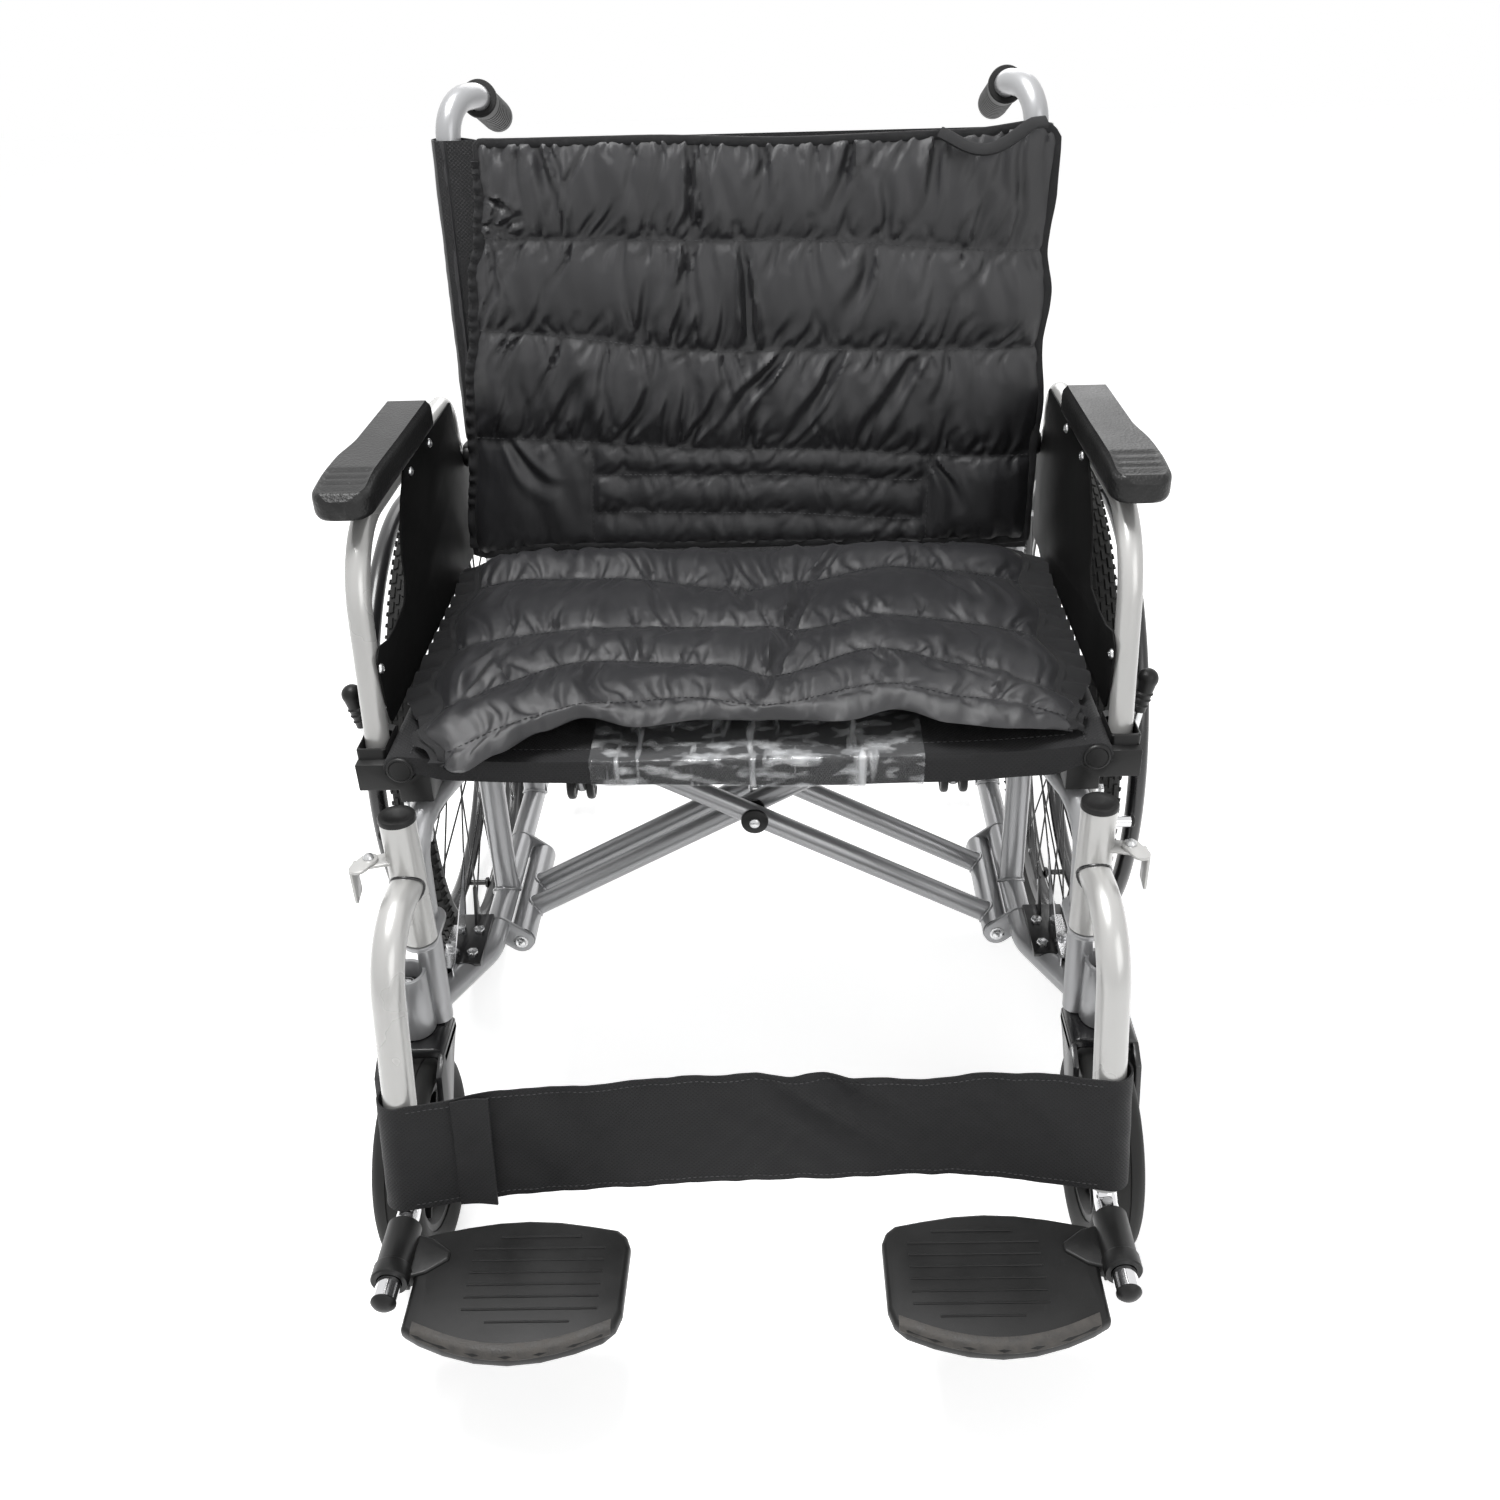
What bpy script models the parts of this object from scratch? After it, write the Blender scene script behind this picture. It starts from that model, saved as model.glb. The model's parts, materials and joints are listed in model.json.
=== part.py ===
"""Folding bariatric wheelchair with flip-back arms and swing-away footrests.

Units are metres, +Z is up, +X is the right of the picture and -Y is the front of the chair.
Every place is written from the rear axle line (Y = 0) and the floor (Z = 0). The whole chair
then hangs on one empty, which moves it so that the origin is the middle of its footprint.
"""

import math

import bmesh
import bpy
from mathutils import Matrix, Vector

# Clearances
GAP = 0.0003            # between two pieces that touch
RUN = 0.0005            # all round a shaft that turns in a hole
PLAY = 0.0010           # beside a piece that turns or slides

# Seat and side frames
SEAT_WIDTH = 0.618      # between the centres of the two seat rails
TUBE_D = 0.0254         # frame tubes, one inch
RAIL_Z = 0.494          # centre of a seat rail
RAIL_FRONT = -0.458
RAIL_REAR = -0.046
TOP_Z = 0.445           # centre of the side frame's top tube
LOW_Z = 0.232           # centre of the side frame's low rail
LOW_REAR = 0.055        # open rear end of the low rail
MID_POST_Y = -0.283
REAR_POST_Y = -0.085
FRONT_BEND = 0.045      # bend of the top tube into the front post
FRONT_POST_Y = -0.468
FRONT_POST_LEAN = 0.007     # how far the foot of the front post leans outward
POST_FOOT_CLEAR = 0.0015    # from the caster fork's crown up to the front post's foot
LOW_RAIL_CLEAR = 0.0078     # from that crown up to the low rail where it meets the front post
SADDLE_LOW = 0.368      # block behind the hanger post
SADDLE_HEIGHT = 0.022
SADDLE_HALF = 0.008
LOW_FLARE_Y = -0.385    # where the low rail turns outward to the front post

# Back canes and push grips
CANE_INSET = 0.009      # from the seat rail inward to the cane
CANE_BEND_Z = 0.620     # where the cane starts to lean back
CANE_TOP_Z = 0.985
CANE_LEAN = 0.038       # how far the cane leans back at its top
CANE_BEND = 0.040
CANE_END_Y = 0.085      # where the handle tube turns straight back
HANDLE_INSET = 0.023    # how far the handle tube bends inward
HANDLE_LENGTH = 0.110
HANDLE_DROP = 0.032
GRIP_D = 0.034
GRIP_BORE_D = 0.0272
GRIP_END_WALL = 0.006

# Folding cross brace
SLEEVE_D = 0.029
SLEEVE_INSET = 0.0228   # from the low rail inward to the sleeve
SLEEVE_Z = 0.213
PIVOT_Z = 0.3475        # just below half-way, so the rising rails lean in past the arm pads
SLEEVE_FRONT = -0.345
SLEEVE_REAR = -0.190
BAR_D = 0.022
BAR_PLAY = 0.003        # between the two bars that cross
OUTER_BARS = (-0.318, -0.227)   # leg B's two bars
INNER_BARS = (-0.293, -0.252)   # leg A's two bars, between those of leg B
BAR_KNEE_INSET = 0.073  # from the seat rail inward to where a bar bends over to it
BAR_KNEE_BEND = 0.06
BRACE_BOLT_D = 0.008
LUG_THICK = 0.004
PIVOT_CAP_D = 0.028
PIVOT_CAP_LENGTH = 0.006

# Seat guide with the arm socket
GUIDE_REAR = -0.398
GUIDE_FRONT = -0.455
GUIDE_FLOOR = 0.010     # thickness of plastic under the seat rail
SOCKET_WALL = 0.003
SOCKET_DEPTH = 0.013
SOCKET_SWEEP = 0.007    # room in front of the arm's foot as it swings out

# Flip-back arm
ARM_OFFSET = 0.027      # from the seat rail outward to the arm
ARM_D = 0.022
ARM_FOOT_Y = -0.424
ARM_FOOT_Z = 0.495
ARM_FRONT_Y = -0.392    # corner of the arm, before its bend
ARM_TOP_Z = 0.690
ARM_FRONT_BEND = 0.085
ARM_REAR_Y = 0.000
ARM_REAR_BEND = 0.030
ARM_PIVOT_Y = 0.008
ARM_PIVOT_Z = 0.628
ARM_EYE_D = 0.024
ARM_PIN_D = 0.010
PAD_REAR_Y = -0.134
PAD_FRONT_Y = -0.392
PAD_THICK = 0.031
PAD_WIDTH = 0.047
PAD_FLARE = 0.006       # extra reach of the pad outward at its front
PAD_FLARE_Y = -0.270
PAD_EDGE = 0.006
PANEL_THICK = 0.002
PANEL_LOW_Z = 0.516
PANEL_REAR_Y = 0.011

# Rear wheel
WHEEL_RADIUS = 0.305    # 24 inch wheel
WHEEL_OFFSET = 0.051    # from the seat rail outward to the wheel's middle
WHEEL_SIDES = 32
TYRE_WIDTH = 0.037
TYRE_HEIGHT = 0.0335
RIM_WIDTH = 0.023
RIM_HEIGHT = 0.007
HANDRIM_INSET = 0.0425  # from the tyre's crown inward to the push ring
HANDRIM_D = 0.019
HANDRIM_OFFSET = 0.044  # from the wheel's middle outward
HANDRIM_TABS = 6
AXLE_D = 0.012
HUB_D = 0.034
HUB_FLANGE_D = 0.060
HUB_FLANGE_THICK = 0.0025
HUB_FLANGE_IN = 0.026   # flanges' distances from the wheel's middle
HUB_FLANGE_OUT = 0.020
HUB_IN = 0.0365         # hub's ends, from the wheel's middle
HUB_OUT = 0.0305
SPOKES = 24
SPOKE_D = 0.0030
SPOKE_LEAD = 38.0       # degrees that a spoke runs on round the rim

# Caster
CASTER_OFFSET = 0.023   # from the seat rail outward to the stem
STEM_Y = -0.485
CASTER_RADIUS = 0.100   # 8 inch caster
CASTER_WIDTH = 0.046
CASTER_TRAIL = 0.0540
CASTER_SIDES = 24
CASTER_RIM_R = 0.072
CASTER_BOSS_D = 0.028
CASTER_AXLE_D = 0.010
FORK_ARM_THICK = 0.006
FORK_PLAY = 0.0035      # between the wheel and each fork arm, and under the crown
CROWN_THICK = 0.012
STEM_D = 0.014
HOUSING_D = 0.040
HOUSING_HEIGHT = 0.070
HOUSING_CUP_D = 0.032
HOUSING_CUP_DEPTH = 0.022

# Swing-away hanger with its footrest
HANGER_INSET = 0.004    # from the seat rail inward to the hanger post
HANGER_Y = -0.502
HANGER_POST_D = 0.032
HANGER_POST_LOW = 0.3400
HANGER_POST_TOP = 0.476
HANGER_D = 0.029
HANGER_START_Z = 0.405
HANGER_CORNER_Y = -0.5885
HANGER_BEND = 0.070
HANGER_LEAN = 0.007     # how far the open lower end of the hanger tube leans outward
HANGER_LOW_Y = -0.6405
HANGER_LOW_Z = 0.162
HANGER_BORE_D = 0.0228
HANGER_PIN_D = 0.010
HANGER_PIN_HEIGHT = 0.018
LEG_D = 0.0210
LEG_INSERT = 0.085      # length of leg tube inside the hanger
LEG_CORNER_Z = 0.146
LEG_BEND = 0.016
LEG_PIN_FRONT = -0.747
PLATE_BARREL_D = 0.030
PLATE_BARREL_REAR = -0.6665
PLATE_BARREL_FRONT = -0.727
PLATE_WIDTH = 0.1845
PLATE_BESIDE = 0.0175   # from the leg inward to the footplate's outer edge
PLATE_REAR_Y = -0.673
PLATE_REAR_BULGE = 0.016
PLATE_FRONT_Y = -0.768
PLATE_FRONT_BULGE = 0.029
PLATE_TOP_Z = 0.142
PLATE_THICK = 0.015
PLATE_CORNER = 0.016
PLATE_RIDGES = 8
PLATE_RIDGE_HEIGHT = 0.0012
STRAP_TOP_Z = 0.266
STRAP_LOW_Z = 0.162
STRAP_THICK = 0.002
STRAP_SPLIT = 0.0010    # gap between the two halves of the calf strap
STRAP_BOW = 0.012       # how far its middle hangs back
STRAP_LIFT = 0.014      # how far its middle stands above its ends
RELEASE_Z = 0.4330
RELEASE_THICK = 0.003
RELEASE_PIN_D = 0.006
RELEASE_OUT = 0.029     # from the hanger post outward to the lever's bolt

# Wheel lock
BRAKE_OFFSET = 0.052    # from the seat rail outward to the lever
BRAKE_AHEAD = 0.061     # from the tyre forward to the lever's pivot
BRAKE_Z = 0.430
BRAKE_CLAMP_AHEAD = 0.020
FLARE_AHEAD = 0.025     # from that clamp forward to where the top tube turns outward
BRAKE_PLATE_OFFSET = 0.021
BRAKE_PLATE_THICK = 0.004
BRAKE_PIN_D = 0.008
BRAKE_LEVER_D = 0.011
BRAKE_LEVER_RISE = (0.012, 0.006, 0.089)    # from its pivot to its ball
BRAKE_BALL_D = 0.020
SHOE_PIVOT_AHEAD = 0.047
SHOE_PIVOT_Z = 0.392
SHOE_D = 0.012
SHOE_AHEAD = 0.016      # from the tyre forward to the shoe bar, released
SHOE_ABOVE = 0.028      # from the axle up to the shoe bar
SHOE_REACH = 0.029      # from the wheel's middle outward to its end

# Anti-tip wheels
TIP_D = 0.016
TIP_INSERT = 0.050
TIP_CORNER_Y = 0.125
TIP_BEND = 0.040
TIP_WHEEL_Y = 0.235
TIP_WHEEL_Z = 0.047
TIP_WHEEL_D = 0.050
TIP_WHEEL_THICK = 0.011
TIP_WHEEL_SPREAD = 0.0285
TIP_AXLE_D = 0.008

# Soft goods
SLING_THICK = 0.003
SLING_SAG = 0.010
SEAT_CUSHION_THICK = 0.052
SEAT_CUSHION_FRONT = -0.475
SEAT_CUSHION_REAR = -0.085
SEAT_CUSHION_INSET = 0.027  # from the seat rail inward to its side
BACK_CUSHION_THICK = 0.048
BACK_CUSHION_OUT = 0.002    # from the cane outward to its side
BACK_LOW_Z = 0.545
BACK_TOP_Z = 0.950

# Places that follow from the sizes above
RAIL_X = SEAT_WIDTH / 2
CANE_X = RAIL_X - CANE_INSET
FRAME_X = CANE_X - TUBE_D - GAP
SLEEVE_X = FRAME_X - SLEEVE_INSET
WHEEL_X = RAIL_X + WHEEL_OFFSET
HANDRIM_X = WHEEL_X + HANDRIM_OFFSET
HANDRIM_RADIUS = WHEEL_RADIUS - HANDRIM_INSET
ARM_X = RAIL_X + ARM_OFFSET
CASTER_X = RAIL_X + CASTER_OFFSET
HANGER_X = RAIL_X - HANGER_INSET
HANGER_LOW = (HANGER_X + HANGER_LEAN, HANGER_LOW_Y, HANGER_LOW_Z)
FRONT_POST_X = HANGER_X
PLATE_OUTER_X = HANGER_LOW[0] - PLATE_BESIDE
PLATE_INNER_X = PLATE_OUTER_X - PLATE_WIDTH
BRAKE_X = RAIL_X + BRAKE_OFFSET
BRAKE_Y = -WHEEL_RADIUS - BRAKE_AHEAD
BRAKE_CLAMP_Y = -WHEEL_RADIUS - BRAKE_CLAMP_AHEAD
BRAKE_PLATE_X = RAIL_X + BRAKE_PLATE_OFFSET
TOP_FLARE_Y = BRAKE_CLAMP_Y - FLARE_AHEAD
BRAKE_LEVER_TOP = (BRAKE_X + BRAKE_LEVER_RISE[0], BRAKE_Y + BRAKE_LEVER_RISE[1],
                   BRAKE_Z + BRAKE_LEVER_RISE[2])
SHOE_PIVOT_Y = -WHEEL_RADIUS - SHOE_PIVOT_AHEAD
SHOE_AT = (-WHEEL_RADIUS - SHOE_AHEAD, WHEEL_RADIUS + SHOE_ABOVE)
SHOE_END_X = WHEEL_X + SHOE_REACH
SEAT_CUSHION_HALF = RAIL_X - SEAT_CUSHION_INSET
BACK_CUSHION_HALF = CANE_X + BACK_CUSHION_OUT
CROWN_TOP = 2 * CASTER_RADIUS + FORK_PLAY + CROWN_THICK
HOUSING_LOW = CROWN_TOP + PLAY
FRONT_POST_FOOT = CROWN_TOP + POST_FOOT_CLEAR
LOW_FRONT_Z = CROWN_TOP + TUBE_D / 2 + LOW_RAIL_CLEAR
CASTER_Y = STEM_Y - CASTER_TRAIL
BAR_KNEE_X = RAIL_X - BAR_KNEE_INSET
BAR_KNEE_Z = PIVOT_Z + (PIVOT_Z - SLEEVE_Z) * BAR_KNEE_X / SLEEVE_X
FRONT_REACH = PLATE_FRONT_Y - PLATE_FRONT_BULGE
FOOTPRINT_MIDDLE = (FRONT_REACH + WHEEL_RADIUS) / 2

SIDES = {"left": -1, "right": 1}


def clear_scene():
    """Remove whatever the open file holds."""
    for item in list(bpy.data.objects):
        bpy.data.objects.remove(item, do_unlink=True)


def paint(name, colour, roughness, metallic=0.0):
    """Return a plain material of this colour and finish."""
    material = bpy.data.materials.new(name)
    material.use_nodes = True
    shader = material.node_tree.nodes["Principled BSDF"]
    shader.inputs["Base Color"].default_value = (*colour, 1.0)
    shader.inputs["Roughness"].default_value = roughness
    shader.inputs["Metallic"].default_value = metallic
    return material


def link(item):
    """Put an object in the wheelchair's collection and return it."""
    bpy.data.collections["bariatric_wheelchair"].objects.link(item)
    return item


def rounded(corners, bends, steps=5):
    """Return the points of a bent tube: corners joined by arcs of the bends' radii."""
    corners = [Vector(corner) for corner in corners]
    points = [corners[0]]
    for index, bend in enumerate(bends, start=1):
        corner = corners[index]
        back = (corners[index - 1] - corner).normalized()
        ahead = (corners[index + 1] - corner).normalized()
        turn = math.pi - back.angle(ahead)
        reach = bend * math.tan(turn / 2)
        middle = corner + (back + ahead).normalized() * (bend / math.cos(turn / 2))
        start = corner + back * reach - middle
        end = corner + ahead * reach - middle
        for step in range(steps + 1):
            share = step / steps
            spread = math.sin(turn)
            arm = start * (math.sin((1 - share) * turn) / spread)
            arm = arm + end * (math.sin(share * turn) / spread)
            points.append(middle + arm)
    points.append(corners[-1])
    return points


def tube(name, points, diameter, resolution=2):
    """Return a round tube along the points, as a curve object with filled caps."""
    curve = bpy.data.curves.new(name, "CURVE")
    curve.dimensions = "3D"
    curve.bevel_depth = diameter / 2
    curve.bevel_resolution = resolution
    curve.use_fill_caps = True
    spline = curve.splines.new("POLY")
    spline.points.add(len(points) - 1)
    for point, place in zip(spline.points, points):
        point.co = (*place, 1.0)
    return link(bpy.data.objects.new(name, curve))


def slab(name, outline, thickness, middle, normal="Z"):
    """Return a plate with a flat outline, centred on its thickness at middle along normal.

    The outline's points are (X, Y) for a plate that faces Z and (Y, Z) for one that faces X.
    """
    curve = bpy.data.curves.new(name, "CURVE")
    curve.dimensions = "2D"
    curve.fill_mode = "BOTH"
    curve.extrude = thickness / 2
    spline = curve.splines.new("POLY")
    spline.points.add(len(outline) - 1)
    for point, (first, second) in zip(spline.points, outline):
        point.co = (first, second, 0.0, 1.0)
    spline.use_cyclic_u = True
    plate = link(bpy.data.objects.new(name, curve))
    if normal == "Z":
        plate.location = (0, 0, middle)
    elif normal == "X":
        plate.matrix_world = Matrix(((0, 0, 1, middle), (1, 0, 0, 0), (0, 1, 0, 0), (0, 0, 0, 1)))
    else:
        plate.matrix_world = Matrix(((1, 0, 0, 0), (0, 0, -1, middle), (0, 1, 0, 0), (0, 0, 0, 1)))
    return plate


def solid(item):
    """Turn a curve or a modified object into one plain closed mesh object and return it."""
    bpy.context.view_layer.update()
    graph = bpy.context.evaluated_depsgraph_get()
    mesh = bpy.data.meshes.new_from_object(item.evaluated_get(graph))
    form = bmesh.new()
    form.from_mesh(mesh)
    bmesh.ops.remove_doubles(form, verts=form.verts, dist=0.00001)
    bmesh.ops.recalc_face_normals(form, faces=form.faces)
    form.to_mesh(mesh)
    form.free()
    name = item.name
    place = item.matrix_world.copy()
    bpy.data.objects.remove(item, do_unlink=True)
    result = link(bpy.data.objects.new(name, mesh))
    result.matrix_world = place
    return result


def boolean(base, other, operation):
    """Join other to base, or cut it away, and remove it. Both are closed solids."""
    modifier = base.modifiers.new(operation.lower(), "BOOLEAN")
    modifier.operation = operation
    modifier.object = other
    modifier.solver = "EXACT"
    joined = solid(base)
    bpy.data.objects.remove(other, do_unlink=True)
    return joined


def weld(pieces, cuts=()):
    """Join the pieces into one solid, take the cuts away and return the result."""
    result = solid(pieces[0])
    for piece in pieces[1:]:
        result = boolean(result, solid(piece), "UNION")
    for cut in cuts:
        result = boolean(result, solid(cut), "DIFFERENCE")
    return result


def box(name, low, high):
    """Return a block between two opposite corners."""
    low, high = Vector(low), Vector(high)
    mesh = bpy.data.meshes.new(name)
    form = bmesh.new()
    bmesh.ops.create_cube(form, size=1.0)
    size = [abs(high[axis] - low[axis]) for axis in range(3)]
    bmesh.ops.scale(form, vec=size, verts=form.verts)
    form.to_mesh(mesh)
    form.free()
    block = link(bpy.data.objects.new(name, mesh))
    block.location = (low + high) / 2
    return block


def rod(name, start, end, diameter, sides=12):
    """Return a straight round bar from start to end."""
    start, end = Vector(start), Vector(end)
    mesh = bpy.data.meshes.new(name)
    form = bmesh.new()
    bmesh.ops.create_cone(
        form, cap_ends=True, segments=sides,
        radius1=diameter / 2, radius2=diameter / 2, depth=(end - start).length,
    )
    form.to_mesh(mesh)
    form.free()
    bar = link(bpy.data.objects.new(name, mesh))
    aim = (end - start).to_track_quat("Z", "Y").to_matrix().to_4x4()
    bar.matrix_world = Matrix.Translation((start + end) / 2) @ aim
    return bar


def bore(start, end, diameter, sides=12):
    """Return a cutter for a round hole; the diameter is the one across its flats."""
    return rod("bore", start, end, diameter / math.cos(math.pi / sides), sides)


def mirrored(item):
    """Turn a piece of the right side into the left side's one and return it."""
    item = solid(item)
    item.data.transform(Matrix.Diagonal((-1, 1, 1, 1)) @ item.matrix_world)
    item.data.flip_normals()
    item.matrix_world = Matrix.Identity(4)
    return item


def turned(name, profile, origin, axis, sides, ring=False):
    """Return a shape turned round an axis through origin.

    The profile's points are (radius, distance along the axis), from the far end down the outer
    side to the near end. The radii are to the flats, and a flat faces down.
    """
    mesh = bpy.data.meshes.new(name)
    grow = 1 / math.cos(math.pi / sides)
    points = [(radius * grow, 0, along) for radius, along in profile]
    edges = [(index, index + 1) for index in range(len(points) - 1)]
    if ring:
        edges.append((len(points) - 1, 0))
    mesh.from_pydata(points, edges, [])
    shape = link(bpy.data.objects.new(name, mesh))
    screw = shape.modifiers.new("turn", "SCREW")
    screw.axis = "Z"
    screw.steps = sides
    screw.render_steps = sides
    screw.use_merge_vertices = True
    screw.merge_threshold = 0.0001
    aim = Vector(axis).to_track_quat("Z", "Y").to_matrix().to_4x4()
    half_flat = Matrix.Rotation(math.pi / sides, 4, "Z")
    shape.matrix_world = Matrix.Translation(origin) @ aim @ half_flat
    return solid(shape)


def capsule(first, second, radius, steps=6):
    """Return the outline of a bar with round ends, between two flat points."""
    first, second = Vector(first), Vector(second)
    run = second - first
    heading = math.atan2(run.y, run.x)
    outline = []
    for centre, start in ((second, heading - math.pi / 2), (first, heading + math.pi / 2)):
        for step in range(steps + 1):
            angle = start + math.pi * step / steps
            outline.append((centre.x + radius * math.cos(angle), centre.y + radius * math.sin(angle)))
    return outline


def finish(item, material, smooth=True):
    """Give an object its material and shade its round faces smooth."""
    item.data.materials.clear()
    item.data.materials.append(material)
    if smooth and item.type == "MESH":
        item.data.shade_smooth()
        item.data.set_sharp_from_angle(angle=math.radians(35))
    return item


def cane_path():
    """Return the points of a back cane from its foot to the end of its handle tube."""
    x = CANE_X
    inward = CANE_X - HANDLE_INSET
    corners = [
        (x, 0, LOW_Z - TUBE_D / 2),
        (x, 0, CANE_BEND_Z),
        (x, CANE_LEAN, CANE_TOP_Z),
        (inward, CANE_END_Y, CANE_TOP_Z),
        handle_end(),
    ]
    return rounded(corners, [0.15, CANE_BEND, 0.035], steps=4)


def handle_end():
    """Return the end of the handle tube, inside the grip."""
    return (CANE_X - HANDLE_INSET, CANE_END_Y + HANDLE_LENGTH, CANE_TOP_Z - HANDLE_DROP)


def side_frame(name):
    """Return the welded side frame: tubes, brace lugs, caster housing and hanger brackets."""
    x = FRAME_X
    post_x = FRONT_POST_X
    foot_x = FRONT_POST_X + FRONT_POST_LEAN
    flare = FRONT_POST_X - FRAME_X
    top = [
        (x, TUBE_D / 2, TOP_Z),
        (x, TOP_FLARE_Y, TOP_Z),
        (x + flare, FRONT_POST_Y, TOP_Z),
        (foot_x, FRONT_POST_Y, FRONT_POST_FOOT),
    ]
    low = [
        (x, LOW_REAR, LOW_Z),
        (x, LOW_FLARE_Y, LOW_Z),
        (foot_x, FRONT_POST_Y, LOW_FRONT_Z),
    ]
    pieces = [
        tube(name, rounded(top, [0.10, FRONT_BEND], steps=4), TUBE_D),
        tube("low_rail", rounded(low, [0.06], steps=3), TUBE_D),
    ]
    for post_y in (MID_POST_Y, REAR_POST_Y):
        pieces.append(tube("post", [(x, post_y, LOW_Z), (x, post_y, TOP_Z)], TUBE_D))

    stem_x = CASTER_X
    housing_top = HOUSING_LOW + HOUSING_HEIGHT
    hole = STEM_D / 2 + RUN
    cup_floor = housing_top - HOUSING_CUP_DEPTH
    housing = [
        (HOUSING_CUP_D / 2, housing_top), (HOUSING_D / 2, housing_top), (HOUSING_D / 2, HOUSING_LOW),
        (hole, HOUSING_LOW), (hole, cup_floor), (HOUSING_CUP_D / 2, cup_floor),
    ]
    pieces.append(turned("housing", housing, (stem_x, STEM_Y, 0), (0, 0, 1), 12, ring=True))

    for face in (SLEEVE_FRONT - RUN - LUG_THICK / 2, SLEEVE_REAR + RUN + LUG_THICK / 2):
        outline = capsule((SLEEVE_X, SLEEVE_Z), (x, LOW_Z), SLEEVE_D / 2 - 0.001, steps=4)
        pieces.append(slab("lug", outline, LUG_THICK, face, normal="Y"))
    bolt_front = SLEEVE_FRONT - RUN - LUG_THICK - 0.004
    bolt_rear = SLEEVE_REAR + RUN + LUG_THICK + 0.004
    bolt = [(SLEEVE_X, bolt_front, SLEEVE_Z), (SLEEVE_X, bolt_rear, SLEEVE_Z)]
    pieces.append(rod("brace_bolt", *bolt, BRACE_BOLT_D, sides=8))

    bracket_top = HANGER_POST_LOW - RUN
    bracket = capsule((post_x, HANGER_Y), (post_x, FRONT_POST_Y), HANGER_POST_D / 2, steps=4)
    pieces.append(slab("hanger_bracket", bracket, 0.005, bracket_top - 0.0025))
    pin_top = bracket_top + HANGER_PIN_HEIGHT
    pin = [(post_x, HANGER_Y, bracket_top - 0.002), (post_x, HANGER_Y, pin_top)]
    pieces.append(rod("hanger_pin", *pin, HANGER_PIN_D, sides=8))
    saddle_front = HANGER_Y + HANGER_POST_D / 2 + PLAY
    low_corner = (post_x - SADDLE_HALF, saddle_front, SADDLE_LOW)
    high_corner = (post_x + SADDLE_HALF, FRONT_POST_Y, SADDLE_LOW + SADDLE_HEIGHT)
    pieces.append(box("saddle", low_corner, high_corner))

    plate_low = (x, -0.425, LOW_Z + 0.010)
    pieces.append(box("lock_plate", plate_low, (x + 0.042, -0.345, LOW_Z + 0.015)))
    channel_low = (x + 0.024, -0.447, LOW_Z + 0.013)
    pieces.append(box("lock_channel", channel_low, (x + 0.037, -0.378, LOW_Z + 0.027)))

    socket = bore((x, LOW_REAR - TIP_INSERT - 0.006, LOW_Z), (x, LOW_REAR + 0.01, LOW_Z),
                  TIP_D + 2 * RUN, sides=10)
    return weld(pieces, [socket])


def back_cane(name):
    """Return the cane with its axle boss and the block that carries the arm's pivot pin."""
    axle_z = WHEEL_RADIUS
    boss_end = WHEEL_X - HUB_IN - PLAY
    ear_in = CANE_X + TUBE_D / 2 + PLAY
    ear_out = ARM_X - ARM_D / 2 - PANEL_THICK - GAP - PLAY
    low = ARM_PIVOT_Z - 0.012
    high = ARM_PIVOT_Z + 0.012
    pin_start = (ear_in + 0.003, ARM_PIVOT_Y, ARM_PIVOT_Z)
    pin_end = (ARM_X + ARM_D / 2 + 0.002, ARM_PIVOT_Y, ARM_PIVOT_Z)
    pieces = [
        tube(name, cane_path(), TUBE_D),
        rod("boss", (CANE_X, 0, axle_z), (boss_end, 0, axle_z), 0.026),
        box("clamp", (CANE_X + 0.004, -0.006, low), (ear_out, ARM_PIVOT_Y + 0.012, high)),
        rod("arm_pin", pin_start, pin_end, ARM_PIN_D),
    ]
    hole = bore((0.20, 0, axle_z), (WHEEL_X, 0, axle_z), AXLE_D + 2 * RUN)
    return weld(pieces, [hole])


def push_grip(name):
    """Return the ribbed rubber grip that slides over the handle tube."""
    end = Vector(handle_end())
    start = Vector((CANE_X - HANDLE_INSET, CANE_END_Y, CANE_TOP_Z))
    back = (end - start).normalized()
    length = (end - start).length - 0.014
    outer = GRIP_D / 2
    bore = GRIP_BORE_D / 2
    tip = GRIP_END_WALL + PLAY
    profile = [
        (0, tip), (outer - 0.006, tip), (outer, tip - 0.006), (outer, 0.004 - length),
        (outer + 0.002, 0.004 - length), (outer + 0.002, -length), (bore, -length),
        (bore, PLAY), (0, PLAY),
    ]
    return turned(name, profile, end, back, 14)


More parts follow.
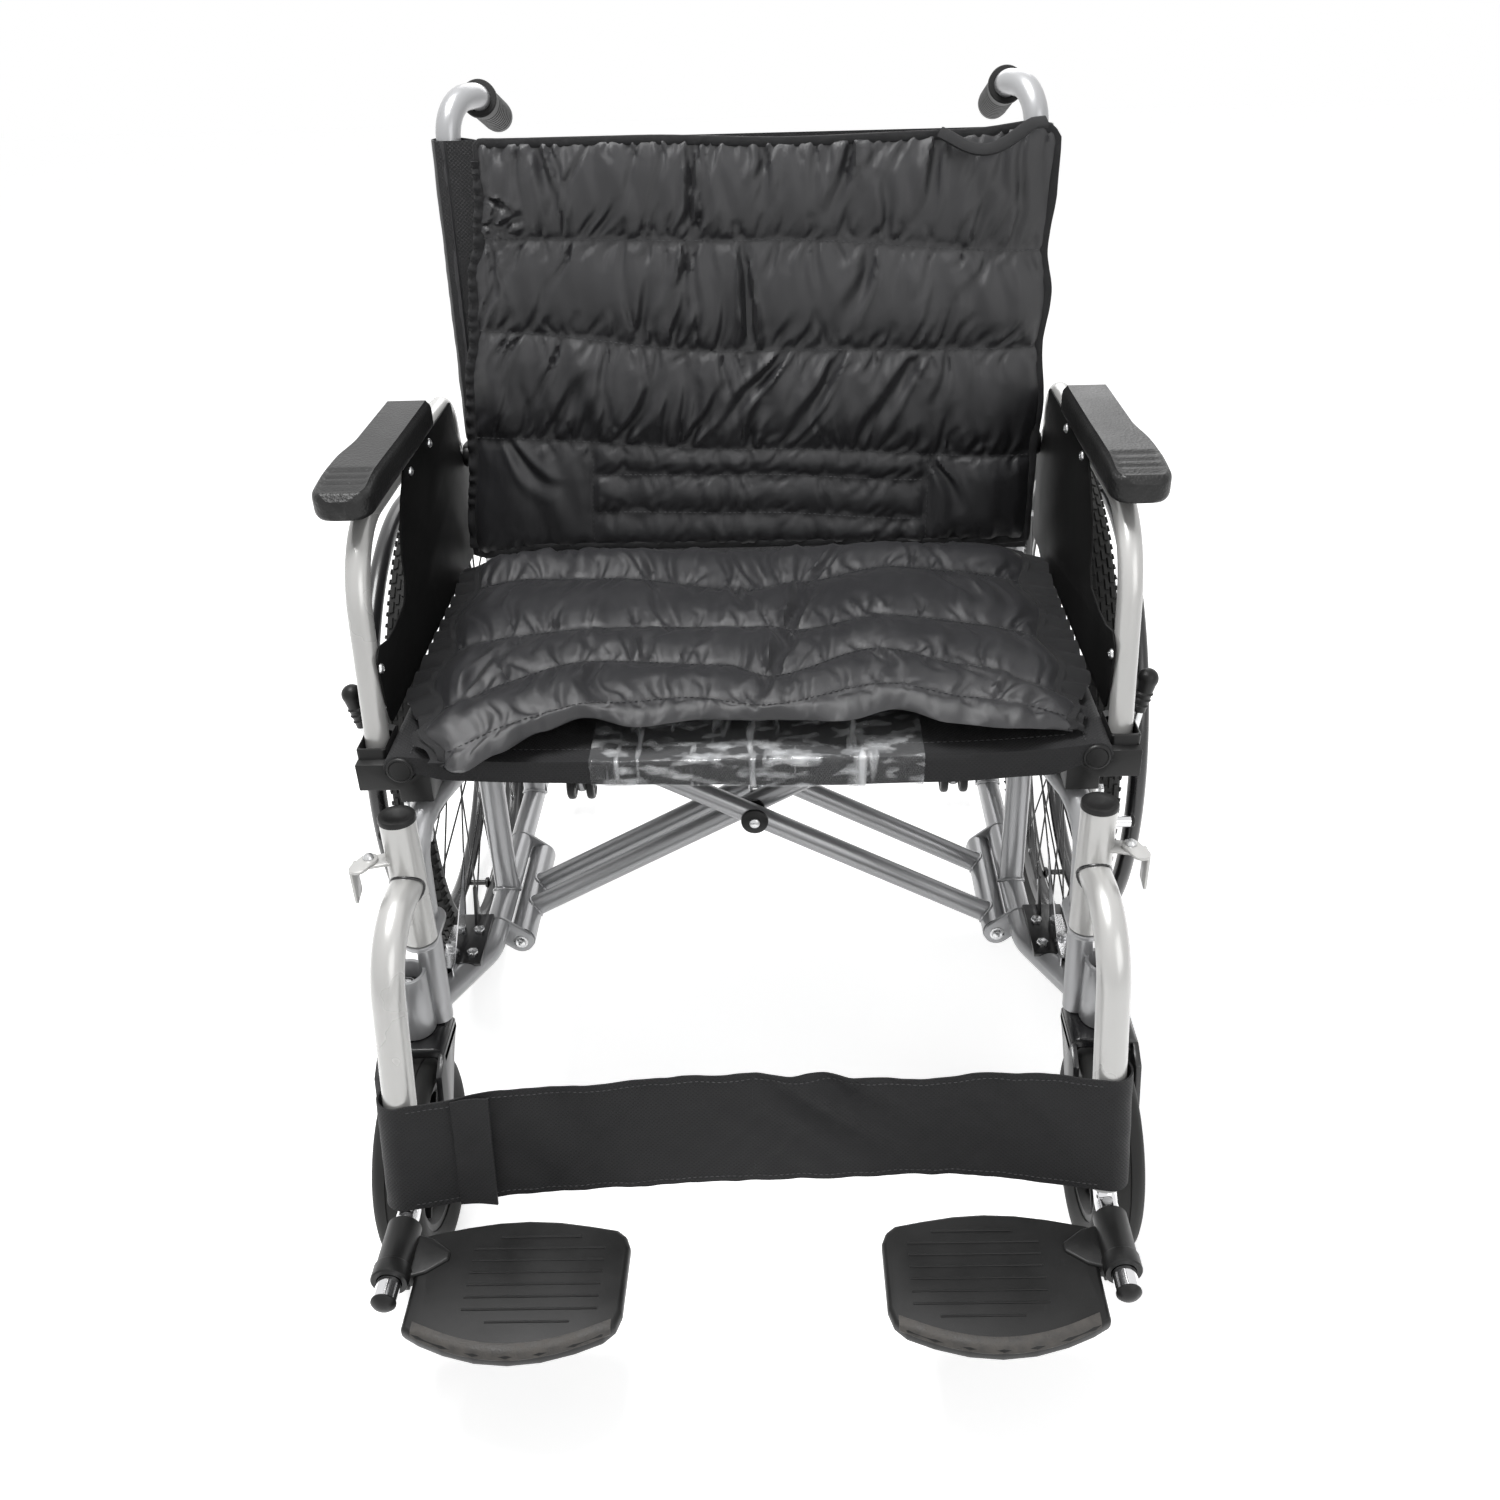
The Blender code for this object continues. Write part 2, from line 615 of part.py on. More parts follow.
def seat_guide(name):
    """Return the moulded cradle for the seat rail's front end, with the arm's socket."""
    rail_low = RAIL_Z - TUBE_D / 2 - GAP
    floor = rail_low - GUIDE_FLOOR
    inner = RAIL_X - TUBE_D / 2 - 0.012
    outer = ARM_X + ARM_D / 2 + SOCKET_WALL
    rail_out = RAIL_X + TUBE_D / 2 + PLAY
    socket_top = ARM_FOOT_Z + SOCKET_DEPTH
    socket_front = ARM_FOOT_Y - ARM_D / 2 - SOCKET_SWEEP - SOCKET_WALL
    pieces = [
        box(name, (inner, GUIDE_FRONT, floor), (outer, GUIDE_REAR, rail_low)),
        box("wall", (rail_out, GUIDE_FRONT, floor), (outer, GUIDE_REAR, RAIL_Z + 0.004)),
        box("socket", (rail_out, socket_front, floor), (outer, GUIDE_REAR, socket_top)),
        box("leg", (inner, GUIDE_FRONT, TOP_Z + TUBE_D / 2 + GAP),
            (inner + 0.030, GUIDE_REAR, floor + 0.002)),
    ]
    reach = ARM_D / 2 + PLAY
    pocket_low = (ARM_X - reach, ARM_FOOT_Y - ARM_D / 2 - SOCKET_SWEEP, ARM_FOOT_Z - 0.0022)
    pocket_high = (ARM_X + reach, ARM_FOOT_Y + ARM_D / 2 + 0.0030, socket_top + 0.01)
    return weld(pieces, [box("pocket", pocket_low, pocket_high)])


def brace_leg(name, side, bar_rows):
    """Return one leg of the cross brace: sleeve, two bars and the seat rail at the other side.

    The sleeve is on the given side and the seat rail on the opposite one.
    """
    sleeve_x = side * SLEEVE_X
    rail_x = -side * RAIL_X
    pieces = [
        tube(name, [(sleeve_x, SLEEVE_FRONT, SLEEVE_Z), (sleeve_x, SLEEVE_REAR, SLEEVE_Z)],
             SLEEVE_D, resolution=3),
        tube("rail", [(rail_x, RAIL_FRONT, RAIL_Z), (rail_x, RAIL_REAR, RAIL_Z)], TUBE_D, resolution=3),
    ]
    cuts = [bore((sleeve_x, SLEEVE_FRONT - 0.01, SLEEVE_Z), (sleeve_x, SLEEVE_REAR + 0.01, SLEEVE_Z),
                 BRACE_BOLT_D + 2 * RUN, sides=8)]
    knee = (-side * BAR_KNEE_X, BAR_KNEE_Z)
    for row in bar_rows:
        corners = [(sleeve_x, row, SLEEVE_Z), (knee[0], row, knee[1]), (rail_x, row, RAIL_Z)]
        pieces.append(tube("bar", rounded(corners, [BAR_KNEE_BEND], steps=2), BAR_D))
    ends = (min(bar_rows) - BAR_D, max(bar_rows) + BAR_D)
    cuts.append(bore((0, ends[0], PIVOT_Z), (0, ends[1], PIVOT_Z), BRACE_BOLT_D + 2 * RUN, sides=8))
    return weld(pieces, cuts)


def brace_pivot(name, rows):
    """Return the bolt through two crossing bars; its cap is on the first bar, its nut on the other."""
    middle = sum(rows) / 2
    shaft = BRACE_BOLT_D / 2
    cap = PIVOT_CAP_D / 2
    face = abs(rows[0] - rows[1]) / 2 + BAR_D / 2 + GAP
    nut = 0.0065
    profile = [
        (0, face + PIVOT_CAP_LENGTH), (cap, face + PIVOT_CAP_LENGTH), (cap, face), (shaft, face),
        (shaft, -face), (0.006, -face), (0.006, -face - nut), (0, -face - nut),
    ]
    toward = 1 if rows[0] > rows[1] else -1
    return turned(name, profile, (0, middle, PIVOT_Z), (0, toward, 0), 10)


def arm_path():
    """Return the points of the arm tube from its foot over the top to its pivot."""
    x = ARM_X
    corners = [
        (x, ARM_FOOT_Y, ARM_FOOT_Z),
        (x, ARM_FRONT_Y, ARM_TOP_Z),
        (x, ARM_REAR_Y, ARM_TOP_Z),
        (x, ARM_PIVOT_Y, ARM_PIVOT_Z),
    ]
    return rounded(corners, [ARM_FRONT_BEND, ARM_REAR_BEND], steps=5)


def arm_tube(name):
    """Return the arm's bent tube with the eye that turns on the cane's pin."""
    half_eye = ARM_D / 2
    eye_in = (ARM_X - half_eye, ARM_PIVOT_Y, ARM_PIVOT_Z)
    eye_out = (ARM_X + half_eye, ARM_PIVOT_Y, ARM_PIVOT_Z)
    hole_in = (ARM_X - 0.02, ARM_PIVOT_Y, ARM_PIVOT_Z)
    hole_out = (ARM_X + 0.02, ARM_PIVOT_Y, ARM_PIVOT_Z)
    pieces = [tube(name, arm_path(), ARM_D), rod("eye", eye_in, eye_out, ARM_EYE_D)]
    return weld(pieces, [bore(hole_in, hole_out, ARM_PIN_D + 2 * RUN, sides=10)])


def arm_pad(name):
    """Return the moulded arm pad, wider and rounded at its front."""
    inner = CANE_X + TUBE_D / 2 + 0.0018
    outer = inner + PAD_WIDTH
    wide = outer + PAD_FLARE
    middle = (inner + wide) / 2
    half = (wide - inner) / 2
    outline = [(inner, PAD_REAR_Y), (inner, PAD_FRONT_Y + half)]
    for step in range(1, 7):
        angle = math.pi * step / 7
        outline.append((middle - half * math.cos(angle), PAD_FRONT_Y + half - half * math.sin(angle)))
    outline += [(wide, PAD_FRONT_Y + half), (wide, PAD_FLARE_Y - 0.035), (outer, PAD_FLARE_Y + 0.02),
                (outer, PAD_REAR_Y)]
    low = ARM_TOP_Z + ARM_D / 2 + GAP
    pad = solid(slab(name, outline, PAD_THICK, low + PAD_THICK / 2))
    bevel = pad.modifiers.new("soft_edge", "BEVEL")
    bevel.width = PAD_EDGE
    bevel.segments = 2
    bevel.limit_method = "ANGLE"
    bevel.angle_limit = math.radians(50)
    return pad


def side_panel(name):
    """Return the flat skirt guard under the arm."""
    top = ARM_TOP_Z + 0.006
    outline = [
        (PANEL_REAR_Y, PANEL_LOW_Z), (PANEL_REAR_Y, 0.598), (-0.006, 0.631), (-0.021, 0.662), (-0.024, top),
        (-0.240, top), (-0.266, 0.676), (-0.287, 0.650), (-0.295, 0.625), (-0.297, 0.607), (-0.311, 0.589),
        (-0.351, 0.585), (-0.402, 0.580), (-0.412, 0.560), (-0.416, 0.530), (-0.412, PANEL_LOW_Z),
    ]
    middle = ARM_X - ARM_D / 2 - PANEL_THICK / 2 - GAP
    return solid(slab(name, outline, PANEL_THICK, middle, normal="X"))


def tyre(name):
    """Return the rear tyre."""
    crown = WHEEL_RADIUS
    inner = WHEEL_RADIUS - TYRE_HEIGHT
    half = TYRE_WIDTH / 2
    outer_half = [(crown, half * 0.48), (crown - 0.006, half * 0.87), (crown - 0.017, half),
                  (inner, half * 0.66)]
    ring = [(radius, along) for radius, along in reversed(outer_half)]
    ring += [(radius, -along) for radius, along in outer_half]
    profile = [(radius, along + WHEEL_X) for radius, along in ring]
    return turned(name, profile, (0, 0, WHEEL_RADIUS), (1, 0, 0), WHEEL_SIDES, ring=True)


def rim(name):
    """Return the rear wheel's rim."""
    outer = WHEEL_RADIUS - TYRE_HEIGHT - PLAY
    inner = outer - RIM_HEIGHT
    half = RIM_WIDTH / 2
    profile = [(inner, WHEEL_X + half - 0.003), (outer, WHEEL_X + half), (outer, WHEEL_X - half),
               (inner, WHEEL_X - half + 0.003)]
    return turned(name, profile, (0, 0, WHEEL_RADIUS), (1, 0, 0), WHEEL_SIDES, ring=True)


def wheel_hub(name):
    """Return the hub with its crossed wire spokes."""
    hole = AXLE_D / 2 + RUN
    barrel = HUB_D / 2
    flange = HUB_FLANGE_D / 2
    out_face = WHEEL_X + HUB_FLANGE_OUT
    in_face = WHEEL_X - HUB_FLANGE_IN
    profile = [
        (hole, WHEEL_X + HUB_OUT), (barrel - 0.004, WHEEL_X + HUB_OUT), (barrel - 0.004, out_face),
        (flange, out_face), (flange, out_face - HUB_FLANGE_THICK), (barrel, out_face - HUB_FLANGE_THICK),
        (barrel, in_face + HUB_FLANGE_THICK), (flange, in_face + HUB_FLANGE_THICK), (flange, in_face),
        (barrel - 0.004, in_face), (barrel - 0.004, WHEEL_X - HUB_IN), (hole, WHEEL_X - HUB_IN),
    ]
    pieces = [turned(name, profile, (0, 0, WHEEL_RADIUS), (1, 0, 0), 12, ring=True)]
    rim_inner = WHEEL_RADIUS - TYRE_HEIGHT - PLAY - RIM_HEIGHT - PLAY
    root = flange - 0.005
    for index in range(SPOKES):
        angle = 2 * math.pi * index / SPOKES
        lead = math.radians(SPOKE_LEAD) * (1 if index % 4 < 2 else -1)
        outside = index % 2 == 0
        face = out_face - HUB_FLANGE_THICK / 2 if outside else in_face + HUB_FLANGE_THICK / 2
        face += 0.0004 if lead > 0 else -0.0004
        start = (face, root * math.cos(angle), WHEEL_RADIUS + root * math.sin(angle))
        turn = angle + lead
        end_x = WHEEL_X + (0.003 if outside else -0.003) + (0.002 if lead > 0 else -0.002)
        end = (end_x, rim_inner * math.cos(turn), WHEEL_RADIUS + rim_inner * math.sin(turn))
        pieces.append(rod("spoke", start, end, SPOKE_D, sides=4))
    return weld(pieces)


def handrim(name):
    """Return the push ring with the tabs that hold it to the rim."""
    tube_r = HANDRIM_D / 2
    profile = []
    for step in range(6):
        angle = math.pi / 2 - 2 * math.pi * step / 6
        profile.append((HANDRIM_RADIUS + tube_r * math.cos(angle), HANDRIM_X + tube_r * math.sin(angle)))
    pieces = [turned(name, profile, (0, 0, WHEEL_RADIUS), (1, 0, 0), WHEEL_SIDES, ring=True)]
    rim_face = WHEEL_X + RIM_WIDTH / 2 + GAP
    radius = WHEEL_RADIUS - TYRE_HEIGHT - PLAY - RIM_HEIGHT / 2
    for index in range(HANDRIM_TABS):
        angle = 2 * math.pi * (index + 0.5) / HANDRIM_TABS
        y = radius * math.cos(angle)
        z = WHEEL_RADIUS + radius * math.sin(angle)
        pieces.append(rod("tab", (rim_face, y, z), (HANDRIM_X, y, z), 0.006, sides=6))
    return weld(pieces)


def rear_axle(name):
    """Return the axle bolt with its inner nut and outer head."""
    shaft = AXLE_D / 2
    inner_face = CANE_X - TUBE_D / 2 - PLAY
    outer_face = WHEEL_X + HUB_OUT + PLAY
    profile = [
        (0, outer_face + 0.006), (0.010, outer_face + 0.006), (0.010, outer_face),
        (shaft, outer_face), (shaft, inner_face), (0.010, inner_face),
        (0.010, inner_face - 0.008), (0, inner_face - 0.008),
    ]
    return turned(name, profile, (0, 0, WHEEL_RADIUS), (1, 0, 0), 12)


def caster_fork(name):
    """Return the caster fork: stem, crown and two arms."""
    stem_x = CASTER_X
    inside = CASTER_WIDTH / 2 + FORK_PLAY
    outside = inside + FORK_ARM_THICK
    crown_low = CROWN_TOP - CROWN_THICK
    eye = 0.013
    arm = [
        (STEM_Y + 0.024, CROWN_TOP), (STEM_Y - 0.030, CROWN_TOP), (STEM_Y - 0.052, crown_low - 0.004),
        (CASTER_Y - eye, CASTER_RADIUS + 0.030), (CASTER_Y - eye, CASTER_RADIUS),
        (CASTER_Y - eye * 0.7, CASTER_RADIUS - eye * 0.7), (CASTER_Y, CASTER_RADIUS - eye),
        (CASTER_Y + eye * 0.7, CASTER_RADIUS - eye * 0.7), (CASTER_Y + eye, CASTER_RADIUS),
        (CASTER_Y + eye + 0.010, CASTER_RADIUS + 0.045), (STEM_Y + 0.004, crown_low - 0.016),
        (STEM_Y + 0.024, crown_low),
    ]
    crown = box(name, (stem_x - outside + 0.002, STEM_Y - 0.028, crown_low),
                (stem_x + outside - 0.002, STEM_Y + 0.022, CROWN_TOP - 0.0004))
    pieces = [crown]
    for offset in (-1, 1):
        middle = stem_x + offset * (inside + outside) / 2
        pieces.append(slab("arm", arm, FORK_ARM_THICK, middle, normal="X"))
    stem_top = HOUSING_LOW + HOUSING_HEIGHT - HOUSING_CUP_DEPTH + 0.010
    pieces.append(rod("stem", (stem_x, STEM_Y, crown_low + 0.004), (stem_x, STEM_Y, stem_top), STEM_D))
    hole = bore((stem_x - 0.05, CASTER_Y, CASTER_RADIUS), (stem_x + 0.05, CASTER_Y, CASTER_RADIUS),
                CASTER_AXLE_D + 2 * RUN, sides=10)
    return weld(pieces, [hole])


def caster_tyre(name):
    """Return the solid caster tyre."""
    half = CASTER_WIDTH / 2
    inner = CASTER_RIM_R + GAP
    profile = [
        (inner, half - 0.006), (CASTER_RADIUS - 0.012, half), (CASTER_RADIUS - 0.003, half - 0.006),
        (CASTER_RADIUS, half - 0.012), (CASTER_RADIUS, 0.012 - half), (CASTER_RADIUS - 0.003, 0.006 - half),
        (CASTER_RADIUS - 0.012, -half), (inner, 0.006 - half),
    ]
    centre = (CASTER_X, CASTER_Y, CASTER_RADIUS)
    return turned(name, profile, centre, (1, 0, 0), CASTER_SIDES, ring=True)


def caster_hub(name):
    """Return the caster's moulded wheel core."""
    hole = CASTER_AXLE_D / 2 + RUN
    boss = CASTER_BOSS_D / 2
    half = CASTER_WIDTH / 2 - 0.001
    rim_half = CASTER_WIDTH / 2 - 0.008
    profile = [
        (hole, half), (boss, half), (boss, 0.006), (CASTER_RIM_R - 0.010, 0.005),
        (CASTER_RIM_R - 0.006, rim_half), (CASTER_RIM_R, rim_half), (CASTER_RIM_R, -rim_half),
        (CASTER_RIM_R - 0.006, -rim_half), (CASTER_RIM_R - 0.010, -0.005), (boss, -0.006),
        (boss, -half), (hole, -half),
    ]
    centre = (CASTER_X, CASTER_Y, CASTER_RADIUS)
    return turned(name, profile, centre, (1, 0, 0), CASTER_SIDES, ring=True)


def caster_axle(name):
    """Return the caster's axle bolt with its two heads."""
    shaft = CASTER_AXLE_D / 2
    face = CASTER_WIDTH / 2 + FORK_PLAY + FORK_ARM_THICK + GAP
    profile = [
        (0, face + 0.005), (0.008, face + 0.005), (0.008, face), (shaft, face),
        (shaft, -face), (0.008, -face), (0.008, -face - 0.005), (0, -face - 0.005),
    ]
    centre = (CASTER_X, CASTER_Y, CASTER_RADIUS)
    return turned(name, profile, centre, (1, 0, 0), 10)


def hanger_axis():
    """Return the hanger's lower end and the unit direction down its straight tube."""
    low = Vector(HANGER_LOW)
    corner = Vector((HANGER_X + 0.003, HANGER_CORNER_Y, HANGER_START_Z))
    return low, (low - corner).normalized(), corner


def hanger(name):
    """Return the hanger: pivot post, curved tube and the ear for the release lever."""
    post_x = HANGER_X
    low, down, corner = hanger_axis()
    path = rounded([(post_x, HANGER_Y, HANGER_START_Z), corner, low], [HANGER_BEND], steps=6)
    pieces = [
        rod(name, (post_x, HANGER_Y, HANGER_POST_LOW), (post_x, HANGER_Y, HANGER_POST_TOP),
            HANGER_POST_D, sides=14),
        tube("curve", path, HANGER_D, resolution=3),
    ]
    ear_x = post_x + RELEASE_OUT
    ear = capsule((post_x, HANGER_Y), (ear_x, HANGER_Y - 0.008), 0.009, steps=4)
    pieces.append(slab("ear", ear, RELEASE_THICK, RELEASE_Z - RELEASE_THICK / 2 - GAP))
    pin_top = RELEASE_Z + RELEASE_THICK + 0.003
    pieces.append(rod("ear_pin", (ear_x, HANGER_Y - 0.008, RELEASE_Z - RELEASE_THICK),
                      (ear_x, HANGER_Y - 0.008, pin_top), RELEASE_PIN_D, sides=8))
    bore_top = low - down * (LEG_INSERT + 0.012)
    cuts = [
        bore(low + down * 0.01, bore_top, HANGER_BORE_D, sides=10),
        bore((post_x, HANGER_Y, HANGER_POST_LOW - 0.01),
             (post_x, HANGER_Y, HANGER_POST_LOW + HANGER_PIN_HEIGHT + 0.004),
             HANGER_PIN_D + 2 * RUN, sides=8),
    ]
    return weld(pieces, cuts)


def release_lever(name):
    """Return the flat lever that frees the hanger, with its turned-down tab."""
    bolt_x = HANGER_X + RELEASE_OUT
    bolt_y = HANGER_Y - 0.008
    tip = (bolt_x + 0.006, bolt_y - 0.014)
    plate = slab(name, capsule((bolt_x, bolt_y), tip, 0.008, steps=4), RELEASE_THICK,
                 RELEASE_Z + RELEASE_THICK / 2)
    tab = box("tab", (tip[0] + 0.0045, tip[1] - 0.005, RELEASE_Z - 0.034),
              (tip[0] + 0.0070, tip[1] + 0.013, RELEASE_Z + RELEASE_THICK - 0.0005))
    hole = bore((bolt_x, bolt_y, RELEASE_Z - 0.01), (bolt_x, bolt_y, RELEASE_Z + 0.02),
                RELEASE_PIN_D + 2 * RUN, sides=8)
    return weld([plate, tab], [hole])


def leg_extension(name):
    """Return the chrome leg tube, which turns forward to carry the footplate."""
    low, down, _ = hanger_axis()
    top = low - down * LEG_INSERT
    corner = low + down * ((low.z - LEG_CORNER_Z) / -down.z)
    front = (corner.x, LEG_PIN_FRONT, corner.z)
    return tube(name, rounded([top, corner, front], [LEG_BEND], steps=4), LEG_D)


def leg_pin():
    """Return the X and Z of the footplate's hinge axis."""
    low, down, _ = hanger_axis()
    corner = low + down * ((low.z - LEG_CORNER_Z) / -down.z)
    return corner.x, corner.z


def footplate(name):
    """Return the footplate with its hinge barrel, rim and ridges."""
    pin_x, pin_z = leg_pin()
    corner = PLATE_CORNER
    outline = [(PLATE_OUTER_X, PLATE_REAR_Y)]
    width = PLATE_OUTER_X - PLATE_INNER_X
    for share in (0.25, 0.5, 0.75):
        bulge = PLATE_REAR_BULGE * math.sin(math.pi * share)
        outline.append((PLATE_OUTER_X - width * share, PLATE_REAR_Y + bulge))
    outline.append((PLATE_INNER_X + corner, PLATE_REAR_Y + 0.004))
    outline += [(PLATE_INNER_X + corner * 0.3, PLATE_REAR_Y - corner * 0.3)]
    outline += [(PLATE_INNER_X, PLATE_REAR_Y - corner)]
    outline += [(PLATE_INNER_X + 0.002, PLATE_FRONT_Y + corner)]
    outline += [(PLATE_INNER_X + corner * 0.3, PLATE_FRONT_Y + 0.003)]
    for share in (0.15, 0.32, 0.5, 0.68, 0.85):
        bulge = PLATE_FRONT_BULGE * math.sin(math.pi * share)
        outline.append((PLATE_INNER_X + width * share, PLATE_FRONT_Y - bulge))
    outline.append((PLATE_OUTER_X, PLATE_FRONT_Y - 0.004))
    plate = slab(name, outline, PLATE_THICK, PLATE_TOP_Z - PLATE_THICK / 2)

    barrel = rod("barrel", (pin_x, PLATE_BARREL_REAR, pin_z), (pin_x, PLATE_BARREL_FRONT, pin_z),
                 PLATE_BARREL_D, sides=12)
    neck = box("neck", (pin_x - 0.030, PLATE_BARREL_REAR - 0.004, PLATE_TOP_Z - PLATE_THICK + 0.003),
               (pin_x, PLATE_BARREL_FRONT + 0.004, PLATE_TOP_Z + 0.003))
    pieces = [plate, barrel, neck]
    first = PLATE_REAR_Y - 0.004
    pitch = (first - PLATE_FRONT_Y - 0.004) / (PLATE_RIDGES - 1)
    for index in range(PLATE_RIDGES):
        row = first - pitch * index
        short = 0.022 if index in (0, PLATE_RIDGES - 1) else 0.0
        low = (PLATE_INNER_X + 0.022 + short, row - 0.0008, PLATE_TOP_Z - 0.001)
        high = (PLATE_OUTER_X - 0.048 - short, row + 0.0008, PLATE_TOP_Z + PLATE_RIDGE_HEIGHT)
        pieces.append(box("ridge", low, high))
    hole = bore((pin_x, PLATE_BARREL_REAR + 0.02, pin_z), (pin_x, PLATE_BARREL_FRONT - 0.02, pin_z),
                LEG_D + 2 * PLAY, sides=12)
    return weld(pieces, [hole])


def calf_strap(name):
    """Return one half of the calf strap, across the front of its hanger and bowed back inside."""
    low, down, _ = hanger_axis()
    clear = HANGER_D / 2 + GAP + STRAP_THICK / 2 + 0.001
    outer_x = low.x + HANGER_D / 2
    rows = []
    for height in (STRAP_LOW_Z, STRAP_TOP_Z):
        at = low + down * ((low.z - height) / -down.z)
        row = []
        for x in (STRAP_SPLIT / 2, 0.16, 0.265, outer_x):
            bow = max(0.0, 1 - x / 0.265)
            row.append((x, at.y - clear + STRAP_BOW * bow, height + STRAP_LIFT * bow))
        rows.append(row)
    return sheet(name, rows, STRAP_THICK)


def brake_bracket(name):
    """Return the bracket that carries the lock's lever and shoe, clamped to the top tube."""
    tube_face = FRAME_X + TUBE_D / 2 + GAP
    far = BRAKE_PLATE_X + BRAKE_PLATE_THICK
    clamp = box(name, (tube_face, BRAKE_CLAMP_Y - 0.012, TOP_Z - 0.010),
                (far - 0.001, BRAKE_CLAMP_Y + 0.012, TOP_Z + 0.010))
    outline = [
        (BRAKE_CLAMP_Y + 0.012, TOP_Z - 0.012), (BRAKE_CLAMP_Y + 0.012, TOP_Z + 0.012),
        (BRAKE_Y + 0.008, BRAKE_Z + 0.014), (BRAKE_Y - 0.012, BRAKE_Z + 0.006),
        (BRAKE_Y - 0.010, BRAKE_Z - 0.010), (SHOE_PIVOT_Y - 0.012, SHOE_PIVOT_Z - 0.006),
        (SHOE_PIVOT_Y, SHOE_PIVOT_Z - 0.012), (SHOE_PIVOT_Y + 0.011, SHOE_PIVOT_Z),
    ]
    plate = slab("plate", outline, BRAKE_PLATE_THICK, BRAKE_PLATE_X + BRAKE_PLATE_THICK / 2, normal="X")
    lever_pin = rod("lever_pin", (far - 0.003, BRAKE_Y, BRAKE_Z), (BRAKE_X + 0.008, BRAKE_Y, BRAKE_Z),
                    BRAKE_PIN_D)
    shoe_pin = rod("shoe_pin", (far - 0.003, SHOE_PIVOT_Y, SHOE_PIVOT_Z),
                   (far + 0.009, SHOE_PIVOT_Y, SHOE_PIVOT_Z), BRAKE_PIN_D)
    return weld([clamp, plate, lever_pin, shoe_pin])


def brake_lever(name):
    """Return the lock's hand lever with its ball grip."""
    top = Vector(BRAKE_LEVER_TOP)
    foot = Vector((BRAKE_X, BRAKE_Y, BRAKE_Z))
    eye = rod(name, foot - Vector((0.006, 0, 0)), foot + Vector((0.006, 0, 0)), 0.020)
    corners = [foot, foot + Vector((0.001, 0.001, 0.030)), top]
    stem = tube("stem", corners, BRAKE_LEVER_D, resolution=1)
    up = (top - corners[1]).normalized()
    ball_r = BRAKE_BALL_D / 2
    ball = [(0, ball_r), (ball_r * 0.7, ball_r * 0.7), (ball_r, 0), (ball_r * 0.85, -0.012),
            (BRAKE_LEVER_D / 2 + 0.0008, -0.034), (0, -0.034)]
    grip = turned("grip", ball, top, up, 10)
    hole = bore(foot - Vector((0.02, 0, 0)), foot + Vector((0.02, 0, 0)), BRAKE_PIN_D + 2 * RUN, sides=8)
    return weld([eye, stem, grip], [hole])


def brake_shoe(name):
    """Return the lock's shoe: a bar across the tyre on a short arm."""
    face = BRAKE_PLATE_X + BRAKE_PLATE_THICK + RUN
    thick = 0.004
    arm = capsule((SHOE_PIVOT_Y, SHOE_PIVOT_Z), SHOE_AT, 0.008, steps=4)
    plate = slab(name, arm, thick, face + thick / 2, normal="X")
    bar = rod("bar", (face + 0.0005, *SHOE_AT), (SHOE_END_X, *SHOE_AT), SHOE_D)
    hole = bore((face - 0.01, SHOE_PIVOT_Y, SHOE_PIVOT_Z), (face + 0.02, SHOE_PIVOT_Y, SHOE_PIVOT_Z),
                BRAKE_PIN_D + 2 * RUN, sides=8)
    return weld([plate, bar], [hole])


def anti_tip_bar(name):
    """Return the anti-tip tube that slides into the low rail, with its wheels' axle."""
    x = FRAME_X
    corners = [(x, LOW_REAR - TIP_INSERT, LOW_Z), (x, TIP_CORNER_Y, LOW_Z),
               (x, TIP_WHEEL_Y, TIP_WHEEL_Z - TIP_D / 2)]
    pipe = tube(name, rounded(corners, [TIP_BEND], steps=4), TIP_D)
    half = TIP_WHEEL_SPREAD / 2 + TIP_WHEEL_THICK / 2 + 0.003
    axle = rod("axle", (x - half, TIP_WHEEL_Y, TIP_WHEEL_Z), (x + half, TIP_WHEEL_Y, TIP_WHEEL_Z),
               TIP_AXLE_D, sides=10)
    return weld([pipe, axle])


def anti_tip_wheel(name):
    """Return the outer one of the twin anti-tip wheels."""
    hole = TIP_AXLE_D / 2 + RUN
    radius = TIP_WHEEL_D / 2
    half = TIP_WHEEL_THICK / 2
    profile = [(hole, half), (radius - 0.004, half), (radius, half - 0.003), (radius, 0.003 - half),
               (radius - 0.004, -half), (hole, -half)]
    centre = (FRAME_X + TIP_WHEEL_SPREAD / 2, TIP_WHEEL_Y, TIP_WHEEL_Z)
    return turned(name, profile, centre, (1, 0, 0), 14, ring=True)


def sheet(name, rows, thickness):
    """Return a cloth sheet through rows of points, thickened to both sides."""
    mesh = bpy.data.meshes.new(name)
    across = len(rows[0])
    points = [point for row in rows for point in row]
    faces = []
    for row in range(len(rows) - 1):
        for column in range(across - 1):
            corner = row * across + column
            faces.append((corner, corner + 1, corner + across + 1, corner + across))
    mesh.from_pydata(points, [], faces)
    cloth = link(bpy.data.objects.new(name, mesh))
    thick = cloth.modifiers.new("cloth", "SOLIDIFY")
    thick.thickness = thickness
    thick.offset = 0
    return solid(cloth)


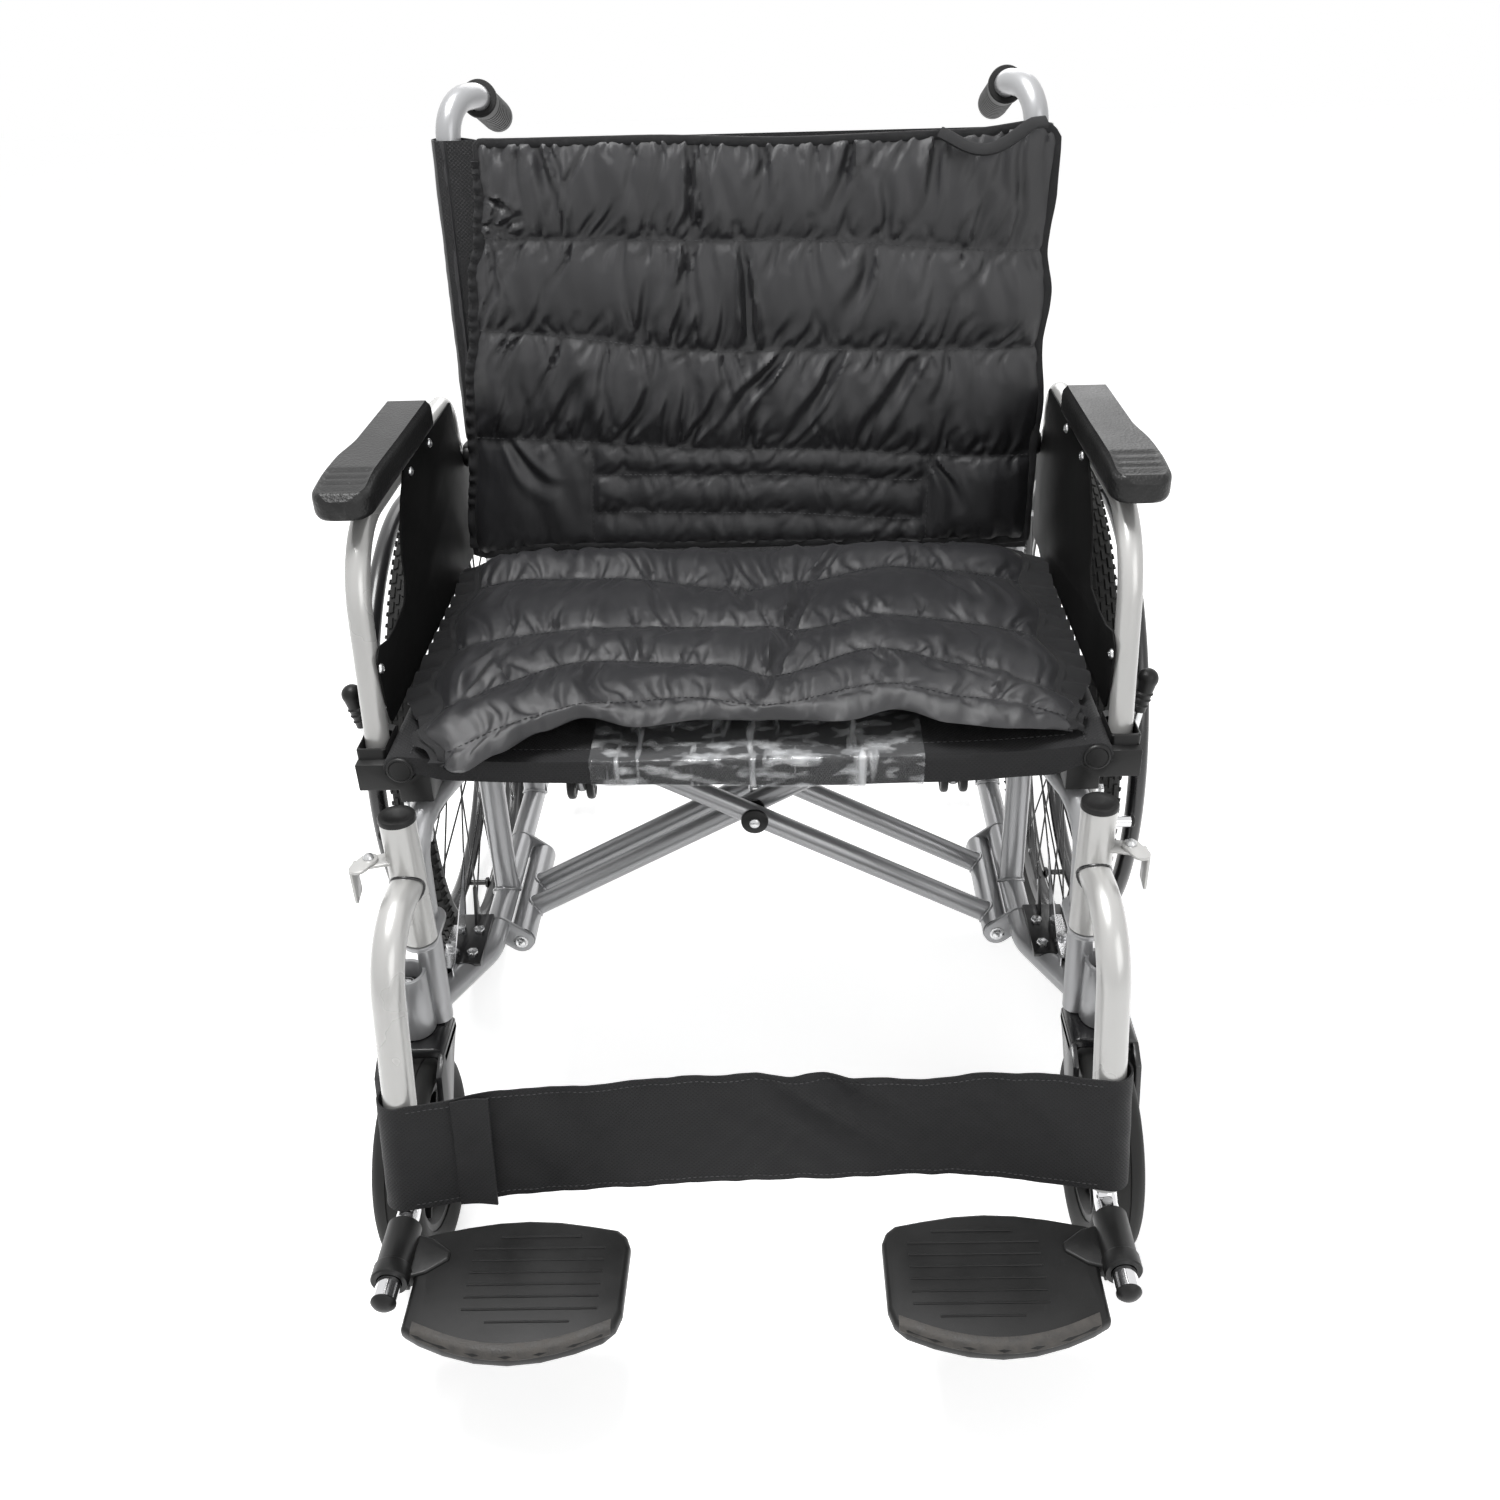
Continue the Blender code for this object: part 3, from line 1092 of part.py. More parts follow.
def seat_sling(name):
    """Return the seat cloth, which lies over both rails and sags between them."""
    reach = RAIL_X + TUBE_D / 2
    top = RAIL_Z + TUBE_D / 2 + SLING_THICK / 2 + GAP
    rows = []
    for y in (RAIL_FRONT + 0.004, RAIL_REAR - 0.010):
        row = []
        for share in (-1.0, -0.92, -0.6, -0.25, 0.25, 0.6, 0.92, 1.0):
            sag = SLING_SAG * (1 - (abs(share) / 0.92) ** 2) if abs(share) < 0.92 else 0.0
            row.append((reach * share, y, top - sag))
        rows.append(row)
    return sheet(name, rows, SLING_THICK)


def cane_y(height):
    """Return the Y of the cane's centre at a height."""
    if height < CANE_BEND_Z:
        return 0.0
    return CANE_LEAN * (height - CANE_BEND_Z) / (CANE_TOP_Z - CANE_BEND_Z)


def back_sling(name):
    """Return the back cloth, stretched across the front of both canes."""
    front = TUBE_D / 2 + SLING_THICK / 2 + 0.0008
    half = CANE_X + TUBE_D / 2
    rows = []
    for height in (BACK_LOW_Z - 0.035, CANE_BEND_Z, CANE_BEND_Z + 0.10, BACK_TOP_Z):
        rows.append([(half * share, cane_y(height) - front, height) for share in (-1, -0.4, 0.4, 1)])
    return sheet(name, rows, SLING_THICK)


def cushion(name, low, high, puff):
    """Return a plain cushion: a block with its edges rounded off."""
    block = box(name, low, high)
    bevel = block.modifiers.new("edge", "BEVEL")
    bevel.width = puff
    bevel.segments = 2
    bevel.limit_method = "NONE"
    return solid(block)


def seat_cushion(name):
    """Return the seat cushion, which lies on the sling."""
    low_z = RAIL_Z + TUBE_D / 2 + SLING_THICK + 2 * GAP
    low = (-SEAT_CUSHION_HALF, SEAT_CUSHION_FRONT, low_z)
    high = (SEAT_CUSHION_HALF, SEAT_CUSHION_REAR, low_z + SEAT_CUSHION_THICK)
    return cushion(name, low, high, 0.016)


def back_cushion(name):
    """Return the back cushion, tied in front of the back sling and leaning with it."""
    front = TUBE_D / 2 + SLING_THICK + 0.0016
    half = BACK_CUSHION_THICK / 2
    middle_z = (BACK_LOW_Z + BACK_TOP_Z) / 2
    lean = math.atan(CANE_LEAN / (CANE_TOP_Z - CANE_BEND_Z))
    height = (BACK_TOP_Z - BACK_LOW_Z) / 2 - 0.004
    pad = cushion(name, (-BACK_CUSHION_HALF, -half, -height), (BACK_CUSHION_HALF, half, height), 0.016)
    middle_y = cane_y(BACK_LOW_Z) - front - half - 0.002
    shift = (BACK_TOP_Z - BACK_LOW_Z) / 2 * math.tan(lean) * 0.5
    pad.matrix_world = (Matrix.Translation((0, middle_y + shift - 0.008, middle_z))
                        @ Matrix.Rotation(-lean * 0.55, 4, "X"))
    return pad


def joint_empty(name, place, parent):
    """Return an empty on a joint's axis, hung on its parent."""
    empty = link(bpy.data.objects.new(name, None))
    empty.empty_display_size = 0.03
    empty.location = Vector(place) - Vector(parent["place"])
    empty.parent = parent
    empty["place"] = place
    return empty


def hang(pieces, empty):
    """Hang pieces, made in the axle frame, on a joint's empty without moving them."""
    for piece in pieces:
        piece.matrix_world = Matrix.Translation(-Vector(empty["place"])) @ piece.matrix_world
        piece.parent = empty


def build_side(label, paints, carrier):
    """Build everything on one side frame and hang it on its joints' empties."""
    silver, black, rubber, chrome, moulded, fabric = paints
    side = SIDES[label]

    def made(builder, material, smooth=True):
        """Build a piece of the right side, mirrored when this is the left one."""
        piece = solid(builder(f"{builder.__name__}_{label}"))
        if side < 0:
            piece = mirrored(piece)
        return finish(piece, material, smooth)

    def joint(stem, place, parent):
        """Place a joint's empty; the place is the one on the right side."""
        return joint_empty(f"{stem}_{label}", (side * place[0], place[1], place[2]), parent)

    hang([
        made(side_frame, silver),
        made(back_cane, silver),
        made(push_grip, rubber),
        made(seat_guide, moulded, smooth=False),
        made(rear_axle, chrome),
        made(brake_bracket, black, smooth=False),
        made(anti_tip_bar, silver),
    ], carrier)

    wheel = joint("wheel_spin", (WHEEL_X, 0, WHEEL_RADIUS), carrier)
    hang([made(tyre, rubber), made(rim, black), made(wheel_hub, black), made(handrim, black)], wheel)

    swivel = joint("caster_swivel", (CASTER_X, STEM_Y, CASTER_RADIUS), carrier)
    hang([made(caster_fork, black, smooth=False), made(caster_axle, chrome)], swivel)
    roll = joint("caster_spin", (CASTER_X, CASTER_Y, CASTER_RADIUS), swivel)
    hang([made(caster_tyre, rubber), made(caster_hub, black)], roll)

    arm = joint("arm_flip", (ARM_X, ARM_PIVOT_Y, ARM_PIVOT_Z), carrier)
    hang([made(arm_tube, silver), made(arm_pad, moulded), made(side_panel, black, smooth=False)], arm)

    swing = joint("hanger_swing", (HANGER_X, HANGER_Y, HANGER_START_Z), carrier)
    hang([made(hanger, silver), made(calf_strap, fabric, smooth=False)], swing)
    release = joint("release", (HANGER_X + RELEASE_OUT, HANGER_Y - 0.008, RELEASE_Z), swing)
    hang([made(release_lever, chrome, smooth=False)], release)
    slide = joint("leg_length", HANGER_LOW, swing)
    hang([made(leg_extension, chrome)], slide)
    pin_x, pin_z = leg_pin()
    flip = joint("footplate_flip", (pin_x, PLATE_BARREL_REAR, pin_z), slide)
    hang([made(footplate, moulded, smooth=False)], flip)

    lock = joint("brake", (BRAKE_X, BRAKE_Y, BRAKE_Z), carrier)
    hang([made(brake_lever, black)], lock)
    shoe = joint("brake_shoe_turn", (ARM_X, SHOE_PIVOT_Y, SHOE_PIVOT_Z), carrier)
    hang([made(brake_shoe, chrome, smooth=False)], shoe)

    tip = joint("anti_tip_spin", (FRAME_X, TIP_WHEEL_Y, TIP_WHEEL_Z), carrier)
    hang([made(anti_tip_wheel, rubber)], tip)


def build():
    """Build the whole wheelchair."""
    clear_scene()
    collection = bpy.data.collections.new("bariatric_wheelchair")
    bpy.context.scene.collection.children.link(collection)
    silver = paint("silver_enamel", (0.60, 0.61, 0.62), 0.35, 0.3)
    black = paint("black_enamel", (0.03, 0.03, 0.03), 0.35)
    rubber = paint("rubber", (0.04, 0.04, 0.04), 0.8)
    chrome = paint("chrome", (0.75, 0.75, 0.76), 0.12, 1.0)
    moulded = paint("moulded_plastic", (0.03, 0.03, 0.03), 0.5)
    fabric = paint("oxford_cloth", (0.03, 0.03, 0.035), 0.9)
    padded = paint("quilted_cloth", (0.09, 0.09, 0.10), 0.6)
    paints = (silver, black, rubber, chrome, moulded, fabric)

    chair = link(bpy.data.objects.new("chair", None))
    chair.location = (0, -FOOTPRINT_MIDDLE, 0)
    chair["place"] = (0, 0, 0)

    left = joint_empty("left_side", (0, 0, 0), chair)
    build_side("left", paints, left)
    hang([finish(back_sling("back_sling"), fabric), finish(back_cushion("back_cushion"), padded)], left)

    fold = joint_empty("frame_fold", (-SLEEVE_X, SLEEVE_FRONT, SLEEVE_Z), left)
    hang([finish(brace_leg("brace_leg_a", -1, INNER_BARS), silver)], fold)
    cross = joint_empty("brace_cross", (0, OUTER_BARS[0], PIVOT_Z), fold)
    hang([
        finish(brace_leg("brace_leg_b", 1, OUTER_BARS), silver),
        finish(brace_pivot("brace_pivot_front", (OUTER_BARS[0], INNER_BARS[0])), chrome),
        finish(brace_pivot("brace_pivot_rear", (OUTER_BARS[1], INNER_BARS[1])), chrome),
        finish(seat_sling("seat_sling"), fabric),
        finish(seat_cushion("seat_cushion"), padded),
    ], cross)
    right = joint_empty("right_side", (SLEEVE_X, SLEEVE_FRONT, SLEEVE_Z), cross)
    build_side("right", paints, right)


build()
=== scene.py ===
"""Looks of a wide folding wheelchair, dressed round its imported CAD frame.

Units are metres, +Z is up, +X is the right of the picture and -Y is the front of the chair.
Places are given from the rear axle line (Y = 0) and the floor (Z = 0), and Workshop.at turns
them into the frame's coordinates. Sub-assemblies build the right side and mirror it.
"""

from __future__ import annotations

import json
import logging
import math
import random
from dataclasses import dataclass
from enum import Enum
from typing import Callable, Iterable, Sequence

import bmesh
import bpy
from mathutils import Matrix, Vector, noise

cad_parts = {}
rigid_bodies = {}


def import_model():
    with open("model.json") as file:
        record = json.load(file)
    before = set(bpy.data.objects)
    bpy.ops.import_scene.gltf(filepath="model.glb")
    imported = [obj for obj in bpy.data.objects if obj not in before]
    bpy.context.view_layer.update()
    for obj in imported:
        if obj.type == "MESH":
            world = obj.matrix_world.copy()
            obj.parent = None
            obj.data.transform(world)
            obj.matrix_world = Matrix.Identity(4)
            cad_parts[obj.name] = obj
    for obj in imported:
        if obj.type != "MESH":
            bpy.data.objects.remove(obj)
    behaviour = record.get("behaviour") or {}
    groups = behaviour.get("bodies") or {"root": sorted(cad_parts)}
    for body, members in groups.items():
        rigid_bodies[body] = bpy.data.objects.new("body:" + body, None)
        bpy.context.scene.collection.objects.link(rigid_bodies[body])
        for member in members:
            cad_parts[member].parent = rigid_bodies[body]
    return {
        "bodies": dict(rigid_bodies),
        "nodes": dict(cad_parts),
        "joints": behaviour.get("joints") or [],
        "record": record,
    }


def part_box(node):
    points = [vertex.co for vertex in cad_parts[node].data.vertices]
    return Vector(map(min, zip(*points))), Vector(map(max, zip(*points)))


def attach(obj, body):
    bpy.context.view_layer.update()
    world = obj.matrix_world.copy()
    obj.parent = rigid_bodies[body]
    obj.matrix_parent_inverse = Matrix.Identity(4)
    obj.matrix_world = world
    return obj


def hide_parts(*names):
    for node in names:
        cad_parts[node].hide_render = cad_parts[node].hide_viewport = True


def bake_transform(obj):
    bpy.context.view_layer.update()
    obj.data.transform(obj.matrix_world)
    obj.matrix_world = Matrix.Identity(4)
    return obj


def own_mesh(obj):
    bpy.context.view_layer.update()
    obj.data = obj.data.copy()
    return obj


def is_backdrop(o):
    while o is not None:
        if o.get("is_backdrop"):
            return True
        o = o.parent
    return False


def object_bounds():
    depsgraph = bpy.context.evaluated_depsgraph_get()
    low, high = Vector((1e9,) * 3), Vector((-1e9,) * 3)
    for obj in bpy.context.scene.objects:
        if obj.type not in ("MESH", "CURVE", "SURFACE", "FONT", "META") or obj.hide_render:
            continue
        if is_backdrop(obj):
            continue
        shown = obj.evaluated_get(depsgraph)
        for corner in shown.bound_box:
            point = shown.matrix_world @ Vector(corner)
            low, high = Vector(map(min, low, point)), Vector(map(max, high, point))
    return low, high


LOG = logging.getLogger("wheelchair")
Place = Sequence[float]
Shape = bpy.types.Object
Pairs = tuple[tuple[float, float], ...]


class NodeSheet:
    """Places and wires the nodes of one tree."""

    def __init__(self, tree: bpy.types.NodeTree) -> None:
        """Work on this tree."""
        self.tree = tree

    def add(self, kind: str, values: dict | None = None, **settings: object) -> bpy.types.Node:
        """Add a node.

        Args:
            kind: The node's type name.
            values: Input name or number to a value, or to a socket that feeds it.
            settings: The node's own options.

        Returns:
            The new node.
        """
        node = self.tree.nodes.new(kind)
        for name, value in settings.items():
            setattr(node, name, value)
        for key, value in (values or {}).items():
            if isinstance(value, bpy.types.NodeSocket):
                self.tree.links.new(value, node.inputs[key])
            else:
                node.inputs[key].default_value = value
        return node

    def sum(self, operation: str, first: object, second: object = 0.0) -> bpy.types.NodeSocket:
        """Return the result of a Math node."""
        return self.add("ShaderNodeMath", {0: first, 1: second}, operation=operation).outputs[0]

    def entry(self, name: str, kind: str, value: object = None, leaves: bool = False) -> None:
        """Add a named input, or an output when it leaves, to the tree's interface."""
        way = "OUTPUT" if leaves else "INPUT"
        socket = self.tree.interface.new_socket(name=name, in_out=way, socket_type=kind)
        if value is not None:
            socket.default_value = value


class Effects:
    """Shader node groups that several finishes share, each built once."""

    def __init__(self) -> None:
        """Build every group."""
        self.grain = self._grain()
        self.mottle = self._mottle()
        self.weave = self._weave()
        self.scuffs = self._scuffs()

    @staticmethod
    def _start(name: str, inputs: dict[str, float]) -> tuple[NodeSheet, bpy.types.Node]:
        """Begin a group with number inputs and return its sheet and its input node."""
        sheet = NodeSheet(bpy.data.node_groups.new(name, "ShaderNodeTree"))
        for key, value in inputs.items():
            sheet.entry(key, "NodeSocketFloat", value)
        return sheet, sheet.add("NodeGroupInput")

    @staticmethod
    def _place(sheet: NodeSheet) -> bpy.types.NodeSocket:
        """Return the object's own coordinates."""
        return sheet.add("ShaderNodeTexCoord").outputs["Object"]

    def _grain(self) -> bpy.types.NodeTree:
        """Return the group for moulded grain: pebbles of one size broken by finer noise."""
        sheet, given = self._start("grain", {"Size": 0.001, "Fine": 0.5})
        place = self._place(sheet)
        scale = sheet.sum("DIVIDE", 1.0, given.outputs["Size"])
        pebbles = sheet.add("ShaderNodeTexVoronoi", {"Vector": place, "Scale": scale}, feature="SMOOTH_F1")
        double = sheet.sum("MULTIPLY", scale, 2.3)
        fine = sheet.add("ShaderNodeTexNoise", {"Vector": place, "Scale": double, "Detail": 3.0})
        part = sheet.sum("MULTIPLY", fine.outputs["Fac"], given.outputs["Fine"])
        height = sheet.sum("ADD", pebbles.outputs["Distance"], part)
        sheet.entry("Height", "NodeSocketFloat", leaves=True)
        sheet.add("NodeGroupOutput", {"Height": height})
        return sheet.tree

    def _mottle(self) -> bpy.types.NodeTree:
        """Return the group for slow changes of tone over a surface."""
        sheet, given = self._start("mottle", {"Size": 0.05, "Low": 0.0, "High": 1.0})
        scale = sheet.sum("DIVIDE", 1.0, given.outputs["Size"])
        cloud = sheet.add("ShaderNodeTexNoise", {"Vector": self._place(sheet), "Scale": scale, "Detail": 4.0})
        spread = sheet.add("ShaderNodeMapRange", {
            "Value": cloud.outputs["Fac"], "From Min": 0.3, "From Max": 0.7,
            "To Min": given.outputs["Low"], "To Max": given.outputs["High"],
        })
        sheet.entry("Tone", "NodeSocketFloat", leaves=True)
        sheet.add("NodeGroupOutput", {"Tone": spread.outputs["Result"]})
        return sheet.tree

    def _weave(self) -> bpy.types.NodeTree:
        """Return the group for a plain weave: threads that pass over and under each other."""
        sheet, given = self._start("weave", {"Thread": 0.0007, "Waver": 0.15})
        place = self._place(sheet)
        split = sheet.add("ShaderNodeSeparateXYZ", {0: place})
        along = sheet.sum("ADD", split.outputs["Y"], split.outputs["Z"])
        turn = sheet.sum("DIVIDE", math.pi, given.outputs["Thread"])
        warp_phase = sheet.sum("MULTIPLY", split.outputs["X"], turn)
        weft_phase = sheet.sum("MULTIPLY", along, turn)
        warp = sheet.sum("ABSOLUTE", sheet.sum("SINE", warp_phase))
        weft = sheet.sum("ABSOLUTE", sheet.sum("SINE", weft_phase))
        half_warp = sheet.sum("SINE", sheet.sum("MULTIPLY", warp_phase, 0.5))
        half_weft = sheet.sum("SINE", sheet.sum("MULTIPLY", weft_phase, 0.5))
        over = sheet.sum("GREATER_THAN", sheet.sum("MULTIPLY", half_warp, half_weft), 0.0)
        mixed = sheet.add("ShaderNodeMix", {0: over, 2: warp, 3: weft})
        stray = sheet.add("ShaderNodeTexNoise", {"Vector": place, "Scale": 900.0, "Detail": 2.0})
        part = sheet.sum("MULTIPLY", stray.outputs["Fac"], given.outputs["Waver"])
        sheet.entry("Height", "NodeSocketFloat", leaves=True)
        sheet.entry("Over", "NodeSocketFloat", leaves=True)
        height = sheet.sum("ADD", mixed.outputs[0], part)
        sheet.add("NodeGroupOutput", {"Height": height, "Over": over})
        return sheet.tree

    def _scuffs(self) -> bpy.types.NodeTree:
        """Return the group for fine rubbed lines and specks."""
        sheet, given = self._start("scuffs", {"Size": 0.02, "Amount": 0.3})
        scale = sheet.sum("DIVIDE", 1.0, given.outputs["Size"])
        long = sheet.add("ShaderNodeMapping", {"Vector": self._place(sheet), "Scale": (1.0, 9.0, 2.0)})
        rub = sheet.add("ShaderNodeTexNoise", {"Vector": long.outputs[0], "Scale": scale, "Detail": 6.0,
                                               "Roughness": 0.7})
        edge = sheet.sum("SUBTRACT", 0.78, sheet.sum("MULTIPLY", given.outputs["Amount"], 0.3))
        mask = sheet.add("ShaderNodeMapRange",
                         {"Value": rub.outputs["Fac"], "From Min": edge, "From Max": 0.8})
        sheet.entry("Mask", "NodeSocketFloat", leaves=True)
        sheet.add("NodeGroupOutput", {"Mask": mask.outputs["Result"]})
        return sheet.tree


@dataclass(frozen=True)
class Finish:
    """A surface: two tones, its gloss and the relief that the eye can see.

    Relief is "grain" or "weave", and its size is that of one pebble or thread.
    """

    dark: tuple[float, float, float]
    light: tuple[float, float, float]
    gloss: tuple[float, float] = (0.35, 0.45)
    metallic: float = 0.0
    relief: str = "grain"
    relief_size: float = 0.001
    relief_depth: float = 0.0001
    tone_size: float = 0.06
    scuffs: float = 0.0
    coat: float = 0.0
    sheen: float = 0.0
    alpha: float = 1.0
    specular: float = 0.5
    # How opaque the film's painted highlights are: pale streaks that stand in for its reflections.
    highlight_alpha: float = 0.0

    def make(self, name: str, effects: Effects) -> bpy.types.Material:
        """Build the material.

        Args:
            name: The material's name.
            effects: The shared node groups.

        Returns:
            The finished material.
        """
        material = bpy.data.materials.new(name)
        material.use_nodes = True
        sheet = NodeSheet(material.node_tree)
        shader = material.node_tree.nodes["Principled BSDF"]
        tone = sheet.add("ShaderNodeGroup", node_tree=effects.mottle)
        tone.inputs["Size"].default_value = self.tone_size
        colour = sheet.add("ShaderNodeMix", {"Factor": tone.outputs["Tone"]}, data_type="RGBA")
        colour.inputs[6].default_value = (*self.dark, 1.0)
        colour.inputs[7].default_value = (*self.light, 1.0)
        paint = colour.outputs[2]
        rough = sheet.add("ShaderNodeMapRange", {"Value": tone.outputs["Tone"], "To Min": self.gloss[0],
                                                 "To Max": self.gloss[1]}).outputs["Result"]
        if self.scuffs:
            rubbed = sheet.add("ShaderNodeGroup", node_tree=effects.scuffs)
            rubbed.inputs["Amount"].default_value = self.scuffs
            pale = sheet.add("ShaderNodeMix", {"Factor": sheet.sum("MULTIPLY", rubbed.outputs["Mask"], 0.35)},
                             data_type="RGBA")
            sheet.tree.links.new(paint, pale.inputs[6])
            pale.inputs[7].default_value = tuple(min(1.0, part * 1.6 + 0.03) for part in self.light) + (1.0,)
            paint = pale.outputs[2]
            rough = sheet.sum("ADD", rough, sheet.sum("MULTIPLY", rubbed.outputs["Mask"], 0.12))
        sheet.tree.links.new(paint, shader.inputs["Base Color"])
        sheet.tree.links.new(rough, shader.inputs["Roughness"])
        shader.inputs["Metallic"].default_value = self.metallic
        shader.inputs["Coat Weight"].default_value = self.coat
        shader.inputs["Coat Roughness"].default_value = 0.12
        shader.inputs["Sheen Weight"].default_value = self.sheen
        shader.inputs["Specular IOR Level"].default_value = self.specular
        shader.inputs["Alpha"].default_value = self.alpha
        # Painted highlights: pale streaks on the clear film stand in for its reflections.
        if self.highlight_alpha:
            self._paint_highlights(sheet, shader)
        self._raise(sheet, shader, effects)
        return material

    def _paint_highlights(self, sheet: NodeSheet, shader: bpy.types.Node) -> None:
        """Paint highlights on a clear film: pale streaks and wrinkles where it is made less clear, in place
        of its reflections.
        """
        highlight_size = 0.009
        upright = ((0.60, 0.10, 0.03), 0.60, 0.72)
        lying = ((0.30, 0.55, 0.75), 0.50, 0.80)
        place = sheet.add("ShaderNodeTexCoord").outputs["Object"]
        shares = []
        for stretch, low, high in (upright, lying):
            drawn = sheet.add("ShaderNodeVectorMath", {0: place, 1: stretch}, operation="MULTIPLY")
            cloud = sheet.add("ShaderNodeTexNoise", {"Vector": drawn.outputs[0], "Scale": 1 / highlight_size,
                                                     "Detail": 2.0})
            shares.append(sheet.add("ShaderNodeMapRange", {
                "Value": cloud.outputs["Fac"], "From Min": low, "From Max": high,
                "To Min": self.alpha, "To Max": self.highlight_alpha}).outputs["Result"])
        sheet.tree.links.new(sheet.sum("MAXIMUM", *shares), shader.inputs["Alpha"])

    def _raise(self, sheet: NodeSheet, shader: bpy.types.Node, effects: Effects) -> None:
        """Feed the relief's height into the shader's normal."""
        if self.relief == "weave":
            relief = sheet.add("ShaderNodeGroup", node_tree=effects.weave)
            relief.inputs["Thread"].default_value = self.relief_size
        else:
            relief = sheet.add("ShaderNodeGroup", node_tree=effects.grain)
            relief.inputs["Size"].default_value = self.relief_size
        bump = sheet.add("ShaderNodeBump", {"Height": relief.outputs["Height"], "Strength": 1.0,
                                            "Distance": self.relief_depth})
        sheet.tree.links.new(bump.outputs["Normal"], shader.inputs["Normal"])


class Surface(Enum):
    """Every finish that the chair carries."""

    FRAME_SILVER = Finish((0.36, 0.363, 0.372), (0.40, 0.403, 0.412), (0.28, 0.34), 0.40, "grain", 0.0012,
                          0.00003, tone_size=0.15, scuffs=0.02, coat=0.4)
    HANGER_SILVER = Finish((0.52, 0.517, 0.505), (0.56, 0.557, 0.545), (0.26, 0.32), 0.35, "grain", 0.0012,
                           0.00003, tone_size=0.15, scuffs=0.02, coat=0.4)
    BLACK_ENAMEL = Finish((0.010, 0.010, 0.011), (0.016, 0.016, 0.017), (0.25, 0.34), 0.0, "grain", 0.0010,
                          0.00003, scuffs=0.2, coat=0.3)
    CHROME = Finish((0.70, 0.70, 0.71), (0.80, 0.80, 0.81), (0.08, 0.14), 1.0, "grain", 0.002, 0.00001,
                    scuffs=0.3)
    ZINC = Finish((0.55, 0.56, 0.57), (0.70, 0.70, 0.70), (0.22, 0.34), 1.0, "grain", 0.0008, 0.00002,
                  tone_size=0.004)
    TYRE_RUBBER = Finish((0.012, 0.012, 0.012), (0.024, 0.024, 0.023), (0.55, 0.72), 0.0, "grain", 0.0009,
                         0.00006, scuffs=0.3, specular=0.3)
    GRIP_RUBBER = Finish((0.010, 0.010, 0.010), (0.018, 0.018, 0.018), (0.45, 0.60), 0.0, "grain", 0.0008,
                         0.00008, specular=0.3)
    MOULDED = Finish((0.007, 0.007, 0.007), (0.013, 0.013, 0.013), (0.34, 0.48), 0.0, "grain", 0.0008,
                     0.00006, scuffs=0.2, specular=0.3)
    FLAT_BLACK = Finish((0.004, 0.004, 0.004), (0.007, 0.007, 0.007), (0.55, 0.65), 0.0, "grain", 0.0010,
                        0.00004, scuffs=0.1, specular=0.1)
    PAD_SKIN = Finish((0.007, 0.007, 0.007), (0.013, 0.013, 0.013), (0.30, 0.42), 0.0, "grain", 0.0022,
                      0.00035, scuffs=0.1, specular=0.35)
    QUILT = Finish((0.016, 0.016, 0.018), (0.022, 0.022, 0.024), (0.32, 0.38), 0.0, "weave", 0.0006,
                   0.00006, tone_size=0.12, sheen=0.05, specular=0.55)
    OXFORD = Finish((0.008, 0.008, 0.009), (0.016, 0.016, 0.017), (0.55, 0.70), 0.0, "weave", 0.0011,
                    0.00030, sheen=0.05, specular=0.3)
    SATIN = Finish((0.016, 0.016, 0.018), (0.024, 0.024, 0.026), (0.40, 0.50), 0.0, "weave", 0.0006,
                   0.00010, tone_size=0.05, sheen=0.05, specular=0.45)
    BINDING = Finish((0.008, 0.008, 0.009), (0.015, 0.015, 0.016), (0.55, 0.70), 0.0, "weave", 0.0008,
                     0.00020, sheen=0.05, specular=0.3)
    THREAD = Finish((0.030, 0.030, 0.032), (0.060, 0.060, 0.063), (0.55, 0.65), 0.0, "grain", 0.0004,
                    0.00005)
    # The film's pale streaks are painted highlights in place of its reflections.
    FILM = Finish((0.75, 0.77, 0.79), (0.95, 0.96, 0.97), (0.06, 0.16), 0.0, "grain", 0.012, 0.0012,
                  tone_size=0.02, alpha=0.035, specular=0.9, highlight_alpha=0.60)
    WORN = Finish((0.030, 0.028, 0.026), (0.070, 0.064, 0.058), (0.50, 0.70), 0.0, "grain", 0.0016,
                  0.00025, tone_size=0.010, scuffs=0.6)
    WHITE_BUSH = Finish((0.75, 0.75, 0.74), (0.82, 0.82, 0.81), (0.30, 0.40), 0.0, "grain", 0.001, 0.00002)


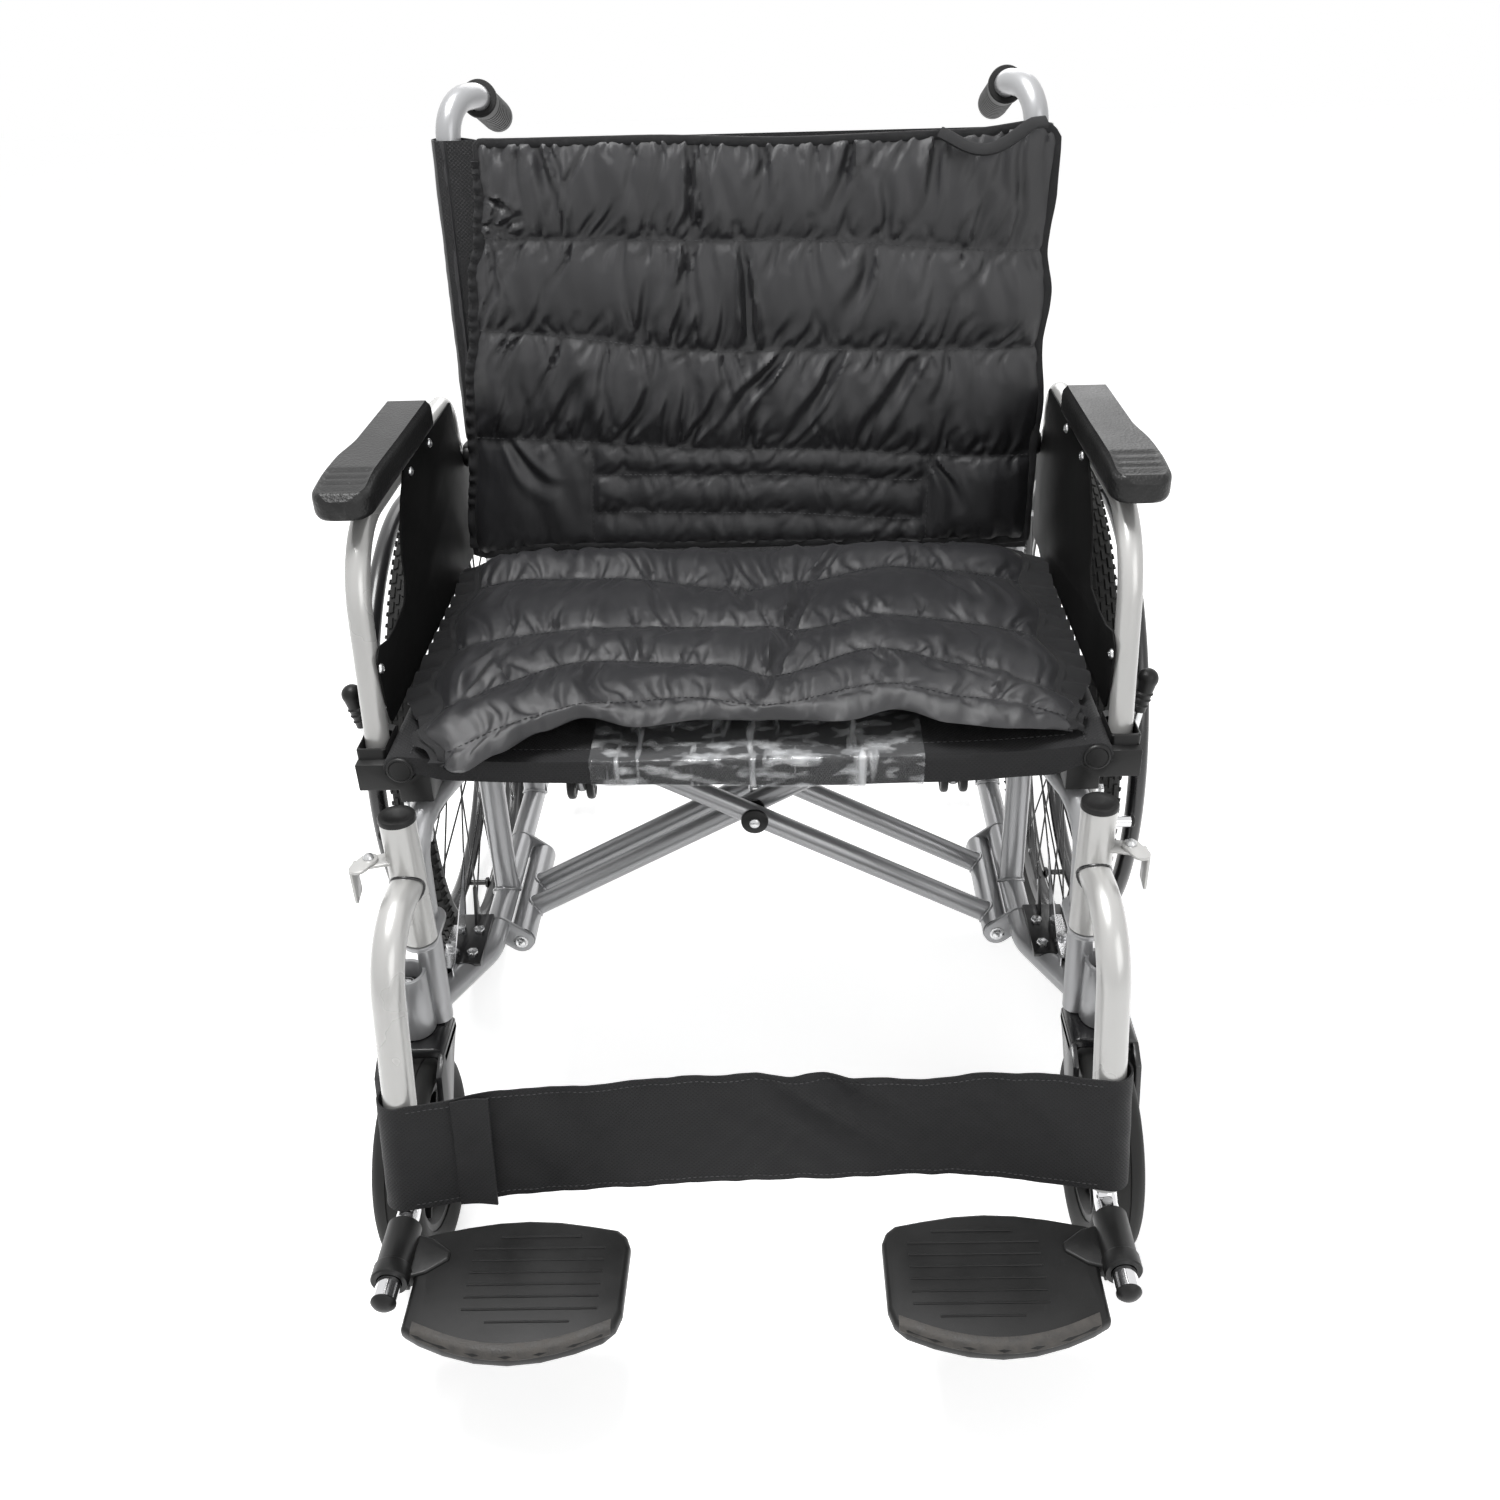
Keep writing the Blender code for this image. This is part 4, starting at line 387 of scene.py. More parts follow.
class PathWork:
    """Geometry node trees that make what repeats or follows a path."""

    def __init__(self) -> None:
        """Build every tree."""
        self.tube = self._tube()
        self.ring = self._ring()
        self.sown = self._sown()
        self.stitches = self._stitches()

    @staticmethod
    def _start(name: str, inputs: dict[str, tuple[str, object]]) -> tuple[NodeSheet, bpy.types.Node]:
        """Begin a tree with a geometry, a material and the named inputs."""
        sheet = NodeSheet(bpy.data.node_groups.new(name, "GeometryNodeTree"))
        sheet.entry("Geometry", "NodeSocketGeometry")
        sheet.entry("Finish", "NodeSocketMaterial")
        for key, (kind, value) in inputs.items():
            sheet.entry(key, kind, value)
        sheet.entry("Geometry", "NodeSocketGeometry", leaves=True)
        return sheet, sheet.add("NodeGroupInput")

    @staticmethod
    def _end(sheet: NodeSheet, given: bpy.types.Node, geometry: bpy.types.NodeSocket) -> bpy.types.NodeTree:
        """Realize the instances, set the material and close the tree."""
        real = sheet.add("GeometryNodeRealizeInstances", {"Geometry": geometry})
        dressed = sheet.add("GeometryNodeSetMaterial", {"Geometry": real.outputs[0],
                                                        "Material": given.outputs["Finish"]})
        sheet.add("NodeGroupOutput", {"Geometry": dressed.outputs[0]})
        return sheet.tree

    def _tube(self) -> bpy.types.NodeTree:
        """Return the tree that draws a round tube along each path of edges."""
        sheet, given = self._start("round_tube", {"Diameter": ("NodeSocketFloat", 0.02),
                                                  "Sides": ("NodeSocketInt", 24)})
        path = sheet.add("GeometryNodeMeshToCurve", {"Mesh": given.outputs["Geometry"]})
        radius = sheet.sum("MULTIPLY", given.outputs["Diameter"], 0.5)
        ring = sheet.add("GeometryNodeCurvePrimitiveCircle", {"Resolution": given.outputs["Sides"],
                                                              "Radius": radius})
        skin = sheet.add("GeometryNodeCurveToMesh", {"Curve": path.outputs[0], "Fill Caps": True,
                                                     "Profile Curve": ring.outputs["Curve"]})
        return self._end(sheet, given, skin.outputs[0])

    def _ring(self) -> bpy.types.NodeTree:
        """Return the tree that sets copies of a piece evenly round the local Z axis."""
        sheet, given = self._start("ring_of_pieces", {
            "Piece": ("NodeSocketObject", None), "Count": ("NodeSocketInt", 12),
            "Radius": ("NodeSocketFloat", 0.1),
        })
        places = sheet.add("GeometryNodeMeshCircle", {"Vertices": given.outputs["Count"],
                                                      "Radius": given.outputs["Radius"]})
        piece = sheet.add("GeometryNodeObjectInfo", {"Object": given.outputs["Piece"]})
        step = sheet.sum("DIVIDE", math.tau, given.outputs["Count"])
        index = sheet.add("GeometryNodeInputIndex").outputs[0]
        angle = sheet.add("ShaderNodeCombineXYZ", {"Z": sheet.sum("MULTIPLY", index, step)})
        turn = sheet.add("FunctionNodeEulerToRotation", {0: angle.outputs[0]})
        copies = sheet.add("GeometryNodeInstanceOnPoints", {
            "Points": places.outputs[0], "Instance": piece.outputs["Geometry"], "Rotation": turn.outputs[0],
        })
        return self._end(sheet, given, copies.outputs[0])

    def _sown(self) -> bpy.types.NodeTree:
        """Return the tree that sets a copy of a piece on each point, its Z along the point's aim."""
        sheet, given = self._start("pieces_on_points", {"Piece": ("NodeSocketObject", None)})
        piece = sheet.add("GeometryNodeObjectInfo", {"Object": given.outputs["Piece"]})
        aim = sheet.add("GeometryNodeInputNamedAttribute", {"Name": "aim"}, data_type="FLOAT_VECTOR")
        turn = sheet.add("FunctionNodeAlignRotationToVector", {"Vector": aim.outputs[0]}, axis="Z")
        copies = sheet.add("GeometryNodeInstanceOnPoints", {
            "Points": given.outputs["Geometry"], "Instance": piece.outputs["Geometry"],
            "Rotation": turn.outputs[0],
        })
        return self._end(sheet, given, copies.outputs[0])

    def _stitches(self) -> bpy.types.NodeTree:
        """Return the tree that lays stitches of thread along each path of edges."""
        sheet, given = self._start("stitch_row", {
            "Pitch": ("NodeSocketFloat", 0.005), "Length": ("NodeSocketFloat", 0.0035),
            "Thread": ("NodeSocketFloat", 0.0008),
        })
        path = sheet.add("GeometryNodeMeshToCurve", {"Mesh": given.outputs["Geometry"]})
        marks = sheet.add("GeometryNodeCurveToPoints", {"Curve": path.outputs[0],
                                                        "Length": given.outputs["Pitch"]}, mode="LENGTH")
        turn = sheet.add("FunctionNodeAlignRotationToVector", {"Vector": marks.outputs["Tangent"]}, axis="Z")
        half = sheet.sum("MULTIPLY", given.outputs["Length"], 0.5)
        thin = sheet.sum("MULTIPLY", given.outputs["Thread"], 0.5)
        size = sheet.add("ShaderNodeCombineXYZ", {"X": thin, "Y": thin, "Z": half})
        bead = sheet.add("GeometryNodeMeshIcoSphere", {"Radius": 1.0, "Subdivisions": 1})
        copies = sheet.add("GeometryNodeInstanceOnPoints", {
            "Points": marks.outputs["Points"], "Instance": bead.outputs[0], "Rotation": turn.outputs[0],
            "Scale": size.outputs[0],
        })
        return self._end(sheet, given, copies.outputs[0])


def settle(item: Shape) -> Shape:
    """Turn an object into a plain mesh whose place is in its vertices.

    Args:
        item: The object, with its modifiers and its matrix. It is removed.

    Returns:
        The mesh object of the same name, at the origin.
    """
    bpy.context.view_layer.update()
    graph = bpy.context.evaluated_depsgraph_get()
    mesh = bpy.data.meshes.new_from_object(item.evaluated_get(graph))
    mesh.transform(item.matrix_world)
    name = item.name
    bpy.data.objects.remove(item, do_unlink=True)
    mesh.name = name
    result = bpy.data.objects.new(name, mesh)
    bpy.context.scene.collection.objects.link(result)
    return result


def shaped(name: str, points: Iterable[Place], faces: Iterable[Sequence[int]],
           edges: Iterable[Sequence[int]] = ()) -> Shape:
    """Return a mesh object made of these points, faces and loose edges."""
    mesh = bpy.data.meshes.new(name)
    mesh.from_pydata([tuple(point) for point in points], list(edges), list(faces))
    item = bpy.data.objects.new(name, mesh)
    bpy.context.scene.collection.objects.link(item)
    return item


def aimed(place: Place, axis: Place) -> Matrix:
    """Return the matrix that sets a shape at a place with its Z along the axis."""
    return Matrix.Translation(place) @ Vector(axis).to_track_quat("Z", "Y").to_matrix().to_4x4()


def facing_out(item: Shape, merge: float = 0.000001) -> Shape:
    """Merge an object's doubles, turn its faces outwards and return it."""
    form = bmesh.new()
    form.from_mesh(item.data)
    bmesh.ops.remove_doubles(form, verts=form.verts, dist=merge)
    bmesh.ops.recalc_face_normals(form, faces=form.faces)
    form.to_mesh(item.data)
    form.free()
    return item


def softened(item: Shape, width: float, segments: int = 2, angle: float = 35.0) -> Shape:
    """Round an object's edges that are sharper than the angle and return it as a plain mesh."""
    bevel = item.modifiers.new("soft_edge", "BEVEL")
    bevel.width = width
    bevel.segments = segments
    bevel.limit_method = "ANGLE"
    bevel.angle_limit = math.radians(angle)
    return settle(item)


def merged(name: str, items: Sequence[Shape]) -> Shape:
    """Gather several shapes in one object, keep their materials and return it."""
    form = bmesh.new()
    materials: list[bpy.types.Material] = []
    for item in items:
        own = [slot.material for slot in item.material_slots]
        copy = item.data.copy()
        copy.transform(item.matrix_world)
        for material in own:
            if material not in materials:
                materials.append(material)
        before = len(form.faces)
        form.from_mesh(copy)
        form.faces.ensure_lookup_table()
        for face in form.faces[before:]:
            if own:
                face.material_index = materials.index(own[min(face.material_index, len(own) - 1)])
        bpy.data.meshes.remove(copy)
        bpy.data.objects.remove(item, do_unlink=True)
    mesh = bpy.data.meshes.new(name)
    form.to_mesh(mesh)
    form.free()
    for material in materials:
        mesh.materials.append(material)
    result = bpy.data.objects.new(name, mesh)
    bpy.context.scene.collection.objects.link(result)
    return result


def mirrored(item: Shape, name: str) -> Shape:
    """Return a copy of a right-hand shape for the left side, with its faces out."""
    mesh = item.data.copy()
    mesh.transform(Matrix.Diagonal((-1.0, 1.0, 1.0, 1.0)))
    mesh.flip_normals()
    mesh.name = name
    copy = bpy.data.objects.new(name, mesh)
    bpy.context.scene.collection.objects.link(copy)
    return copy


def rounded(corners: Sequence[Place], bends: Sequence[float], steps: int = 10) -> list[Vector]:
    """Return a bent tube's path.

    Args:
        corners: The path's ends and its corners.
        bends: The bending radius at each inner corner.
        steps: How many steps each bend has.

    Returns:
        The points of the path.
    """
    places = [Vector(corner) for corner in corners]
    points = [places[0]]
    for index, bend in enumerate(bends, start=1):
        corner = places[index]
        back = (places[index - 1] - corner).normalized()
        ahead = (places[index + 1] - corner).normalized()
        turn = math.pi - back.angle(ahead)
        reach = bend * math.tan(turn / 2)
        middle = corner + (back + ahead).normalized() * (bend / math.cos(turn / 2))
        start = corner + back * reach - middle
        end = corner + ahead * reach - middle
        for step in range(steps + 1):
            share = step / steps
            arm = start * math.sin((1 - share) * turn) + end * math.sin(share * turn)
            points.append(middle + arm / math.sin(turn))
    points.append(places[-1])
    return points


def capsule(first: Place, second: Place, radius: float, steps: int = 10) -> list[tuple[float, float]]:
    """Return the flat outline of a bar with round ends."""
    start, end = Vector(first), Vector(second)
    run = end - start
    heading = math.atan2(run.y, run.x)
    outline = []
    for centre, angle in ((end, heading - math.pi / 2), (start, heading + math.pi / 2)):
        for step in range(steps + 1):
            turn = angle + math.pi * step / steps
            outline.append((centre.x + radius * math.cos(turn), centre.y + radius * math.sin(turn)))
    return outline


def lathe(name: str, profile: Sequence[tuple[float, float]], origin: Place, axis: Place,
          sides: int = 48, ring: bool = False) -> Shape:
    """Turn a profile round an axis.

    Args:
        name: The shape's name.
        profile: (radius, distance along the axis) points.
        origin: The place on the axis that distances are counted from.
        axis: The axis's direction.
        sides: How many steps go round.
        ring: Whether the profile closes on itself, as a tyre's does.

    Returns:
        The turned shape, with its faces out.
    """
    points: list[Vector] = []
    rows: list[list[int]] = []
    for radius, along in profile:
        count = 1 if radius < 1e-6 else sides
        row = []
        for index in range(count):
            angle = math.tau * index / sides
            row.append(len(points))
            points.append(Vector((radius * math.cos(angle), radius * math.sin(angle), along)))
        rows.append(row)
    faces = []
    pairs = list(zip(rows, rows[1:]))
    if ring:
        pairs.append((rows[-1], rows[0]))
    for near, far in pairs:
        for index in range(sides):
            after = (index + 1) % sides
            corners = [near[index % len(near)], near[after % len(near)], far[after % len(far)],
                       far[index % len(far)]]
            distinct = list(dict.fromkeys(corners))
            if len(distinct) > 2:
                faces.append(distinct)
    item = shaped(name, points, faces)
    item.matrix_world = aimed(origin, axis)
    return facing_out(settle(item))


def slab(name: str, outline: Sequence[tuple[float, float]], low: float, high: float, normal: str = "Z",
         edge: float = 0.0, segments: int = 2) -> Shape:
    """Return a plate with a flat outline.

    Args:
        name: The plate's name.
        outline: (X, Y) points for a plate facing Z, (Y, Z) for X and (X, Z) for Y.
        low: Where the plate starts along its normal.
        high: Where it ends.
        normal: The axis that it faces.
        edge: The rounding of its edges.
        segments: The steps of that rounding.

    Returns:
        The plate, with its faces out.
    """
    order = {"Z": lambda a, b, c: (a, b, c), "X": lambda a, b, c: (c, a, b), "Y": lambda a, b, c: (a, c, b)}
    place = order[normal]
    count = len(outline)
    points = [place(a, b, level) for level in (low, high) for a, b in outline]
    faces: list[list[int]] = [list(range(count)), list(range(count, 2 * count))]
    for index in range(count):
        after = (index + 1) % count
        faces.append([index, after, count + after, count + index])
    item = facing_out(shaped(name, points, faces))
    return softened(item, edge, segments) if edge else item


def block(name: str, low: Place, high: Place, edge: float = 0.001, segments: int = 2) -> Shape:
    """Return a block between two corners with its edges rounded."""
    outline = [(low[0], low[1]), (high[0], low[1]), (high[0], high[1]), (low[0], high[1])]
    return slab(name, outline, low[2], high[2], "Z", edge, segments)


def lofted(name: str, rings: Sequence[Sequence[Place]], capped: bool = True) -> Shape:
    """Return a skin through closed rings that all have the same number of points."""
    count = len(rings[0])
    points = [point for row in rings for point in row]
    faces: list[list[int]] = []
    for row in range(len(rings) - 1):
        for index in range(count):
            after = (index + 1) % count
            faces.append([row * count + index, row * count + after, (row + 1) * count + after,
                          (row + 1) * count + index])
    if capped:
        faces.append(list(range(count)))
        faces.append(list(range((len(rings) - 1) * count, len(rings) * count)))
    return facing_out(shaped(name, points, faces))


def hexagon(width: float) -> list[tuple[float, float]]:
    """Return a nut's outline; the width is the one across its flats."""
    radius = width / math.sqrt(3)
    return [(radius * math.cos(math.pi * k / 3), radius * math.sin(math.pi * k / 3)) for k in range(6)]


def soft_outline(corners: Sequence[tuple[float, float]], bend: float,
                 steps: int = 5) -> list[tuple[float, float]]:
    """Return a closed flat outline with its corners rounded.

    Args:
        corners: The outline's corners.
        bend: The largest radius; a corner between short edges gets less.
        steps: The steps of each corner.

    Returns:
        The rounded outline.
    """
    result = []
    count = len(corners)
    for index in range(count):
        corner = Vector(corners[index])
        back = Vector(corners[index - 1]) - corner
        ahead = Vector(corners[(index + 1) % count]) - corner
        turn = math.pi - back.angle(ahead)
        if turn < 0.02:
            result.append((corner.x, corner.y))
            continue
        reach = min(bend * math.tan(turn / 2), back.length * 0.48, ahead.length * 0.48)
        start = corner + back.normalized() * reach
        end = corner + ahead.normalized() * reach
        parts = max(2, min(steps, int(turn * 4) + 1))
        for step in range(parts + 1):
            share = step / parts
            near = start.lerp(corner, share)
            far = corner.lerp(end, share)
            place = near.lerp(far, share)
            result.append((place.x, place.y))
    return result


def soft_box(low: tuple[float, float], high: tuple[float, float], bend: float) -> list[tuple[float, float]]:
    """Return a rectangle's outline with rounded corners."""
    return soft_outline([(low[0], low[1]), (high[0], low[1]), (high[0], high[1]), (low[0], high[1])], bend)


def pan_head(radius: float, height: float) -> list[tuple[float, float]]:
    """Return the profile of a screw's domed head with a shallow socket."""
    return [(0.0, height * 0.45), (radius * 0.42, height * 0.45), (radius * 0.46, height),
            (radius * 0.70, height * 0.90), (radius * 0.92, height * 0.55), (radius, height * 0.12),
            (radius, 0.0), (0.0, 0.0)]


def duplicate(item: Shape) -> Shape:
    """Return a second object with its own copy of the mesh."""
    copy = bpy.data.objects.new(item.name, item.data.copy())
    bpy.context.scene.collection.objects.link(copy)
    return copy


def between(points: Sequence[tuple[float, float]], place: float) -> float:
    """Return a soft line's height at one place across, through (across, height) points."""
    if place <= points[0][0]:
        return points[0][1]
    for (near, low), (far, high) in zip(points, points[1:]):
        if place <= far:
            share = (place - near) / (far - near)
            return low + (high - low) * share * share * (3 - 2 * share)
    return points[-1][1]


def row_share(rows: Sequence[float], y: float) -> tuple[int, float]:
    """Return the row below a place and the place's share of the way from it to the next row."""
    below = 0
    while below < len(rows) - 2 and y > rows[below + 1]:
        below += 1
    return below, (y - rows[below]) / (rows[below + 1] - rows[below])


def ripple(place: Place, size: float, seed: float = 0.0) -> float:
    """Return a smooth wave, from about -1 to 1, that changes over the given size."""
    return noise.noise(Vector(place) / size + Vector((seed, 0.0, 0.0)))


def band(name: str, path: Sequence[Place], ups: Sequence[Place], wide: float, thick: float,
         closed: bool = False) -> Shape:
    """Return a flat ribbon with round edges.

    Args:
        name: The ribbon's name.
        path: The places along its middle.
        ups: The way that its flat side faces at each place.
        wide: Its width.
        thick: Its thickness.
        closed: Whether its ends meet.

    Returns:
        The ribbon, with its faces out.
    """
    rings = []
    count = len(path)
    sides = 10
    for index in range(count):
        before = index - 1 if closed else max(0, index - 1)
        after = (index + 1) % count if closed else min(count - 1, index + 1)
        ahead = (Vector(path[after]) - Vector(path[before])).normalized()
        side = ahead.cross(Vector(ups[index])).normalized()
        up = side.cross(ahead).normalized()
        ring = []
        for step in range(sides):
            angle = math.tau * (step + 0.5) / sides
            across = math.copysign(abs(math.cos(angle)) ** 0.6, math.cos(angle)) * wide / 2
            rise = math.copysign(abs(math.sin(angle)) ** 0.6, math.sin(angle)) * thick / 2
            ring.append(Vector(path[index]) + side * across + up * rise)
        rings.append(ring)
    if closed:
        rings.append(rings[0])
    return lofted(name, rings, capped=not closed)


class Workshop:
    """Holds the frame and the finishes, and turns shapes into pieces that ride on its bodies."""

    def __init__(self) -> None:
        """Load the frame, measure its axle line and make every finish."""
        self.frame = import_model()
        self.cad_box = [list(corner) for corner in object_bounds()]
        low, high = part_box("rear_axle_right")
        self.axle_y = (low.y + high.y) / 2
        self.axle_z = (low.z + high.z) / 2
        effects = Effects()
        self.paints = {surface: surface.value.make(surface.name.lower(), effects) for surface in Surface}
        self.trees = PathWork()

    def at(self, x: float, y: float, z: float) -> Vector:
        """Return a place given from the axle line in the frame's coordinates."""
        return Vector((x, y + self.axle_y, z))

    def free(self, place: Vector) -> tuple[float, float, float]:
        """Return a place of the frame counted from the axle line."""
        return (place.x, place.y - self.axle_y, place.z)

    def run(self, item: Shape, tree: bpy.types.NodeTree, surface: Surface, values: dict) -> Shape:
        """Run a node tree on an object and return the plain mesh that it makes."""
        modifier = item.modifiers.new("tree", "NODES")
        modifier.node_group = tree
        given = {"Finish": self.paints[surface], **values}
        for entry in tree.interface.items_tree:
            if entry.item_type == "SOCKET" and entry.in_out == "INPUT" and entry.name in given:
                modifier[entry.identifier] = given[entry.name]
        return settle(item)

    def paths(self, name: str, lines: Sequence[Sequence[Place]], closed: bool = False) -> Shape:
        """Return a mesh of edges that follows each line of axle-line places."""
        points: list[Vector] = []
        edges: list[tuple[int, int]] = []
        for line in lines:
            first = len(points)
            points += [self.at(*place) for place in line]
            edges += [(index, index + 1) for index in range(first, len(points) - 1)]
            if closed:
                edges.append((len(points) - 1, first))
        return shaped(name, points, [], edges)

    def tube(self, name: str, lines: Sequence[Sequence[Place]], diameter: float, surface: Surface,
             sides: int = 28, closed: bool = False) -> Shape:
        """Return round tubes along the lines."""
        return self.run(self.paths(name, lines, closed), self.trees.tube, surface,
                        {"Diameter": diameter, "Sides": sides})

    def stitched(self, name: str, lines: Sequence[Sequence[Place]], pitch: float = 0.0055,
                 length: float = 0.0042, thread: float = 0.0011, closed: bool = False) -> Shape:
        """Return a row of stitches along each line."""
        return self.run(self.paths(name, lines, closed), self.trees.stitches, Surface.THREAD,
                        {"Pitch": pitch, "Length": length, "Thread": thread})

    def sown(self, name: str, piece: Shape, places: Sequence[tuple[Place, Place]],
             surface: Surface) -> Shape:
        """Return copies of a piece made at the origin, one at each (place, aim)."""
        item = shaped(name, [self.at(*place) for place, _ in places], [])
        aims = item.data.attributes.new("aim", "FLOAT_VECTOR", "POINT")
        for entry, (_, aim) in zip(aims.data, places):
            entry.vector = Vector(aim).normalized()
        result = self.run(item, self.trees.sown, surface, {"Piece": piece})
        bpy.data.objects.remove(piece, do_unlink=True)
        return result

    def ring(self, name: str, piece: Shape, count: int, radius: float, centre: Place, axis: Place,
             surface: Surface, phase: float = 0.0, keep: bool = False) -> Shape:
        """Return copies of a piece round an axis; the piece's X points away from the axis."""
        item = shaped(name, [], [])
        item.matrix_world = aimed(self.at(*centre), axis) @ Matrix.Rotation(phase, 4, "Z")
        result = self.run(item, self.trees.ring, surface, {"Piece": piece, "Count": count, "Radius": radius})
        if not keep:
            bpy.data.objects.remove(piece, do_unlink=True)
        return result

    def turned(self, name: str, profile: Sequence[tuple[float, float]], origin: Place, axis: Place,
               surface: Surface, sides: int = 48, ring: bool = False) -> Shape:
        """Return a turned shape with its finish."""
        return self.painted(lathe(name, profile, self.at(*origin), axis, sides, ring), surface)

    def moved(self, item: Shape) -> Shape:
        """Bring a shape drawn from the axle line to the frame's coordinates."""
        item.data.transform(Matrix.Translation((0.0, self.axle_y, 0.0)))
        return item

    def woven(self, name: str, rows: Sequence[Sequence[Place]], thick: float, surface: Surface) -> Shape:
        """Return a sheet of cloth through rows of places counted from the axle line."""
        wide = len(rows[0])
        points = [self.at(*place) for row in rows for place in row]
        faces = [(first, first + 1, first + wide + 1, first + wide)
                 for row in range(len(rows) - 1) for first in range(row * wide, (row + 1) * wide - 1)]
        item = shaped(name, points, faces)
        wall = item.modifiers.new("wall", "SOLIDIFY")
        wall.thickness = thick
        wall.offset = 0.0
        return self.painted(facing_out(settle(item)), surface)

    def draped(self, item: Shape, replaces: Sequence[str], slot: str) -> Shape:
        """Smooth a soft piece, say what it stands for, report it and return it."""
        item.data.shade_smooth()
        item.data.set_sharp_from_angle(angle=math.radians(60.0))
        if replaces:
            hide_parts(*replaces)
        LOG.info("%s is laid with %d faces", item.name, len(item.data.polygons))
        return item

    def painted(self, item: Shape, surface: Surface) -> Shape:
        """Give a shape one finish and return it."""
        item.data.materials.clear()
        item.data.materials.append(self.paints[surface])
        return item

    def fit(self, item: Shape, body: str, replaces: Sequence[str] = (), slot: str = "",
            crease: float = 35.0) -> Shape:
        """Smooth a piece's round faces, hang it on its body and report it.

        Args:
            item: The finished mesh.
            body: The frame's body that it rides on.
            replaces: The frame's nodes that it stands for.
            slot: The record's material slot; not used.
            crease: Edges sharper than this many degrees stay crisp.

        Returns:
            The piece.
        """
        item.data.shade_smooth()
        item.data.set_sharp_from_angle(angle=math.radians(crease))
        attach(item, body)
        if replaces:
            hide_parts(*replaces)
        LOG.info("%s rides on %s with %d faces", item.name, body, len(item.data.polygons))
        return item

    def fit_pair(self, item: Shape, stem: str, body: str, replaces: Sequence[str] = (), slot: str = "",
                 crease: float = 35.0) -> dict[str, Shape]:
        """Fit a right-hand piece and its mirror image; body and replaces are written with {side}."""
        item.name = f"{stem}_right"
        pieces = {"right": item, "left": mirrored(item, f"{stem}_left")}
        for side, piece in pieces.items():
            self.fit(piece, body.format(side=side), [name.format(side=side) for name in replaces], slot,
                     crease)
        return pieces


@dataclass(frozen=True)
class Lines:
    """The main lines that the sub-assemblies share, for the right side."""

    tube: float = 0.0254
    rail_x: float = 0.309
    rail_z: float = 0.494
    cane_x: float = 0.300
    frame_x: float = 0.2743
    arm_x: float = 0.336
    wheel_x: float = 0.360
    caster_x: float = 0.332
    top_z: float = 0.445
    low_z: float = 0.232
    sleeve: tuple[float, float] = (0.2515, 0.213)
    sleeve_rows: tuple[float, float] = (-0.345, -0.190)
    bend_z: float = 0.620
    cane_top_z: float = 0.985
    lean: float = 0.038
    hanger_tube: float = 0.029
    hanger_top: tuple[float, float, float] = (0.308, -0.5885, 0.405)
    hanger_low: tuple[float, float, float] = (0.312, -0.6405, 0.162)

    def cane_y(self, z: float) -> float:
        """Return the middle of the leaning back cane at a height."""
        return max(0.0, z - self.bend_z) * self.lean / (self.cane_top_z - self.bend_z)


LINES = Lines()


